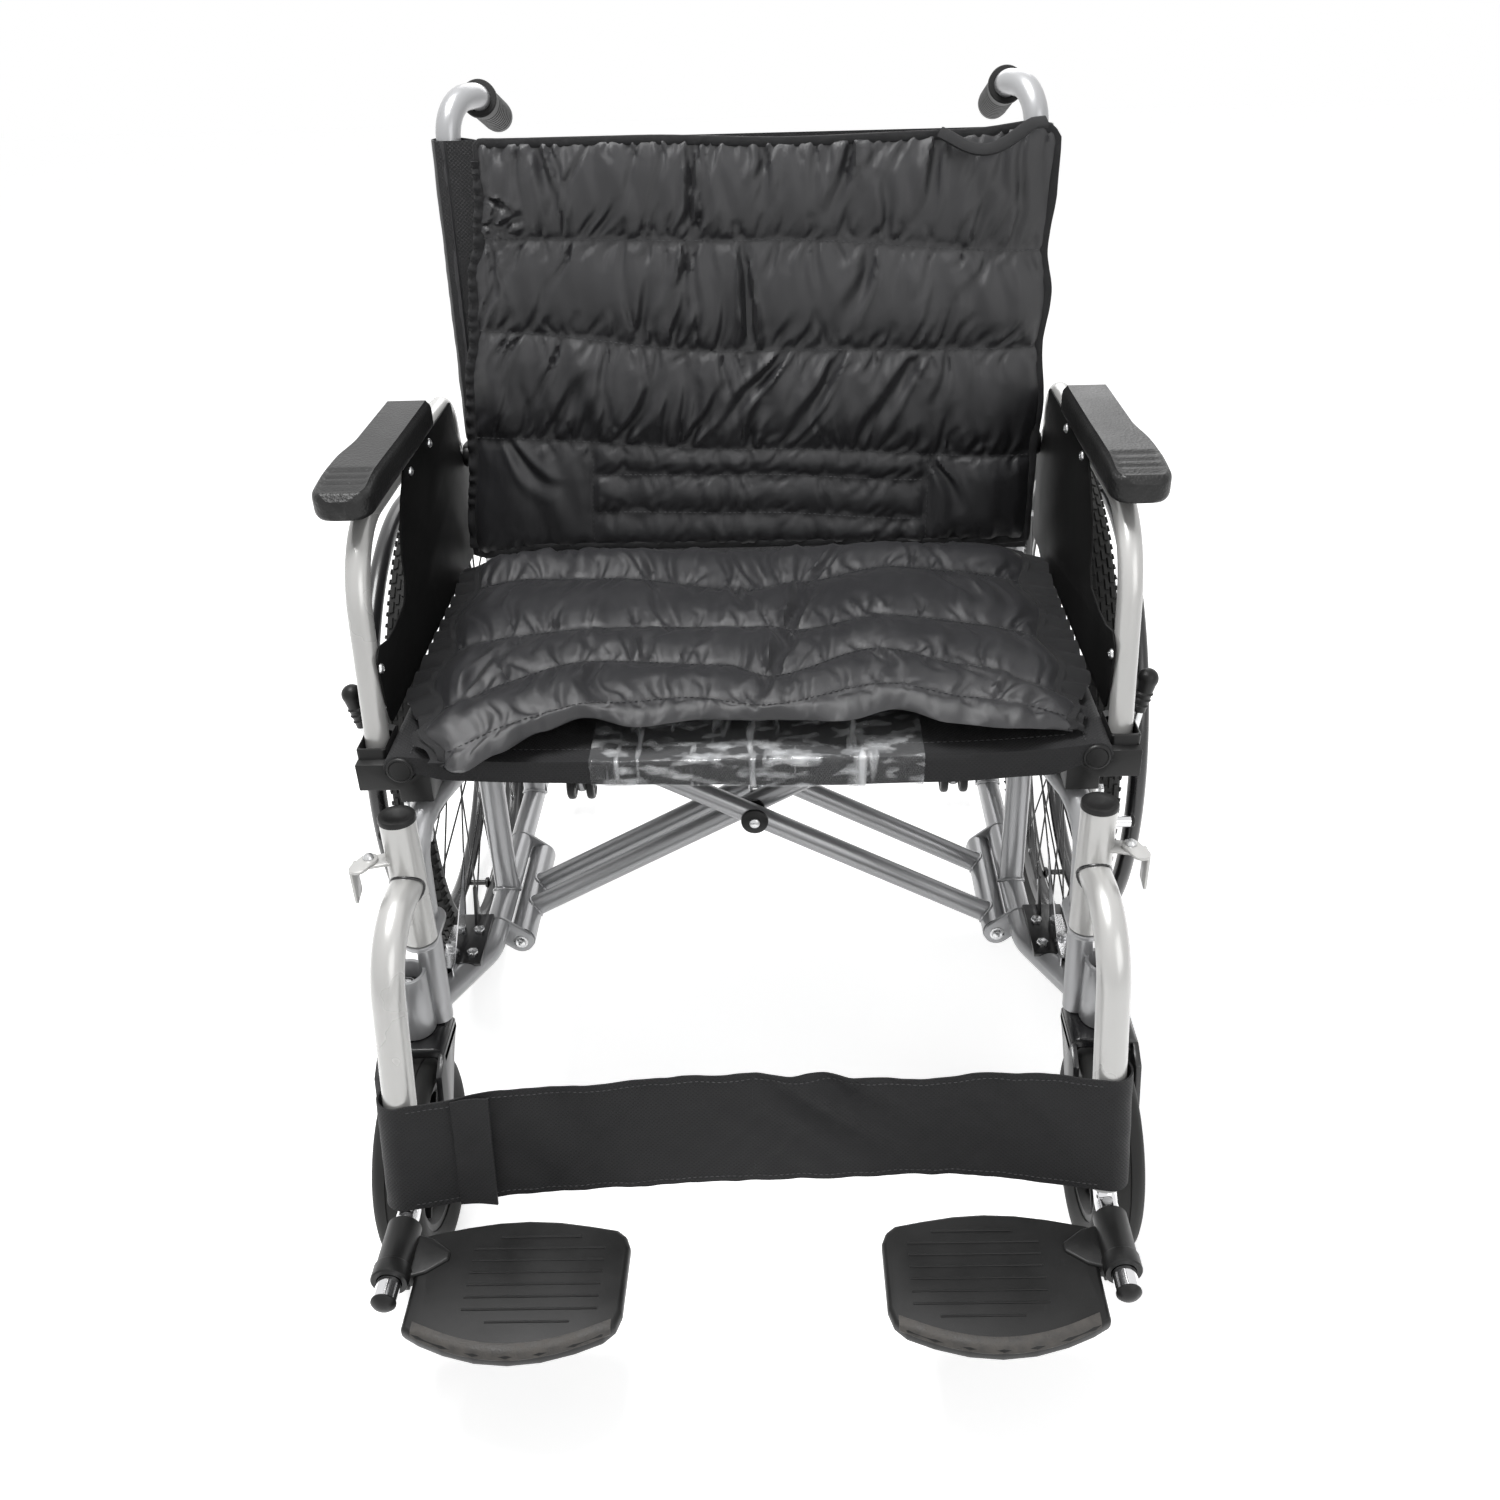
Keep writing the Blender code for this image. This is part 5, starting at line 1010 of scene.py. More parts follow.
@dataclass
class SideFrame:
    """The welded side frame with its fittings."""

    shop: Workshop
    front_post: tuple[float, float] = (0.305, -0.468)
    post_foot: tuple[float, float] = (0.312, 0.217)
    post_rows: tuple[float, float] = (-0.283, -0.085)
    bead_out: float = 1.05
    lug_gap: float = 0.0005
    lug_thick: float = 0.004
    stem_y: float = -0.485
    housing: tuple[float, float] = (0.2165, 0.2865)
    hanger_y: float = -0.502
    bracket_top: float = 0.3395

    def build(self) -> None:
        """Build the frame's tubes and fittings for both sides."""
        shop = self.shop
        pieces = [self.tubes(), self.beads(), self.caster_housing(), self.lugs(), self.hanger_bracket()]
        shop.fit_pair(merged("side_frame_tubes", pieces), "side_frame_tubes", "{side}_side",
                      ["side_frame_{side}"], "silver")
        shop.fit_pair(self.lug_bolts(), "lug_bolts", "{side}_side", slot="chrome")
        shop.fit_pair(self.housing_seal(), "caster_seal", "{side}_side", slot="rubber")
        shop.fit_pair(self.tube_ends(), "frame_tube_ends", "{side}_side", slot="plastic")
        self.lock_plate()

    def tubes(self) -> Shape:
        """Return the top tube, low rail and posts."""
        x = LINES.frame_x
        post_x, post_y = self.front_post
        foot_x, foot_z = self.post_foot
        top = rounded([(x, 0.0127, LINES.top_z), (x, -0.350, LINES.top_z), (post_x, post_y, LINES.top_z),
                       (foot_x, post_y, foot_z)], [0.10, 0.045])
        low = rounded([(x, 0.055, LINES.low_z), (x, -0.385, LINES.low_z),
                       (foot_x, post_y, LINES.low_z + 0.004)], [0.06])
        posts = [[(x, row, LINES.low_z), (x, row, LINES.top_z)] for row in self.post_rows]
        return self.shop.tube("frame_tubes", [top, low, *posts], LINES.tube, Surface.FRAME_SILVER)

    def beads(self) -> Shape:
        """Return the weld beads where each post meets the tubes above and below."""
        radius = LINES.tube / 2
        lines = []
        for row in self.post_rows:
            for height, way in ((LINES.top_z, -1.0), (LINES.low_z, 1.0)):
                line = []
                for step in range(24):
                    angle = math.tau * step / 24
                    x = radius * math.cos(angle)
                    rise = math.sqrt(max(0.0, radius ** 2 - x ** 2))
                    line.append((LINES.frame_x + x * self.bead_out,
                                 row + radius * math.sin(angle) * self.bead_out, height + way * rise))
                lines.append(line)
        return self.shop.tube("weld_beads", lines, 0.0034, Surface.FRAME_SILVER, sides=8, closed=True)

    def caster_housing(self) -> Shape:
        """Return the cup that the caster's stem turns in."""
        low, high = self.housing
        profile = [(0.0160, high - 0.022), (0.0160, high - 0.001), (0.0165, high), (0.0195, high),
                   (0.0200, high - 0.0008), (0.0200, low + 0.002), (0.0190, low), (0.0078, low),
                   (0.0078, high - 0.022)]
        return self.shop.turned("housing", profile, (LINES.caster_x, self.stem_y, 0), (0, 0, 1),
                                Surface.FRAME_SILVER, ring=True)

    def housing_seal(self) -> Shape:
        """Return the dark seal and nut down inside the cup."""
        floor = self.housing[1] - 0.0218
        profile = [(0.0, floor + 0.0095), (0.0060, floor + 0.0095), (0.0066, floor + 0.0085),
                   (0.0066, floor + 0.003), (0.0155, floor + 0.003), (0.0155, floor), (0.0, floor)]
        return self.shop.turned("seal", profile, (LINES.caster_x, self.stem_y, 0), (0, 0, 1),
                                Surface.MOULDED)

    def lugs(self) -> Shape:
        """Return the two plates that hold the brace's sleeve."""
        faces = (LINES.sleeve_rows[0] - self.lug_gap - self.lug_thick, LINES.sleeve_rows[1] + self.lug_gap)
        outline = capsule(LINES.sleeve, (LINES.frame_x, LINES.low_z), 0.0135)
        plates = [self.shop.moved(slab("lug", outline, face, face + self.lug_thick, "Y", 0.0007))
                  for face in faces]
        return self.shop.painted(merged("lugs", plates), Surface.FRAME_SILVER)

    def lug_bolts(self) -> Shape:
        """Return the brace bolt's head and nut outside the two lug plates."""
        x, z = LINES.sleeve
        head = [(0.0, 0.0052), (0.0020, 0.0050), (0.0046, 0.0036), (0.0056, 0.0012), (0.0075, 0.0010),
                (0.0075, 0.0), (0.0, 0.0)]
        front = (x, LINES.sleeve_rows[0] - self.lug_gap - self.lug_thick, z)
        rear = (x, LINES.sleeve_rows[1] + self.lug_gap + self.lug_thick, z)
        heads = [self.shop.turned("head", head, place, (0, way, 0), Surface.ZINC, 24)
                 for place, way in ((front, -1), (rear, 1))]
        return merged("lug_bolts", heads)

    def hanger_bracket(self) -> Shape:
        """Return the welded plate and saddle that carry the hanger."""
        x, post_y = self.front_post
        top = self.bracket_top
        plate = slab("plate", capsule((x, self.hanger_y), (x, post_y), 0.016), top - 0.005, top, "Z", 0.0007)
        pin = slab("pin", capsule((x, self.hanger_y), (x, self.hanger_y - 0.0001), 0.005), top, top + 0.018)
        saddle = block("saddle", (x - 0.008, -0.485, 0.368), (x + 0.008, post_y, 0.390))
        return self.shop.painted(merged("bracket", [self.shop.moved(p) for p in (plate, pin, saddle)]),
                                 Surface.FRAME_SILVER)

    def tube_ends(self) -> Shape:
        """Return the black plug in the top tube's rear end and the bush in the low rail's."""
        plug = [(0.0, 0.0022), (0.0095, 0.0020), (0.0125, 0.0006), (0.0125, 0.0), (0.0, 0.0)]
        bush = [(0.0083, 0.003), (0.0120, 0.003), (0.0127, 0.002), (0.0127, 0.0002), (0.0083, 0.0002)]
        top = self.shop.turned("plug", plug, (LINES.frame_x, 0.0127, LINES.top_z), (0, 1, 0), Surface.MOULDED)
        low = self.shop.turned("bush", bush, (LINES.frame_x, 0.055, LINES.low_z), (0, 1, 0),
                               Surface.MOULDED, ring=True)
        return merged("tube_ends", [top, low])

    def lock_plate(self) -> None:
        """Build the black plate with the square channel and its screws."""
        shop = self.shop
        x = LINES.frame_x
        plate = block("plate", (x + 0.002, -0.425, LINES.low_z + 0.010),
                      (x + 0.042, -0.345, LINES.low_z + 0.0155), 0.0012)
        tab = slab("tab", [(-0.365, 0.246), (-0.345, 0.246), (-0.345, 0.285), (-0.350, 0.285)], x + 0.016,
                   x + 0.019, "X", 0.0006)
        black = shop.painted(merged("lock_plate", [shop.moved(plate), shop.moved(tab)]), Surface.BLACK_ENAMEL)
        shop.fit_pair(black, "lock_plate", "{side}_side", slot="black_metal")
        walls = [(x + 0.024, 0.245, x + 0.037, 0.2462), (x + 0.024, 0.2578, x + 0.037, 0.259),
                 (x + 0.024, 0.245, x + 0.0252, 0.259), (x + 0.0358, 0.245, x + 0.037, 0.259)]
        channel = [shop.moved(block("wall", (left, -0.447, low), (right, -0.378, high), 0.0003, 1))
                   for left, low, right, high in walls]
        blade = shop.moved(slab("blade", [(-0.447, 0.259), (-0.395, 0.259), (-0.352, 0.330), (-0.349, 0.330)],
                                x + 0.0215, x + 0.0225, "X"))
        metal = shop.painted(merged("lock_channel", [*channel, blade]), Surface.CHROME)
        shop.fit_pair(metal, "lock_channel", "{side}_side", slot="chrome")
        nut = slab("nut", hexagon(0.010), 0.0, 0.0045, "Z", 0.0006)
        places = [((x + 0.012, -0.412, 0.2475), (0, 0, 1)), ((x + 0.012, -0.375, 0.2475), (0, 0, 1)),
                  ((x + 0.031, -0.415, 0.259), (0, 0, 1))]
        shop.fit_pair(shop.sown("lock_nuts", nut, places, Surface.ZINC), "lock_nuts", "{side}_side",
                      slot="chrome")


@dataclass
class BackCane:
    """The back cane with its handle, the arm's pivot block and the push grip."""

    shop: Workshop
    end_y: float = 0.085
    inset: float = 0.023
    handle: float = 0.110
    drop: float = 0.032
    grip: float = 0.034
    pivot: tuple[float, float] = (0.008, 0.628)
    block_x: tuple[float, float] = (0.3137, 0.3218)
    block_half: float = 0.012

    def build(self) -> None:
        """Build canes, blocks and grips for both sides."""
        shop = self.shop
        boss = [(0.0065, 0.0), (0.0130, 0.0), (0.0130, 0.0215), (0.0120, 0.0225), (0.0065, 0.0225)]
        pieces = [
            shop.tube("cane", [self.path()], LINES.tube, Surface.FRAME_SILVER),
            shop.turned("boss", boss, (LINES.cane_x, 0, shop.axle_z), (1, 0, 0), Surface.FRAME_SILVER,
                        ring=True),
        ]
        shop.fit_pair(merged("back_cane_tube", pieces), "back_cane_tube", "{side}_side",
                      ["back_cane_{side}"], "silver")
        shop.fit_pair(self.pivot_block(), "arm_pivot_block", "{side}_side", slot="plastic")
        shop.fit_pair(self.pivot_pin(), "arm_pivot_pin", "{side}_side", slot="chrome")
        shop.fit_pair(self.push_grip(), "push_grip_rubber", "{side}_side", ["push_grip_{side}"], "rubber")
        foot = [(0.0, 0.0), (0.0124, 0.0), (0.0124, -0.002), (0.009, -0.004), (0.0, -0.0042)]
        plug = shop.turned("cane_foot", foot, (LINES.cane_x, 0, LINES.low_z - LINES.tube / 2), (0, 0, 1),
                           Surface.MOULDED)
        shop.fit_pair(plug, "cane_foot_plug", "{side}_side", slot="plastic")

    def handle_end(self) -> Vector:
        """Return the end of the handle tube, inside the grip."""
        return Vector((LINES.cane_x - self.inset, self.end_y + self.handle, LINES.cane_top_z - self.drop))

    def path(self) -> list[Vector]:
        """Return the cane's path from its foot to the handle's end."""
        x = LINES.cane_x
        corners = [(x, 0, LINES.low_z - LINES.tube / 2), (x, 0, LINES.bend_z),
                   (x, LINES.lean, LINES.cane_top_z),
                   (x - self.inset, self.end_y, LINES.cane_top_z), self.handle_end()]
        return rounded(corners, [0.15, 0.040, 0.035])

    def pivot_block(self) -> Shape:
        """Return the moulded block that clips on the cane and carries the arm's pin."""
        y, z = self.pivot
        inner, outer = self.block_x
        half = self.block_half
        ear = slab("ear", capsule((y, z), (y - 0.008, z), half), inner, outer, "X", 0.0012)
        clamp = block("clamp", (LINES.cane_x + 0.004, -0.006, z - half), (outer, 0.0147, z + half), 0.002)
        return self.shop.painted(merged("block", [self.shop.moved(ear), self.shop.moved(clamp)]),
                                 Surface.MOULDED)

    def pivot_pin(self) -> Shape:
        """Return the pin with its domed head outside the arm."""
        y, z = self.pivot
        head = [(0.0, 0.0275), (0.003, 0.0272), (0.0065, 0.0262), (0.0075, 0.0250), (0.0075, 0.0245),
                (0.005, 0.0245), (0.005, 0.0), (0.0, 0.0)]
        return self.shop.turned("pin", head, (0.322, y, z), (1, 0, 0), Surface.ZINC, 28)

    def push_grip(self) -> Shape:
        """Return the rubber grip with its collar and shallow rings."""
        end = self.handle_end()
        start = Vector((LINES.cane_x - self.inset, self.end_y, LINES.cane_top_z))
        back = (end - start).normalized()
        length = (end - start).length - 0.014
        outer = self.grip / 2
        profile = [(0.0, 0.0068), (outer - 0.008, 0.0066), (outer - 0.003, 0.0045), (outer - 0.0005, 0.001)]
        rings = 9
        for index in range(rings):
            middle = -0.012 - index * (length - 0.030) / rings
            profile += [(outer, middle + 0.0038), (outer, middle + 0.0012), (outer - 0.0011, middle),
                        (outer, middle - 0.0012)]
        profile += [(outer, 0.010 - length), (outer + 0.0019, 0.007 - length),
                    (outer + 0.0019, 0.001 - length), (outer + 0.001, -length), (0.0128, -length),
                    (0.0128, -0.001), (0.0, -0.001)]
        return self.shop.turned("grip", profile, tuple(end), tuple(back), Surface.GRIP_RUBBER)


@dataclass
class SeatGuide:
    """The moulded cradle for the seat rail's front end, with the arm's socket."""

    shop: Workshop
    front: float = -0.455
    rear: float = -0.398
    floor: float = 0.471
    socket_top: float = 0.508

    def build(self) -> None:
        """Build the cradles, their sockets and their screws for both sides."""
        shop = self.shop
        body = merged("seat_guide_body", [self.cradle(), self.socket()])
        shop.fit_pair(body, "seat_guide_body", "{side}_side", ["seat_guide_{side}"], "plastic")
        head = lathe("head", pan_head(0.0042, 0.0026), (0, 0, 0), (0, 0, 1), 20)
        places = [((0.337, -0.4452, 0.486), (0, -1, 0)), ((0.350, -0.412, 0.489), (1, 0, 0))]
        shop.fit_pair(shop.sown("guide_screws", head, places, Surface.ZINC), "guide_screws", "{side}_side",
                      slot="chrome")

    def cradle(self) -> Shape:
        """Return the saddle that the rail drops into and its leg on the top tube."""
        rail = (LINES.rail_x, LINES.rail_z)
        hollow = LINES.tube / 2 + 0.0010
        outline = [(0.2843, 0.458), (0.3143, 0.458), (0.3143, self.floor), (0.3500, self.floor),
                   (0.3500, 0.498), (rail[0] + hollow, 0.498)]
        for step in range(13):
            angle = -math.pi * 0.86 * step / 12
            outline.append((rail[0] + hollow * math.cos(angle), rail[1] + hollow * math.sin(angle)))
        outline += [(0.2925, 0.4905), (0.2843, 0.4860)]
        body = slab("cradle", outline, self.front, self.rear, "Y", 0.0011)
        return self.shop.painted(self.shop.moved(body), Surface.MOULDED)

    def socket(self) -> Shape:
        """Return the cup that the arm's foot stands in."""
        outer = ((0.3232, -0.445), (0.3500, -0.3985))
        inner = ((0.3240, -0.442), (0.3482, -0.4100))
        rings = []
        for (low, high), shrink, height in (
            (outer, 0.0, self.floor), (outer, 0.0, self.socket_top - 0.0012),
            (outer, 0.0008, self.socket_top), (inner, -0.0002, self.socket_top),
            (inner, 0.0, self.socket_top - 0.0008), (inner, 0.0, 0.4930),
        ):
            shape = soft_box((low[0] + shrink, low[1] + shrink), (high[0] - shrink, high[1] - shrink), 0.004)
            rings.append([(x, y, height) for x, y in shape])
        return self.shop.painted(self.shop.moved(lofted("socket", rings)), Surface.MOULDED)


@dataclass
class CrossBrace:
    """The two legs of the folding brace with their pivots and the seat rails."""

    shop: Workshop
    rail_rows: tuple[float, float] = (-0.458, -0.046)
    knee: tuple[float, float] = (0.236, 0.47371)
    knee_bend: float = 0.06
    bar: float = 0.022
    sleeve_wide: float = 0.029
    inner_rows: tuple[float, float] = (-0.293, -0.252)
    outer_rows: tuple[float, float] = (-0.318, -0.227)
    pivot_z: float = 0.3475

    def build(self) -> None:
        """Build both legs and the two pivots."""
        shop = self.shop
        shop.fit(self.leg("brace_leg_a_tubes", -1.0, self.inner_rows), "brace_a", ["brace_leg_a"], "silver")
        shop.fit(self.leg("brace_leg_b_tubes", 1.0, self.outer_rows), "brace_b", ["brace_leg_b"], "silver")
        for side, body in ((1.0, "brace_a"), (-1.0, "brace_b")):
            shop.fit(self.rail_plug(side), body, slot="plastic")
        shop.fit(self.pivot("brace_pivot_front_bolt", (-0.318, -0.293)), "brace_b", ["brace_pivot_front"],
                 "chrome")
        shop.fit(self.pivot("brace_pivot_rear_bolt", (-0.227, -0.252)), "brace_b", ["brace_pivot_rear"],
                 "chrome")

    def leg(self, name: str, side: float, rows: tuple[float, float]) -> Shape:
        """Return the leg whose sleeve is on the given side and whose rail is opposite."""
        shop = self.shop
        x, z = LINES.sleeve
        parts = [
            shop.tube("sleeve", [[(side * x, LINES.sleeve_rows[0], z), (side * x, LINES.sleeve_rows[1], z)]],
                      self.sleeve_wide, Surface.FRAME_SILVER),
            shop.tube("rail", [[(-side * LINES.rail_x, row, LINES.rail_z) for row in self.rail_rows]],
                      LINES.tube, Surface.FRAME_SILVER),
        ]
        bars = []
        for row in rows:
            corners = [(side * x, row, z), (-side * self.knee[0], row, self.knee[1]),
                       (-side * LINES.rail_x, row, LINES.rail_z)]
            bars.append(rounded(corners, [self.knee_bend], 8))
        parts.append(shop.tube("bars", bars, self.bar, Surface.FRAME_SILVER))
        along = (Vector((-self.knee[0], 0, self.knee[1])) - Vector((x, 0, z))).normalized()
        beads = []
        for row in rows:
            loop = []
            for step in range(20):
                angle = math.tau * step / 20
                radius = self.bar / 2 * 1.04
                across = Vector((0, math.cos(angle), 0)) * radius
                over = along.cross(Vector((0, 1, 0))) * (math.sin(angle) * radius)
                reach = math.sqrt((self.sleeve_wide / 2) ** 2 - over.length ** 2)
                place = Vector((x, row, z)) + across + over + along * reach
                loop.append((side * place.x, place.y, place.z))
            beads.append(loop)
        parts.append(shop.tube("beads", beads, 0.0032, Surface.FRAME_SILVER, 8, closed=True))
        return merged(name, parts)

    def rail_plug(self, side: float) -> Shape:
        """Return the flat plug with a thin ring in the rail's front end."""
        profile = [(0.0, 0.0026), (0.0092, 0.0024), (0.0098, 0.0018), (0.0105, 0.0024), (0.0118, 0.0020),
                   (0.0126, 0.0008), (0.0126, 0.0), (0.0, 0.0)]
        plug = self.shop.turned("plug", profile, (side * LINES.rail_x, self.rail_rows[0], LINES.rail_z),
                                (0, -1, 0), Surface.MOULDED, 40)
        plug.name = "seat_rail_plug_right" if side > 0 else "seat_rail_plug_left"
        return plug

    def pivot(self, name: str, rows: tuple[float, float]) -> Shape:
        """Return the black cap, bolt, spacers and nut through two crossing bars."""
        shop = self.shop
        middle = sum(rows) / 2
        toward = 1.0 if rows[0] > rows[1] else -1.0
        face = abs(rows[0] - rows[1]) / 2 + self.bar / 2
        place = (0.0, middle, self.pivot_z)
        cap = [(0.0058, face + 0.0052), (0.0105, face + 0.0050), (0.0136, face + 0.0030),
               (0.0140, face + 0.0003), (0.0040, face + 0.0003), (0.0040, face + 0.0040)]
        spacer = [(0.0042, 0.0013), (0.0100, 0.0013), (0.0100, -0.0013), (0.0042, -0.0013)]
        washer = [(0.0, -face), (0.0078, -face), (0.0078, -face - 0.0012), (0.0, -face - 0.0012)]
        shaft = [(0.0, face + 0.0075), (0.0032, face + 0.0073), (0.0052, face + 0.0060),
                 (0.0056, face + 0.0042), (0.0040, face + 0.0042), (0.0040, -face - 0.0095),
                 (0.0, -face - 0.0100)]
        aim = (0.0, toward, 0.0)
        nut = slab("nut", hexagon(0.0115), -face - 0.0072, -face - 0.0012, "Z", 0.0007)
        nut.data.transform(aimed(shop.at(*place), aim))
        return merged(name, [
            shop.turned("cap", cap, place, aim, Surface.MOULDED, 36, ring=True),
            shop.turned("spacer", spacer, place, aim, Surface.MOULDED, 32, ring=True),
            shop.turned("washer", washer, place, aim, Surface.ZINC, 32),
            shop.turned("shaft", shaft, place, aim, Surface.ZINC, 24),
            shop.painted(nut, Surface.ZINC),
        ])


@dataclass
class Arm:
    """The flip-back arm: tube, pad and side panel."""

    shop: Workshop
    tube: float = 0.022
    corners: Pairs = ((-0.424, 0.495), (-0.392, 0.690), (0.000, 0.690), (0.008, 0.628))
    bends: tuple[float, float] = (0.085, 0.030)
    pad_y: tuple[float, float] = (-0.392, -0.134)
    pad_x: tuple[float, float] = (0.3145, 0.3615)
    pad_flare: float = 0.006
    pad_z: tuple[float, float] = (0.7013, 0.7323)
    grooves: tuple[float, ...] = (-0.3445, -0.3565, -0.3685)
    panel_x: tuple[float, float] = (0.3227, 0.3247)

    def build(self) -> None:
        """Build the arms for both sides."""
        shop = self.shop
        path = rounded([(LINES.arm_x, y, z) for y, z in self.corners], list(self.bends))
        y, z = self.corners[-1]
        eye = [(0.0056, 0.0105), (0.0112, 0.0105), (0.0120, 0.0095), (0.0120, -0.0095), (0.0112, -0.0105),
               (0.0056, -0.0105)]
        pieces = [
            shop.tube("tube", [path], self.tube, Surface.HANGER_SILVER),
            shop.turned("eye", eye, (LINES.arm_x, y, z), (1, 0, 0), Surface.HANGER_SILVER, ring=True),
        ]
        shop.fit_pair(merged("arm_tube_bent", pieces), "arm_tube_bent", "arm_{side}", ["arm_tube_{side}"],
                      "silver")
        shop.fit_pair(self.pad(), "arm_pad_skin", "arm_{side}", ["arm_pad_{side}"], "pad", 50.0)
        shop.fit_pair(self.panel(), "side_panel_plate", "arm_{side}", ["side_panel_{side}"], "plastic")
        shop.fit_pair(self.screws(), "side_panel_screws", "arm_{side}", slot="chrome")

    def pad(self) -> Shape:
        """Return the grained pad with its sloping front panel and three grooves."""
        front, rear = self.pad_y
        stations = 96
        rings = []
        for index in range(stations + 1):
            share = index / stations
            y = front + (rear - front) * (0.5 - 0.5 * math.cos(math.pi * share))
            rings.append(self.pad_ring(y))
        item = lofted("pad", rings)
        return self.shop.painted(self.shop.moved(item), Surface.PAD_SKIN)

    def pad_ring(self, y: float) -> list[tuple[float, float, float]]:
        """Return the pad's section at one place along it."""
        front, rear = self.pad_y
        inner, outer = self.pad_x
        wide = max(0.0, min(1.0, (-0.255 - y) / 0.060))
        outer += self.pad_flare * wide * wide * (3 - 2 * wide)
        low, high = self.pad_z
        slope = max(0.0, min(1.0, (-0.342 - y) / 0.050))
        high -= 0.0075 * slope ** 1.4
        nose = 0.020
        ahead = max(0.0, nose - (y - front))
        inset = nose - math.sqrt(max(0.0, nose ** 2 - ahead ** 2))
        behind = max(0.0, 0.007 - (rear - y))
        tail = 0.007 - math.sqrt(max(0.0, 0.007 ** 2 - behind ** 2))
        inner += inset * 0.98 + tail * 0.9
        outer -= inset * 0.98 + tail * 0.9
        crown = 0.0045 * max(0.0, 1 - (y - front) / 0.006) + 0.0045 * max(0.0, 1 - (rear - y) / 0.006)
        high -= crown
        low += crown * 0.5
        corner = min(0.0085, (outer - inner) * 0.45, (high - low) * 0.45)
        ring = []
        sides = 44
        for step in range(sides):
            angle = math.tau * (step + 0.5) / sides
            across = math.copysign(abs(math.cos(angle)) ** 0.42, math.cos(angle))
            rise = math.copysign(abs(math.sin(angle)) ** 0.42, math.sin(angle))
            x = (inner + outer) / 2 + across * (outer - inner) / 2
            z = (low + high) / 2 + rise * (high - low) / 2
            if rise > 0.9:
                z = high - (corner * 0.05) * (1 - rise)
                z -= self.dent(x, y, inner, outer)
            ring.append((x, y, z))
        return ring

    def dent(self, x: float, y: float, inner: float, outer: float) -> float:
        """Return how deep the embossed front panel and its grooves sit at a place on the top."""
        edge = min(x - inner, outer - x)
        if edge < 0.006:
            return 0.0
        side = min(1.0, (edge - 0.006) / 0.002)
        depth = 0.0
        if -0.384 < y < -0.3395:
            ends = min(1.0, (y + 0.384) / 0.002, (-0.3395 - y) / 0.002)
            depth = 0.0010 * ends
        for groove in self.grooves:
            depth += 0.0013 * max(0.0, 1 - abs(y - groove) / 0.0022)
        return depth * side

    def panel(self) -> Shape:
        """Return the skirt guard with its softened corners."""
        outline = [(0.011, 0.516), (0.011, 0.598), (-0.006, 0.631), (-0.021, 0.662), (-0.024, 0.697),
                   (-0.240, 0.697), (-0.266, 0.676), (-0.287, 0.650), (-0.295, 0.625), (-0.297, 0.607),
                   (-0.311, 0.590), (-0.351, 0.585), (-0.380, 0.585), (-0.408, 0.592), (-0.421, 0.584),
                   (-0.419, 0.545), (-0.412, 0.516)]
        low, high = self.panel_x
        item = slab("panel", soft_outline(outline, 0.009), low, high, "X", 0.0006)
        return self.shop.painted(self.shop.moved(item), Surface.FLAT_BLACK)

    def screws(self) -> Shape:
        """Return the screws that hold the panel to the arm's tube, seen from the seat."""
        head = lathe("head", pan_head(0.0048, 0.0028), (0, 0, 0), (0, 0, 1), 24)
        places = [((self.panel_x[0], y, z), (-1, 0, 0))
                  for y, z in ((-0.1390, 0.6880), (-0.2230, 0.6880), (-0.4165, 0.5745))]
        return self.shop.sown("screws", head, places, Surface.ZINC)


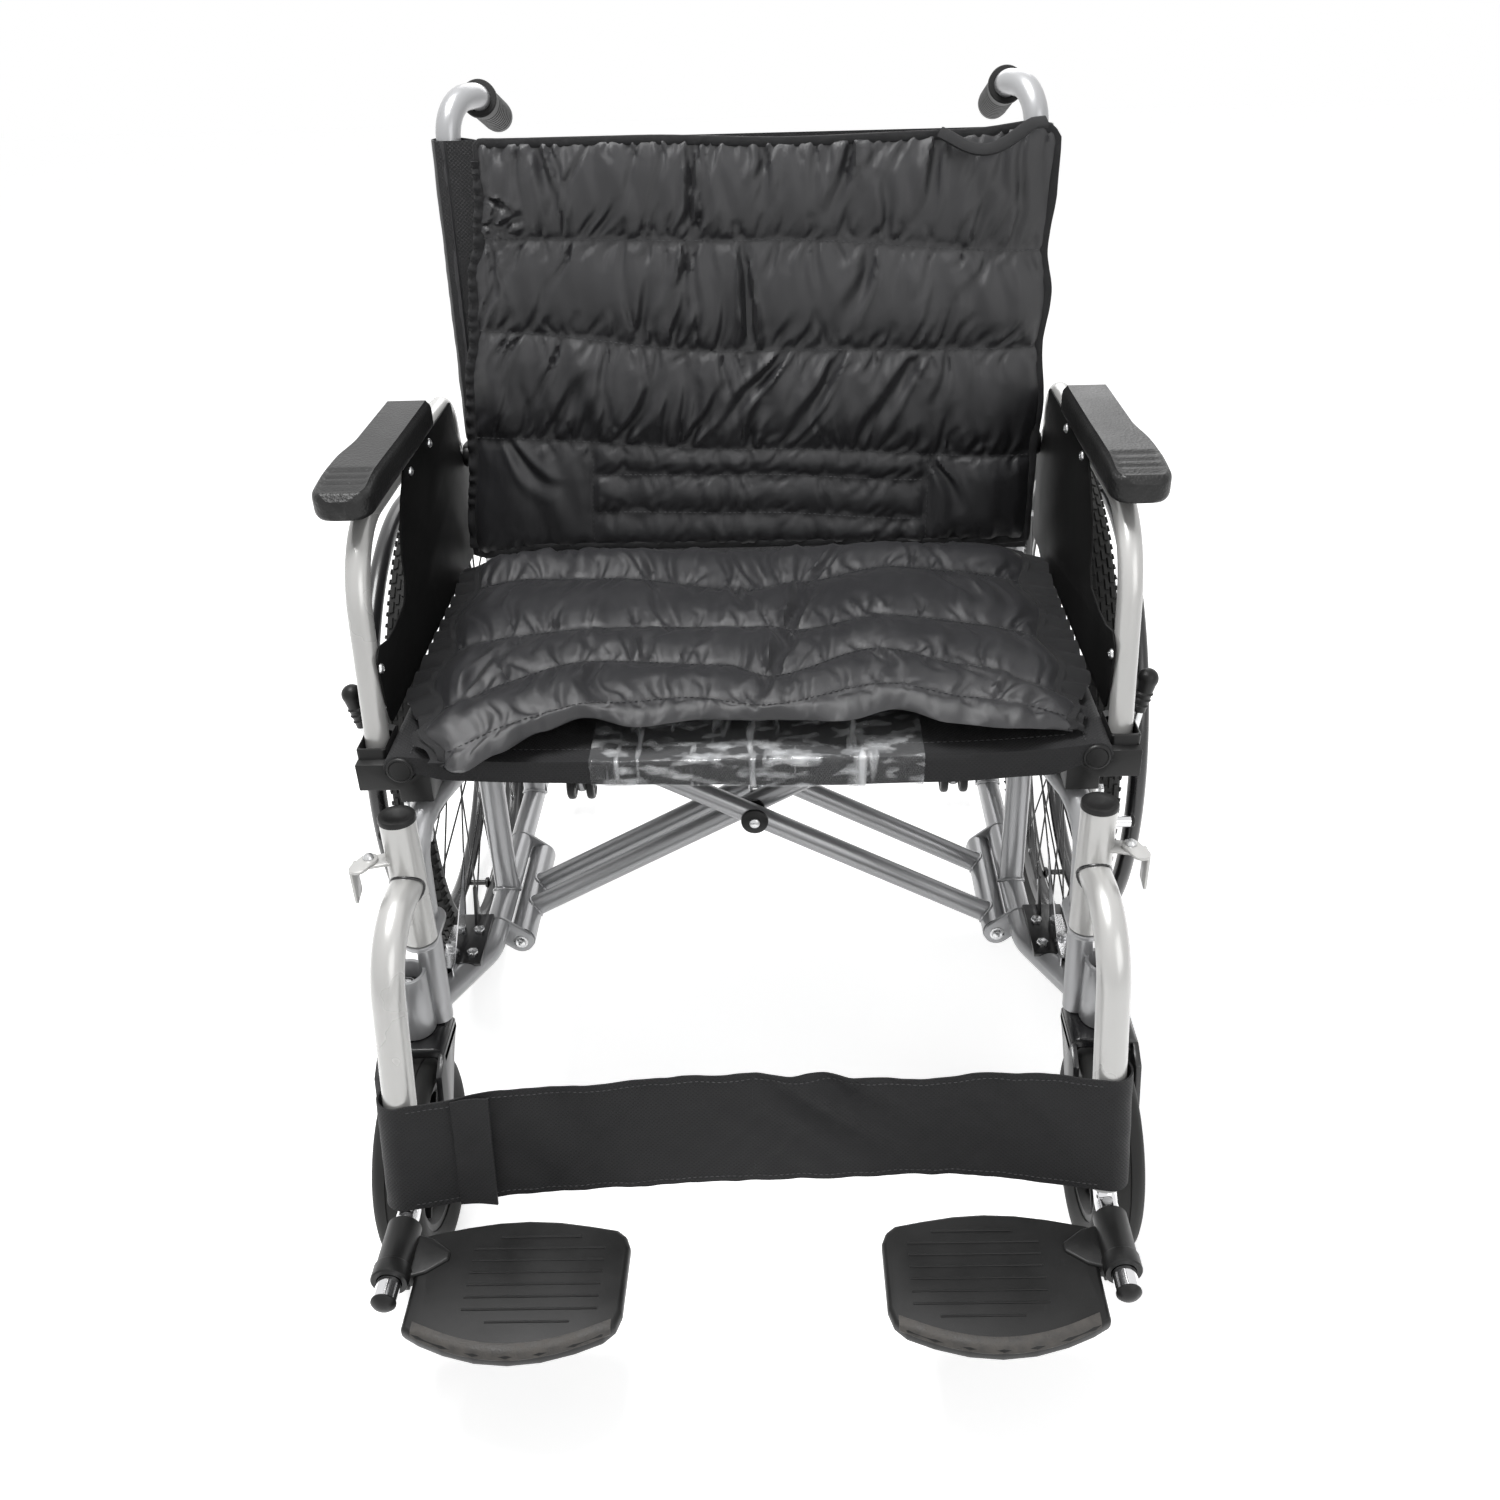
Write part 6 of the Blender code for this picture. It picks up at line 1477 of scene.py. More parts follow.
@dataclass
class RearWheel:
    """The spoked rear wheel with its block tread and push ring."""

    shop: Workshop
    crown: float = 0.3035
    bead: float = 0.2715
    half: float = 0.0183
    rim: tuple[float, float] = (0.2635, 0.2705)
    rim_half: float = 0.0115
    tread_rows: tuple[float, ...] = (-0.0118, -0.0060, 0.0, 0.0060, 0.0118)
    tread_count: int = 110
    tread_swell: float = 0.0125
    block_tall: float = 0.0017
    rib_radius: float = 0.2985
    rib_count: int = 150
    spokes: int = 36
    spoke: float = 0.0022
    lead: float = 38.0
    flange: float = 0.030
    flange_at: tuple[float, float] = (-0.0247, 0.0187)
    ring_x: float = 0.404
    ring_radius: float = 0.2625
    ring_tube: float = 0.019
    tabs: int = 6
    tab_radius: float = 0.267
    tab_foot: float = 0.0118

    def build(self) -> None:
        """Build both wheels."""
        shop = self.shop
        shop.fit_pair(self.tyre(), "tyre_rubber", "wheel_{side}", ["tyre_{side}"], "tyre", 30.0)
        shop.fit_pair(self.rim_ring(), "wheel_rim", "wheel_{side}", ["rim_{side}"], "black_metal")
        shop.fit_pair(self.hub(), "hub_and_spokes", "wheel_{side}", ["wheel_hub_{side}"], "black_metal")
        shop.fit_pair(self.push_ring(), "push_ring_tube", "wheel_{side}", ["handrim_{side}"], "black_metal")
        shop.fit_pair(self.axle(), "axle_nuts", "{side}_side", ["rear_axle_{side}"], "chrome")

    def centre(self) -> tuple[float, float, float]:
        """Return the wheel's middle."""
        return (LINES.wheel_x, 0.0, self.shop.axle_z)

    def tyre(self) -> Shape:
        """Return the carcass with its rows of staggered tread blocks and side ribs."""
        shop = self.shop
        half, crown = self.half, self.crown
        carcass = [(self.bead, 0.0105), (self.bead + 0.004, 0.0128), (0.2815, half - 0.0012),
                   (0.2870, half), (0.2925, half - 0.0006), (0.2945, half - 0.0002),
                   (0.2965, half - 0.0018), (crown - 0.0040, 0.0152), (crown - 0.0015, 0.0110),
                   (crown - 0.0003, 0.0060), (crown, 0.0)]
        profile = carcass + [(radius, -along) for radius, along in reversed(carcass[:-1])]
        parts = [shop.turned("carcass", profile, self.centre(), (1, 0, 0), Surface.TYRE_RUBBER, 128,
                             ring=True)]
        step = math.tau / self.tread_count
        for index, row in enumerate(self.tread_rows):
            drop = self.tread_swell * (1 - math.sqrt(max(0.0, 1 - (row / 0.0225) ** 2)))
            width = 0.0021 if abs(row) < 0.01 else 0.0026
            brick = block("brick", (-0.001, -0.0060, -width), (self.block_tall, 0.0060, width), 0.0004, 1)
            tilt = -math.atan2(row, 0.024)
            brick.data.transform(Matrix.Translation((0, 0, row)) @ Matrix.Rotation(tilt, 4, "Y"))
            parts.append(shop.ring("blocks", brick, self.tread_count, crown - drop * 0.92 - 0.0001,
                                   self.centre(),
                                   (1, 0, 0), Surface.TYRE_RUBBER, step / 2 * (index % 2)))
        rib = block("rib", (-0.0045, -0.0009, -0.0012), (0.0045, 0.0009, 0.0010), 0.0004, 1)
        for way in (1.0, -1.0):
            copy = rib if way < 0 else duplicate(rib)
            copy.data.transform(Matrix.Translation((0, 0, way * (half - 0.0006)))
                                @ Matrix.Rotation(way * 0.35, 4, "Y"))
            parts.append(shop.ring("ribs", copy, self.rib_count, self.rib_radius, self.centre(), (1, 0, 0),
                                   Surface.TYRE_RUBBER))
        return merged("tyre", parts)

    def rim_ring(self) -> Shape:
        """Return the black rim with its two brighter edge lines and its nipples."""
        shop = self.shop
        inner, outer = self.rim
        half = self.rim_half
        profile = [(outer, half - 0.0012), (outer + 0.0006, half - 0.0006), (outer + 0.0004, half),
                   (outer - 0.001, half), (inner + 0.0012, half - 0.0030), (inner, half - 0.0065),
                   (inner - 0.0004, 0.0), (inner, 0.0065 - half), (inner + 0.0012, 0.0030 - half),
                   (outer - 0.001, -half), (outer + 0.0004, -half), (outer + 0.0006, 0.0006 - half),
                   (outer, 0.0012 - half)]
        nipple = lathe("nipple", [(0.0, 0.010), (0.0015, 0.010), (0.0017, 0.003), (0.0024, 0.0), (0.0, 0.0)],
                       (0, 0, 0), (0, 0, 1), 8)
        places = []
        for start, end in self.spoke_lines():
            aim = (Vector(start) - Vector(end)).normalized()
            places.append((tuple(Vector(end) - aim * 0.0012), tuple(aim)))
        return merged("rim", [
            shop.turned("rim", profile, self.centre(), (1, 0, 0), Surface.BLACK_ENAMEL, 128, ring=True),
            shop.sown("nipples", nipple, places, Surface.ZINC),
        ])

    def spoke_lines(self) -> list[tuple[tuple[float, float, float], tuple[float, float, float]]]:
        """Return each spoke's ends, in crossed pairs on both flanges."""
        lines = []
        root = self.flange - 0.004
        for index in range(self.spokes):
            angle = math.tau * index / self.spokes
            lead = math.radians(self.lead) * (1 if index % 4 < 2 else -1)
            side = index % 2
            face = self.flange_at[side] + (0.0016 if lead > 0 else -0.0016)
            turn = angle + lead
            rim_x = (0.0030 if side else -0.0030)
            start = (LINES.wheel_x + face, root * math.cos(angle), self.shop.axle_z + root * math.sin(angle))
            reach = self.rim[0]
            end = (LINES.wheel_x + rim_x, reach * math.cos(turn), self.shop.axle_z + reach * math.sin(turn))
            lines.append((start, end))
        return lines

    def hub(self) -> Shape:
        """Return the turned hub with its flanges and all the spokes."""
        shop = self.shop
        low, high = self.flange_at
        profile = [(0.0068, 0.0305), (0.0120, 0.0305), (0.0130, 0.0295), (0.0130, high + 0.0020),
                   (self.flange - 0.001, high + 0.0012), (self.flange, high + 0.0004),
                   (self.flange, high - 0.0004), (self.flange - 0.001, high - 0.0012),
                   (0.0185, high - 0.0020), (0.0165, high - 0.0050), (0.0160, 0.0), (0.0165, low + 0.0050),
                   (0.0185, low + 0.0020), (self.flange - 0.001, low + 0.0012), (self.flange, low + 0.0004),
                   (self.flange, low - 0.0004), (self.flange - 0.001, low - 0.0012), (0.0130, low - 0.0020),
                   (0.0130, -0.0355), (0.0120, -0.0365), (0.0068, -0.0365)]
        lines = [list(pair) for pair in self.spoke_lines()]
        return merged("hub", [
            shop.turned("hub", profile, self.centre(), (1, 0, 0), Surface.BLACK_ENAMEL, 40, ring=True),
            shop.tube("spokes", lines, self.spoke, Surface.BLACK_ENAMEL, 8),
        ])

    def push_ring(self) -> Shape:
        """Return the push ring with its bolted tabs."""
        shop = self.shop
        x, _, z = self.centre()
        loop = [(self.ring_x, self.ring_radius * math.cos(math.tau * k / 120),
                 z + self.ring_radius * math.sin(math.tau * k / 120)) for k in range(120)]
        parts = [shop.tube("ring", [loop], self.ring_tube, Surface.BLACK_ENAMEL, 24, closed=True)]
        stems = []
        bolts = []
        for index in range(self.tabs):
            angle = math.tau * (index + 0.5) / self.tabs
            around = (self.tab_radius * math.cos(angle), z + self.tab_radius * math.sin(angle))
            stems.append([(x + self.tab_foot, *around), (self.ring_x - 0.004, *around)])
            bolts.append(((x + self.tab_foot, *around), (1, 0, 0)))
        parts.append(shop.tube("tabs", stems, 0.0072, Surface.BLACK_ENAMEL, 16))
        foot = lathe("foot", [(0.0, 0.0035), (0.0062, 0.0035), (0.0072, 0.0022), (0.0072, 0.0), (0.0, 0.0)],
                     (0, 0, 0), (0, 0, 1), 20)
        parts.append(shop.sown("feet", foot, bolts, Surface.BLACK_ENAMEL))
        return merged("push_ring", parts)

    def axle(self) -> Shape:
        """Return the axle bolt with its head outside and its nut inside the cane."""
        shop = self.shop
        inner_face = LINES.cane_x - LINES.tube / 2 - 0.001
        outer_face = LINES.wheel_x + 0.0315
        place = (0.0, 0.0, shop.axle_z)
        washer = [(0.0, outer_face + 0.0012), (0.0098, outer_face + 0.0012), (0.0098, outer_face),
                  (0.0058, outer_face), (0.0058, inner_face), (0.0100, inner_face),
                  (0.0100, inner_face - 0.0012), (0.0, inner_face - 0.0012)]
        head = slab("head", hexagon(0.0165), outer_face + 0.0012, outer_face + 0.0060, "Z", 0.0009)
        nut = slab("nut", hexagon(0.0165), inner_face - 0.0080, inner_face - 0.0012, "Z", 0.0009)
        for item in (head, nut):
            item.data.transform(aimed(shop.at(*place), (1, 0, 0)))
        return merged("axle", [
            shop.turned("washers", washer, place, (1, 0, 0), Surface.ZINC, 32),
            shop.painted(head, Surface.ZINC), shop.painted(nut, Surface.ZINC),
        ])


@dataclass
class Caster:
    """The front caster: fork, moulded wheel and solid tyre."""

    shop: Workshop
    place: tuple[float, float] = (-0.539, 0.100)
    stem_y: float = -0.485
    radius: float = 0.100
    half: float = 0.023
    rim: float = 0.072
    arm_in: float = 0.0265
    arm_out: float = 0.0325
    crown_top: float = 0.2155
    crown_low: float = 0.2035

    def build(self) -> None:
        """Build both casters."""
        shop = self.shop
        shop.fit_pair(self.fork(), "caster_fork_strap", "caster_{side}", ["caster_fork_{side}"],
                      "black_metal")
        shop.fit_pair(self.axle(), "caster_axle_bolt", "caster_{side}", ["caster_axle_{side}"], "chrome")
        shop.fit_pair(self.tyre(), "caster_tyre_solid", "caster_wheel_{side}", ["caster_tyre_{side}"], "tyre")
        shop.fit_pair(self.core(), "caster_wheel_core", "caster_wheel_{side}", ["caster_hub_{side}"],
                      "plastic")

    def centre(self) -> tuple[float, float, float]:
        """Return the caster wheel's middle."""
        return (LINES.caster_x, *self.place)

    def fork(self) -> Shape:
        """Return the fork: two cheeks, the crown with its bent shoulders and the stem."""
        shop = self.shop
        y, z = self.place
        eye = 0.013
        cheek = [(self.stem_y + 0.022, self.crown_top - 0.006),
                 (self.stem_y - 0.030, self.crown_top - 0.006),
                 (self.stem_y - 0.050, self.crown_low - 0.006), (y - eye, z + 0.030), (y - eye, z)]
        for step in range(1, 12):
            turn = math.pi + math.pi * step / 12
            cheek.append((y + eye * math.cos(turn), z + eye * math.sin(turn)))
        cheek += [(y + eye, z), (y + eye + 0.010, z + 0.045), (self.stem_y + 0.004, self.crown_low - 0.018),
                  (self.stem_y + 0.022, self.crown_low - 0.004)]
        parts = [slab("cheek", cheek, LINES.caster_x + way[0], LINES.caster_x + way[1], "X", 0.0012)
                 for way in ((self.arm_in, self.arm_out), (-self.arm_out, -self.arm_in))]
        out = self.arm_out
        crown = [(-out, self.crown_low - 0.006)]
        for step in range(7):
            turn = math.pi - math.pi / 2 * step / 6
            crown.append((-out + 0.010 + 0.010 * math.cos(turn),
                          self.crown_top - 0.010 + 0.010 * math.sin(turn)))
        crown += [(-x, height) for x, height in reversed(crown)]
        inner = out - 0.006
        crown += [(inner, self.crown_low - 0.006), (inner - 0.004, self.crown_low),
                  (0.004 - inner, self.crown_low), (-inner, self.crown_low - 0.006)]
        bridge = slab("crown", [(LINES.caster_x + x, height) for x, height in crown], self.stem_y - 0.030,
                      self.stem_y + 0.022, "Y", 0.0012)
        painted = shop.painted(merged("strap", [*map(shop.moved, parts), shop.moved(bridge)]),
                               Surface.BLACK_ENAMEL)
        stem = [(0.0, self.crown_low + 0.001), (0.0110, self.crown_low + 0.001),
                (0.0110, self.crown_top + 0.0006), (0.0070, self.crown_top + 0.0006), (0.0070, 0.2740),
                (0.0, 0.2745)]
        return merged("fork", [painted, shop.turned("stem", stem, (LINES.caster_x, self.stem_y, 0), (0, 0, 1),
                                                    Surface.ZINC, 28)])

    def tyre(self) -> Shape:
        """Return the solid tyre with two grooves round its tread."""
        half, radius = self.half, self.radius
        side = [(self.rim + 0.0003, half - 0.0065), (self.rim + 0.0060, half - 0.0030),
                (radius - 0.0160, half - 0.0004), (radius - 0.0100, half), (radius - 0.0055, half - 0.0020),
                (radius - 0.0025, half - 0.0056), (radius - 0.0010, half - 0.0092),
                (radius - 0.0008, 0.0088), (radius - 0.0018, 0.0083), (radius - 0.0018, 0.0075),
                (radius - 0.0004, 0.0070), (radius, 0.0)]
        profile = side + [(distance, -along) for distance, along in reversed(side[:-1])]
        return self.shop.turned("tyre", profile, self.centre(), (1, 0, 0), Surface.TYRE_RUBBER, 96, ring=True)

    def core(self) -> Shape:
        """Return the moulded core with its ribs and bearings."""
        shop = self.shop
        half = self.half - 0.001
        rim_half = self.half - 0.008
        side = [(0.0056, half), (0.0138, half), (0.0140, half - 0.001), (0.0142, 0.0075), (0.0200, 0.0056),
                (self.rim - 0.012, 0.0050), (self.rim - 0.0075, rim_half - 0.001),
                (self.rim - 0.0065, rim_half), (self.rim, rim_half)]
        profile = side + [(distance, -along) for distance, along in reversed(side)]
        rib = block("rib", (-0.0215, -0.0015, -0.0115), (0.0215, 0.0015, 0.0115), 0.0006, 1)
        bearing = [(0.0052, half + 0.0012), (0.0100, half + 0.0012), (0.0106, half + 0.0004),
                   (0.0106, half - 0.001), (0.0052, half - 0.001)]
        return merged("core", [
            shop.turned("core", profile, self.centre(), (1, 0, 0), Surface.MOULDED, 72, ring=True),
            shop.ring("ribs", rib, 8, 0.0385, self.centre(), (1, 0, 0), Surface.MOULDED),
            shop.turned("bearing_out", bearing, self.centre(), (1, 0, 0), Surface.ZINC, 28, ring=True),
            shop.turned("bearing_in", bearing, self.centre(), (-1, 0, 0), Surface.ZINC, 28, ring=True),
        ])

    def axle(self) -> Shape:
        """Return the axle bolt with a hexagon head and a lock nut."""
        shop = self.shop
        face = self.arm_out + 0.0003
        shaft = [(0.0, face + 0.0010), (0.0080, face + 0.0010), (0.0080, face), (0.0049, face),
                 (0.0049, -face), (0.0080, -face), (0.0080, -face - 0.0010), (0.0, -face - 0.0010)]
        head = slab("head", hexagon(0.0130), face + 0.0010, face + 0.0050, "Z", 0.0008)
        nut = slab("nut", hexagon(0.0130), -face - 0.0050, -face - 0.0010, "Z", 0.0008)
        for item in (head, nut):
            item.data.transform(aimed(shop.at(*self.centre()), (1, 0, 0)))
        return merged("axle", [shop.turned("shaft", shaft, self.centre(), (1, 0, 0), Surface.ZINC, 28),
                               shop.painted(head, Surface.ZINC), shop.painted(nut, Surface.ZINC)])


@dataclass
class Hanger:
    """The swing-away hanger with its release lever and chrome leg."""

    shop: Workshop
    post: tuple[float, float] = (0.305, -0.502)
    post_z: tuple[float, float] = (0.3400, 0.4715)
    post_wide: float = 0.032
    bend: float = 0.070
    dark_ring_share: float = 0.92
    leg: float = 0.021
    leg_insert: float = 0.085
    leg_corner_z: float = 0.146
    leg_front: float = -0.747
    lever_z: float = 0.433

    def build(self) -> None:
        """Build both hangers with their levers and legs."""
        shop = self.shop
        shop.fit_pair(self.body(), "hanger_tube", "hanger_{side}", ["hanger_{side}"], "silver")
        shop.fit_pair(self.trim(), "hanger_cap", "hanger_{side}", slot="plastic")
        shop.fit_pair(self.bush(), "hanger_bush", "hanger_{side}", slot="plastic")
        shop.fit_pair(self.lever(), "release_plate", "release_{side}", ["release_lever_{side}"], "chrome")
        shop.fit_pair(self.leg_tube(), "leg_tube", "leg_{side}", ["leg_extension_{side}"], "chrome")
        shop.fit_pair(self.leg_plug(), "leg_plug", "leg_{side}", slot="plastic")

    def down(self) -> Vector:
        """Return the direction down the hanger's straight tube."""
        return (Vector(LINES.hanger_low) - Vector(LINES.hanger_top)).normalized()

    def body(self) -> Shape:
        """Return the pivot post, the bent tube, a thin black ring round their joint and the ear for the
        lever.
        """
        shop = self.shop
        x, y = self.post
        low_z, high_z = self.post_z
        half = self.post_wide / 2
        post = [(0.0056, low_z), (half - 0.0016, low_z), (half, low_z + 0.0018), (half, high_z),
                (0.0056, high_z)]
        start_z = LINES.hanger_top[2]
        path = rounded([(x, y, start_z), LINES.hanger_top, LINES.hanger_low], [self.bend], 14)
        ear = slab("ear", capsule((x, y), (x + 0.029, y - 0.008), 0.009), self.lever_z - 0.0033,
                   self.lever_z - 0.0003, "Z", 0.0006)
        # A thin black ring round the joint where the bent tube leaves the post, darker than both tubes.
        bead = []
        for step in range(24):
            angle = math.tau * step / 24
            aside = half * self.dark_ring_share * math.sin(angle)
            bead.append((x + aside, y - math.sqrt(max(0.0, half ** 2 - aside ** 2)),
                         start_z + half * self.dark_ring_share * math.cos(angle)))
        return merged("hanger", [
            shop.turned("post", post, (x, y, 0), (0, 0, 1), Surface.HANGER_SILVER, 48, ring=True),
            shop.tube("curve", [path], LINES.hanger_tube, Surface.HANGER_SILVER, 36),
            shop.tube("bead", [bead], 0.0032, Surface.BLACK_ENAMEL, 8, closed=True),
            shop.painted(shop.moved(ear), Surface.HANGER_SILVER),
        ])

    def trim(self) -> Shape:
        """Return the dished cap on the post."""
        half = self.post_wide / 2
        top = self.post_z[1]
        profile = [(0.0, top + 0.0012), (0.0030, top + 0.0014), (0.0105, top + 0.0034),
                   (0.0135, top + 0.0043), (half, top + 0.0040), (half + 0.0007, top + 0.0028),
                   (half + 0.0007, top - 0.0010), (half - 0.0002, top - 0.0016), (0.0, top - 0.0016)]
        return self.shop.turned("cap", profile, (*self.post, 0), (0, 0, 1), Surface.MOULDED, 48)

    def bush(self) -> Shape:
        """Return the white ring in the hanger's open lower end."""
        profile = [(0.0108, -0.0030), (0.0150, -0.0030), (0.0152, -0.0010), (0.0152, 0.0022),
                   (0.0142, 0.0034), (0.0108, 0.0034)]
        return self.shop.turned("bush", profile, LINES.hanger_low, tuple(self.down()), Surface.WHITE_BUSH,
                                40, ring=True)

    def lever(self) -> Shape:
        """Return the flat release lever with its tab, spring and bolt."""
        shop = self.shop
        x, y = self.post[0] + 0.029, self.post[1] - 0.008
        tip = (x + 0.006, y - 0.014)
        z = self.lever_z
        plate = slab("plate", capsule((x, y), tip, 0.008), z, z + 0.003, "Z", 0.0006)
        tab = slab("tab", soft_outline([(tip[1] - 0.005, z - 0.034), (tip[1] + 0.013, z - 0.030),
                                        (tip[1] + 0.013, z + 0.0025), (tip[1] - 0.005, z + 0.0025)], 0.003),
                   tip[0] + 0.0045, tip[0] + 0.0070, "X", 0.0005)
        bolt = [(0.0, z + 0.0072), (0.0030, z + 0.0068), (0.0046, z + 0.0052), (0.0050, z + 0.0034),
                (0.0, z + 0.0032)]
        metal = shop.painted(merged("lever", [shop.moved(plate), shop.moved(tab)]), Surface.HANGER_SILVER)
        return merged("lever", [metal, shop.turned("bolt", bolt, (x, y, 0), (0, 0, 1), Surface.ZINC, 24)])

    def leg_line(self) -> tuple[Vector, Vector, Vector]:
        """Return the leg tube's top, corner and front end."""
        low, down = Vector(LINES.hanger_low), self.down()
        corner = low + down * ((low.z - self.leg_corner_z) / -down.z)
        return low - down * self.leg_insert, corner, Vector((corner.x, self.leg_front, corner.z))

    def leg_tube(self) -> Shape:
        """Return the chrome leg with its bend forward into the footplate."""
        path = rounded(self.leg_line(), [0.016], 12)
        return self.shop.tube("leg", [path], self.leg, Surface.CHROME, 32)

    def leg_plug(self) -> Shape:
        """Return the round-nosed plug in the leg's front end."""
        radius = self.leg / 2
        profile = [(0.0, 0.0058), (0.0040, 0.0052), (0.0085, 0.0030), (radius + 0.0004, 0.0004),
                   (radius + 0.0004, -0.0010), (0.0, -0.0010)]
        return self.shop.turned("plug", profile, tuple(self.leg_line()[2]), (0, -1, 0), Surface.MOULDED, 32)


@dataclass
class Footplate:
    """The flip-up footplate with its ridged top."""

    shop: Workshop
    inner_x: float = 0.110
    outer_x: float = 0.2945
    rear_y: float = -0.673
    front_y: float = -0.768
    rear_bulge: float = 0.016
    front_bulge: float = 0.029
    top_z: float = 0.142
    thick: float = 0.015
    ridges: int = 8
    barrel: tuple[float, float] = (0.31226, 0.146)
    barrel_rows: tuple[float, float] = (-0.6665, -0.727)

    def build(self) -> None:
        """Build both footplates."""
        shop = self.shop
        shop.fit_pair(merged("plate",
                             [self.plate(), self.front_rim(), self.hinge(), self.gusset(), self.lines()]),
                      "footplate_moulding", "footrest_{side}", ["footplate_{side}"], "plastic")

    def edge(self, share: float, front: bool) -> tuple[float, float]:
        """Return a place on the plate's front or rear edge, from outside (0) to inside (1)."""
        x = self.outer_x + (self.inner_x - self.outer_x) * share
        if front:
            return (x, self.front_y - self.front_bulge * math.sin(math.pi * share) ** 0.85)
        return (x, self.rear_y + self.rear_bulge * math.sin(math.pi * share))

    def outline(self, inset: float = 0.0) -> list[tuple[float, float]]:
        """Return the plate's outline, drawn in by an inset."""
        shares = [0.0, 0.08, 0.2, 0.35, 0.5, 0.65, 0.8]
        rear = [self.edge(share, False) for share in shares]
        front = [self.edge(share, True) for share in (0.92, 0.8, 0.65, 0.5, 0.35, 0.2, 0.08, 0.0)]
        x = self.inner_x
        corner = [(x + 0.012, self.rear_y + 0.004), (x + 0.004, self.rear_y - 0.003),
                  (x, self.rear_y - 0.014), (x + 0.001, self.front_y + 0.014),
                  (x + 0.005, self.front_y + 0.001)]
        points = rear + corner + front
        middle = Vector((sum(p[0] for p in points) / len(points), sum(p[1] for p in points) / len(points)))
        drawn = []
        for x_at, y_at in points:
            away = Vector((x_at, y_at)) - middle
            drawn.append(tuple(middle + away * (1 - inset / away.length)))
        return drawn

    def plate(self) -> Shape:
        """Return the plate with its wide bevel."""
        rings = []
        for inset, height in ((0.004, self.top_z - self.thick), (0.0010, self.top_z - self.thick + 0.0018),
                              (0.0, self.top_z - self.thick + 0.005), (0.0, self.top_z - 0.0048),
                              (0.0010, self.top_z - 0.0022), (0.0032, self.top_z - 0.0004),
                              (0.0050, self.top_z)):
            rings.append([(x, y, height) for x, y in soft_outline(self.outline(inset), 0.004)])
        return self.shop.painted(self.shop.moved(lofted("plate", rings)), Surface.MOULDED)

    def front_rim(self) -> Shape:
        """Return the worn, slightly raised lip along the front."""
        rings = []
        steps = 40
        for index in range(steps + 1):
            share = 0.05 + 0.90 * index / steps
            x, y = self.edge(share, True)
            fade = min(1.0, index / 3, (steps - index) / 3)
            rise = 0.0012 * fade
            section = [(0.0008, -0.0060), (0.0000, -0.0042), (0.0026, -0.0006), (0.0060, 0.0002 + rise),
                       (0.0118, 0.0002 + rise), (0.0135, -0.0012), (0.0100, -0.0070)]
            rings.append([(x, y + ahead, self.top_z + up) for ahead, up in section])
        return self.shop.painted(self.shop.moved(lofted("lip", rings)), Surface.WORN)

    def hinge(self) -> Shape:
        """Return the hinge barrel with the larger collar at its front."""
        rear, front = self.barrel_rows
        length = rear - front
        profile = [(0.0112, 0.0), (0.0138, 0.0), (0.0150, 0.0012), (0.0150, length - 0.016),
                   (0.0153, length - 0.0155), (0.0163, length - 0.014), (0.0163, length - 0.0012),
                   (0.0152, length), (0.0112, length)]
        return self.shop.turned("hinge", profile, (self.barrel[0], rear, self.barrel[1]), (0, -1, 0),
                                Surface.MOULDED, 48, ring=True)

    def gusset(self) -> Shape:
        """Return the pointed gusset between the barrel and the plate, and the stop block under it."""
        x, z = self.barrel
        rear, front = self.barrel_rows
        outline = [(x - 0.002, rear - 0.004), (self.outer_x - 0.010, rear - 0.012),
                   (self.outer_x - 0.028, rear - 0.026), (self.outer_x - 0.028, front + 0.026),
                   (self.outer_x - 0.010, front + 0.012), (x - 0.002, front + 0.004)]
        wedge = slab("wedge", soft_outline(outline, 0.004), self.top_z - self.thick + 0.003,
                     self.top_z + 0.0026, "Z",
                     0.0022, 3)
        stop = block("stop", (x - 0.014, front + 0.006, z - 0.0175), (x - 0.002, front + 0.018, z - 0.0120),
                     0.0012)
        return self.shop.painted(merged("gusset", [self.shop.moved(wedge), self.shop.moved(stop)]),
                                 Surface.MOULDED)

    def lines(self) -> Shape:
        """Return the raised ridges across the plate."""
        first = self.rear_y - 0.004
        pitch = (first - self.front_y - 0.004) / (self.ridges - 1)
        rows = []
        for index in range(self.ridges):
            row = first - pitch * index
            short = 0.022 if index in (0, self.ridges - 1) else 0.0
            rows.append([(self.inner_x + 0.022 + short, row, self.top_z - 0.0002),
                         (self.outer_x - 0.048 - short, row, self.top_z - 0.0002)])
        return self.shop.tube("ridges", rows, 0.0024, Surface.MOULDED, 10)


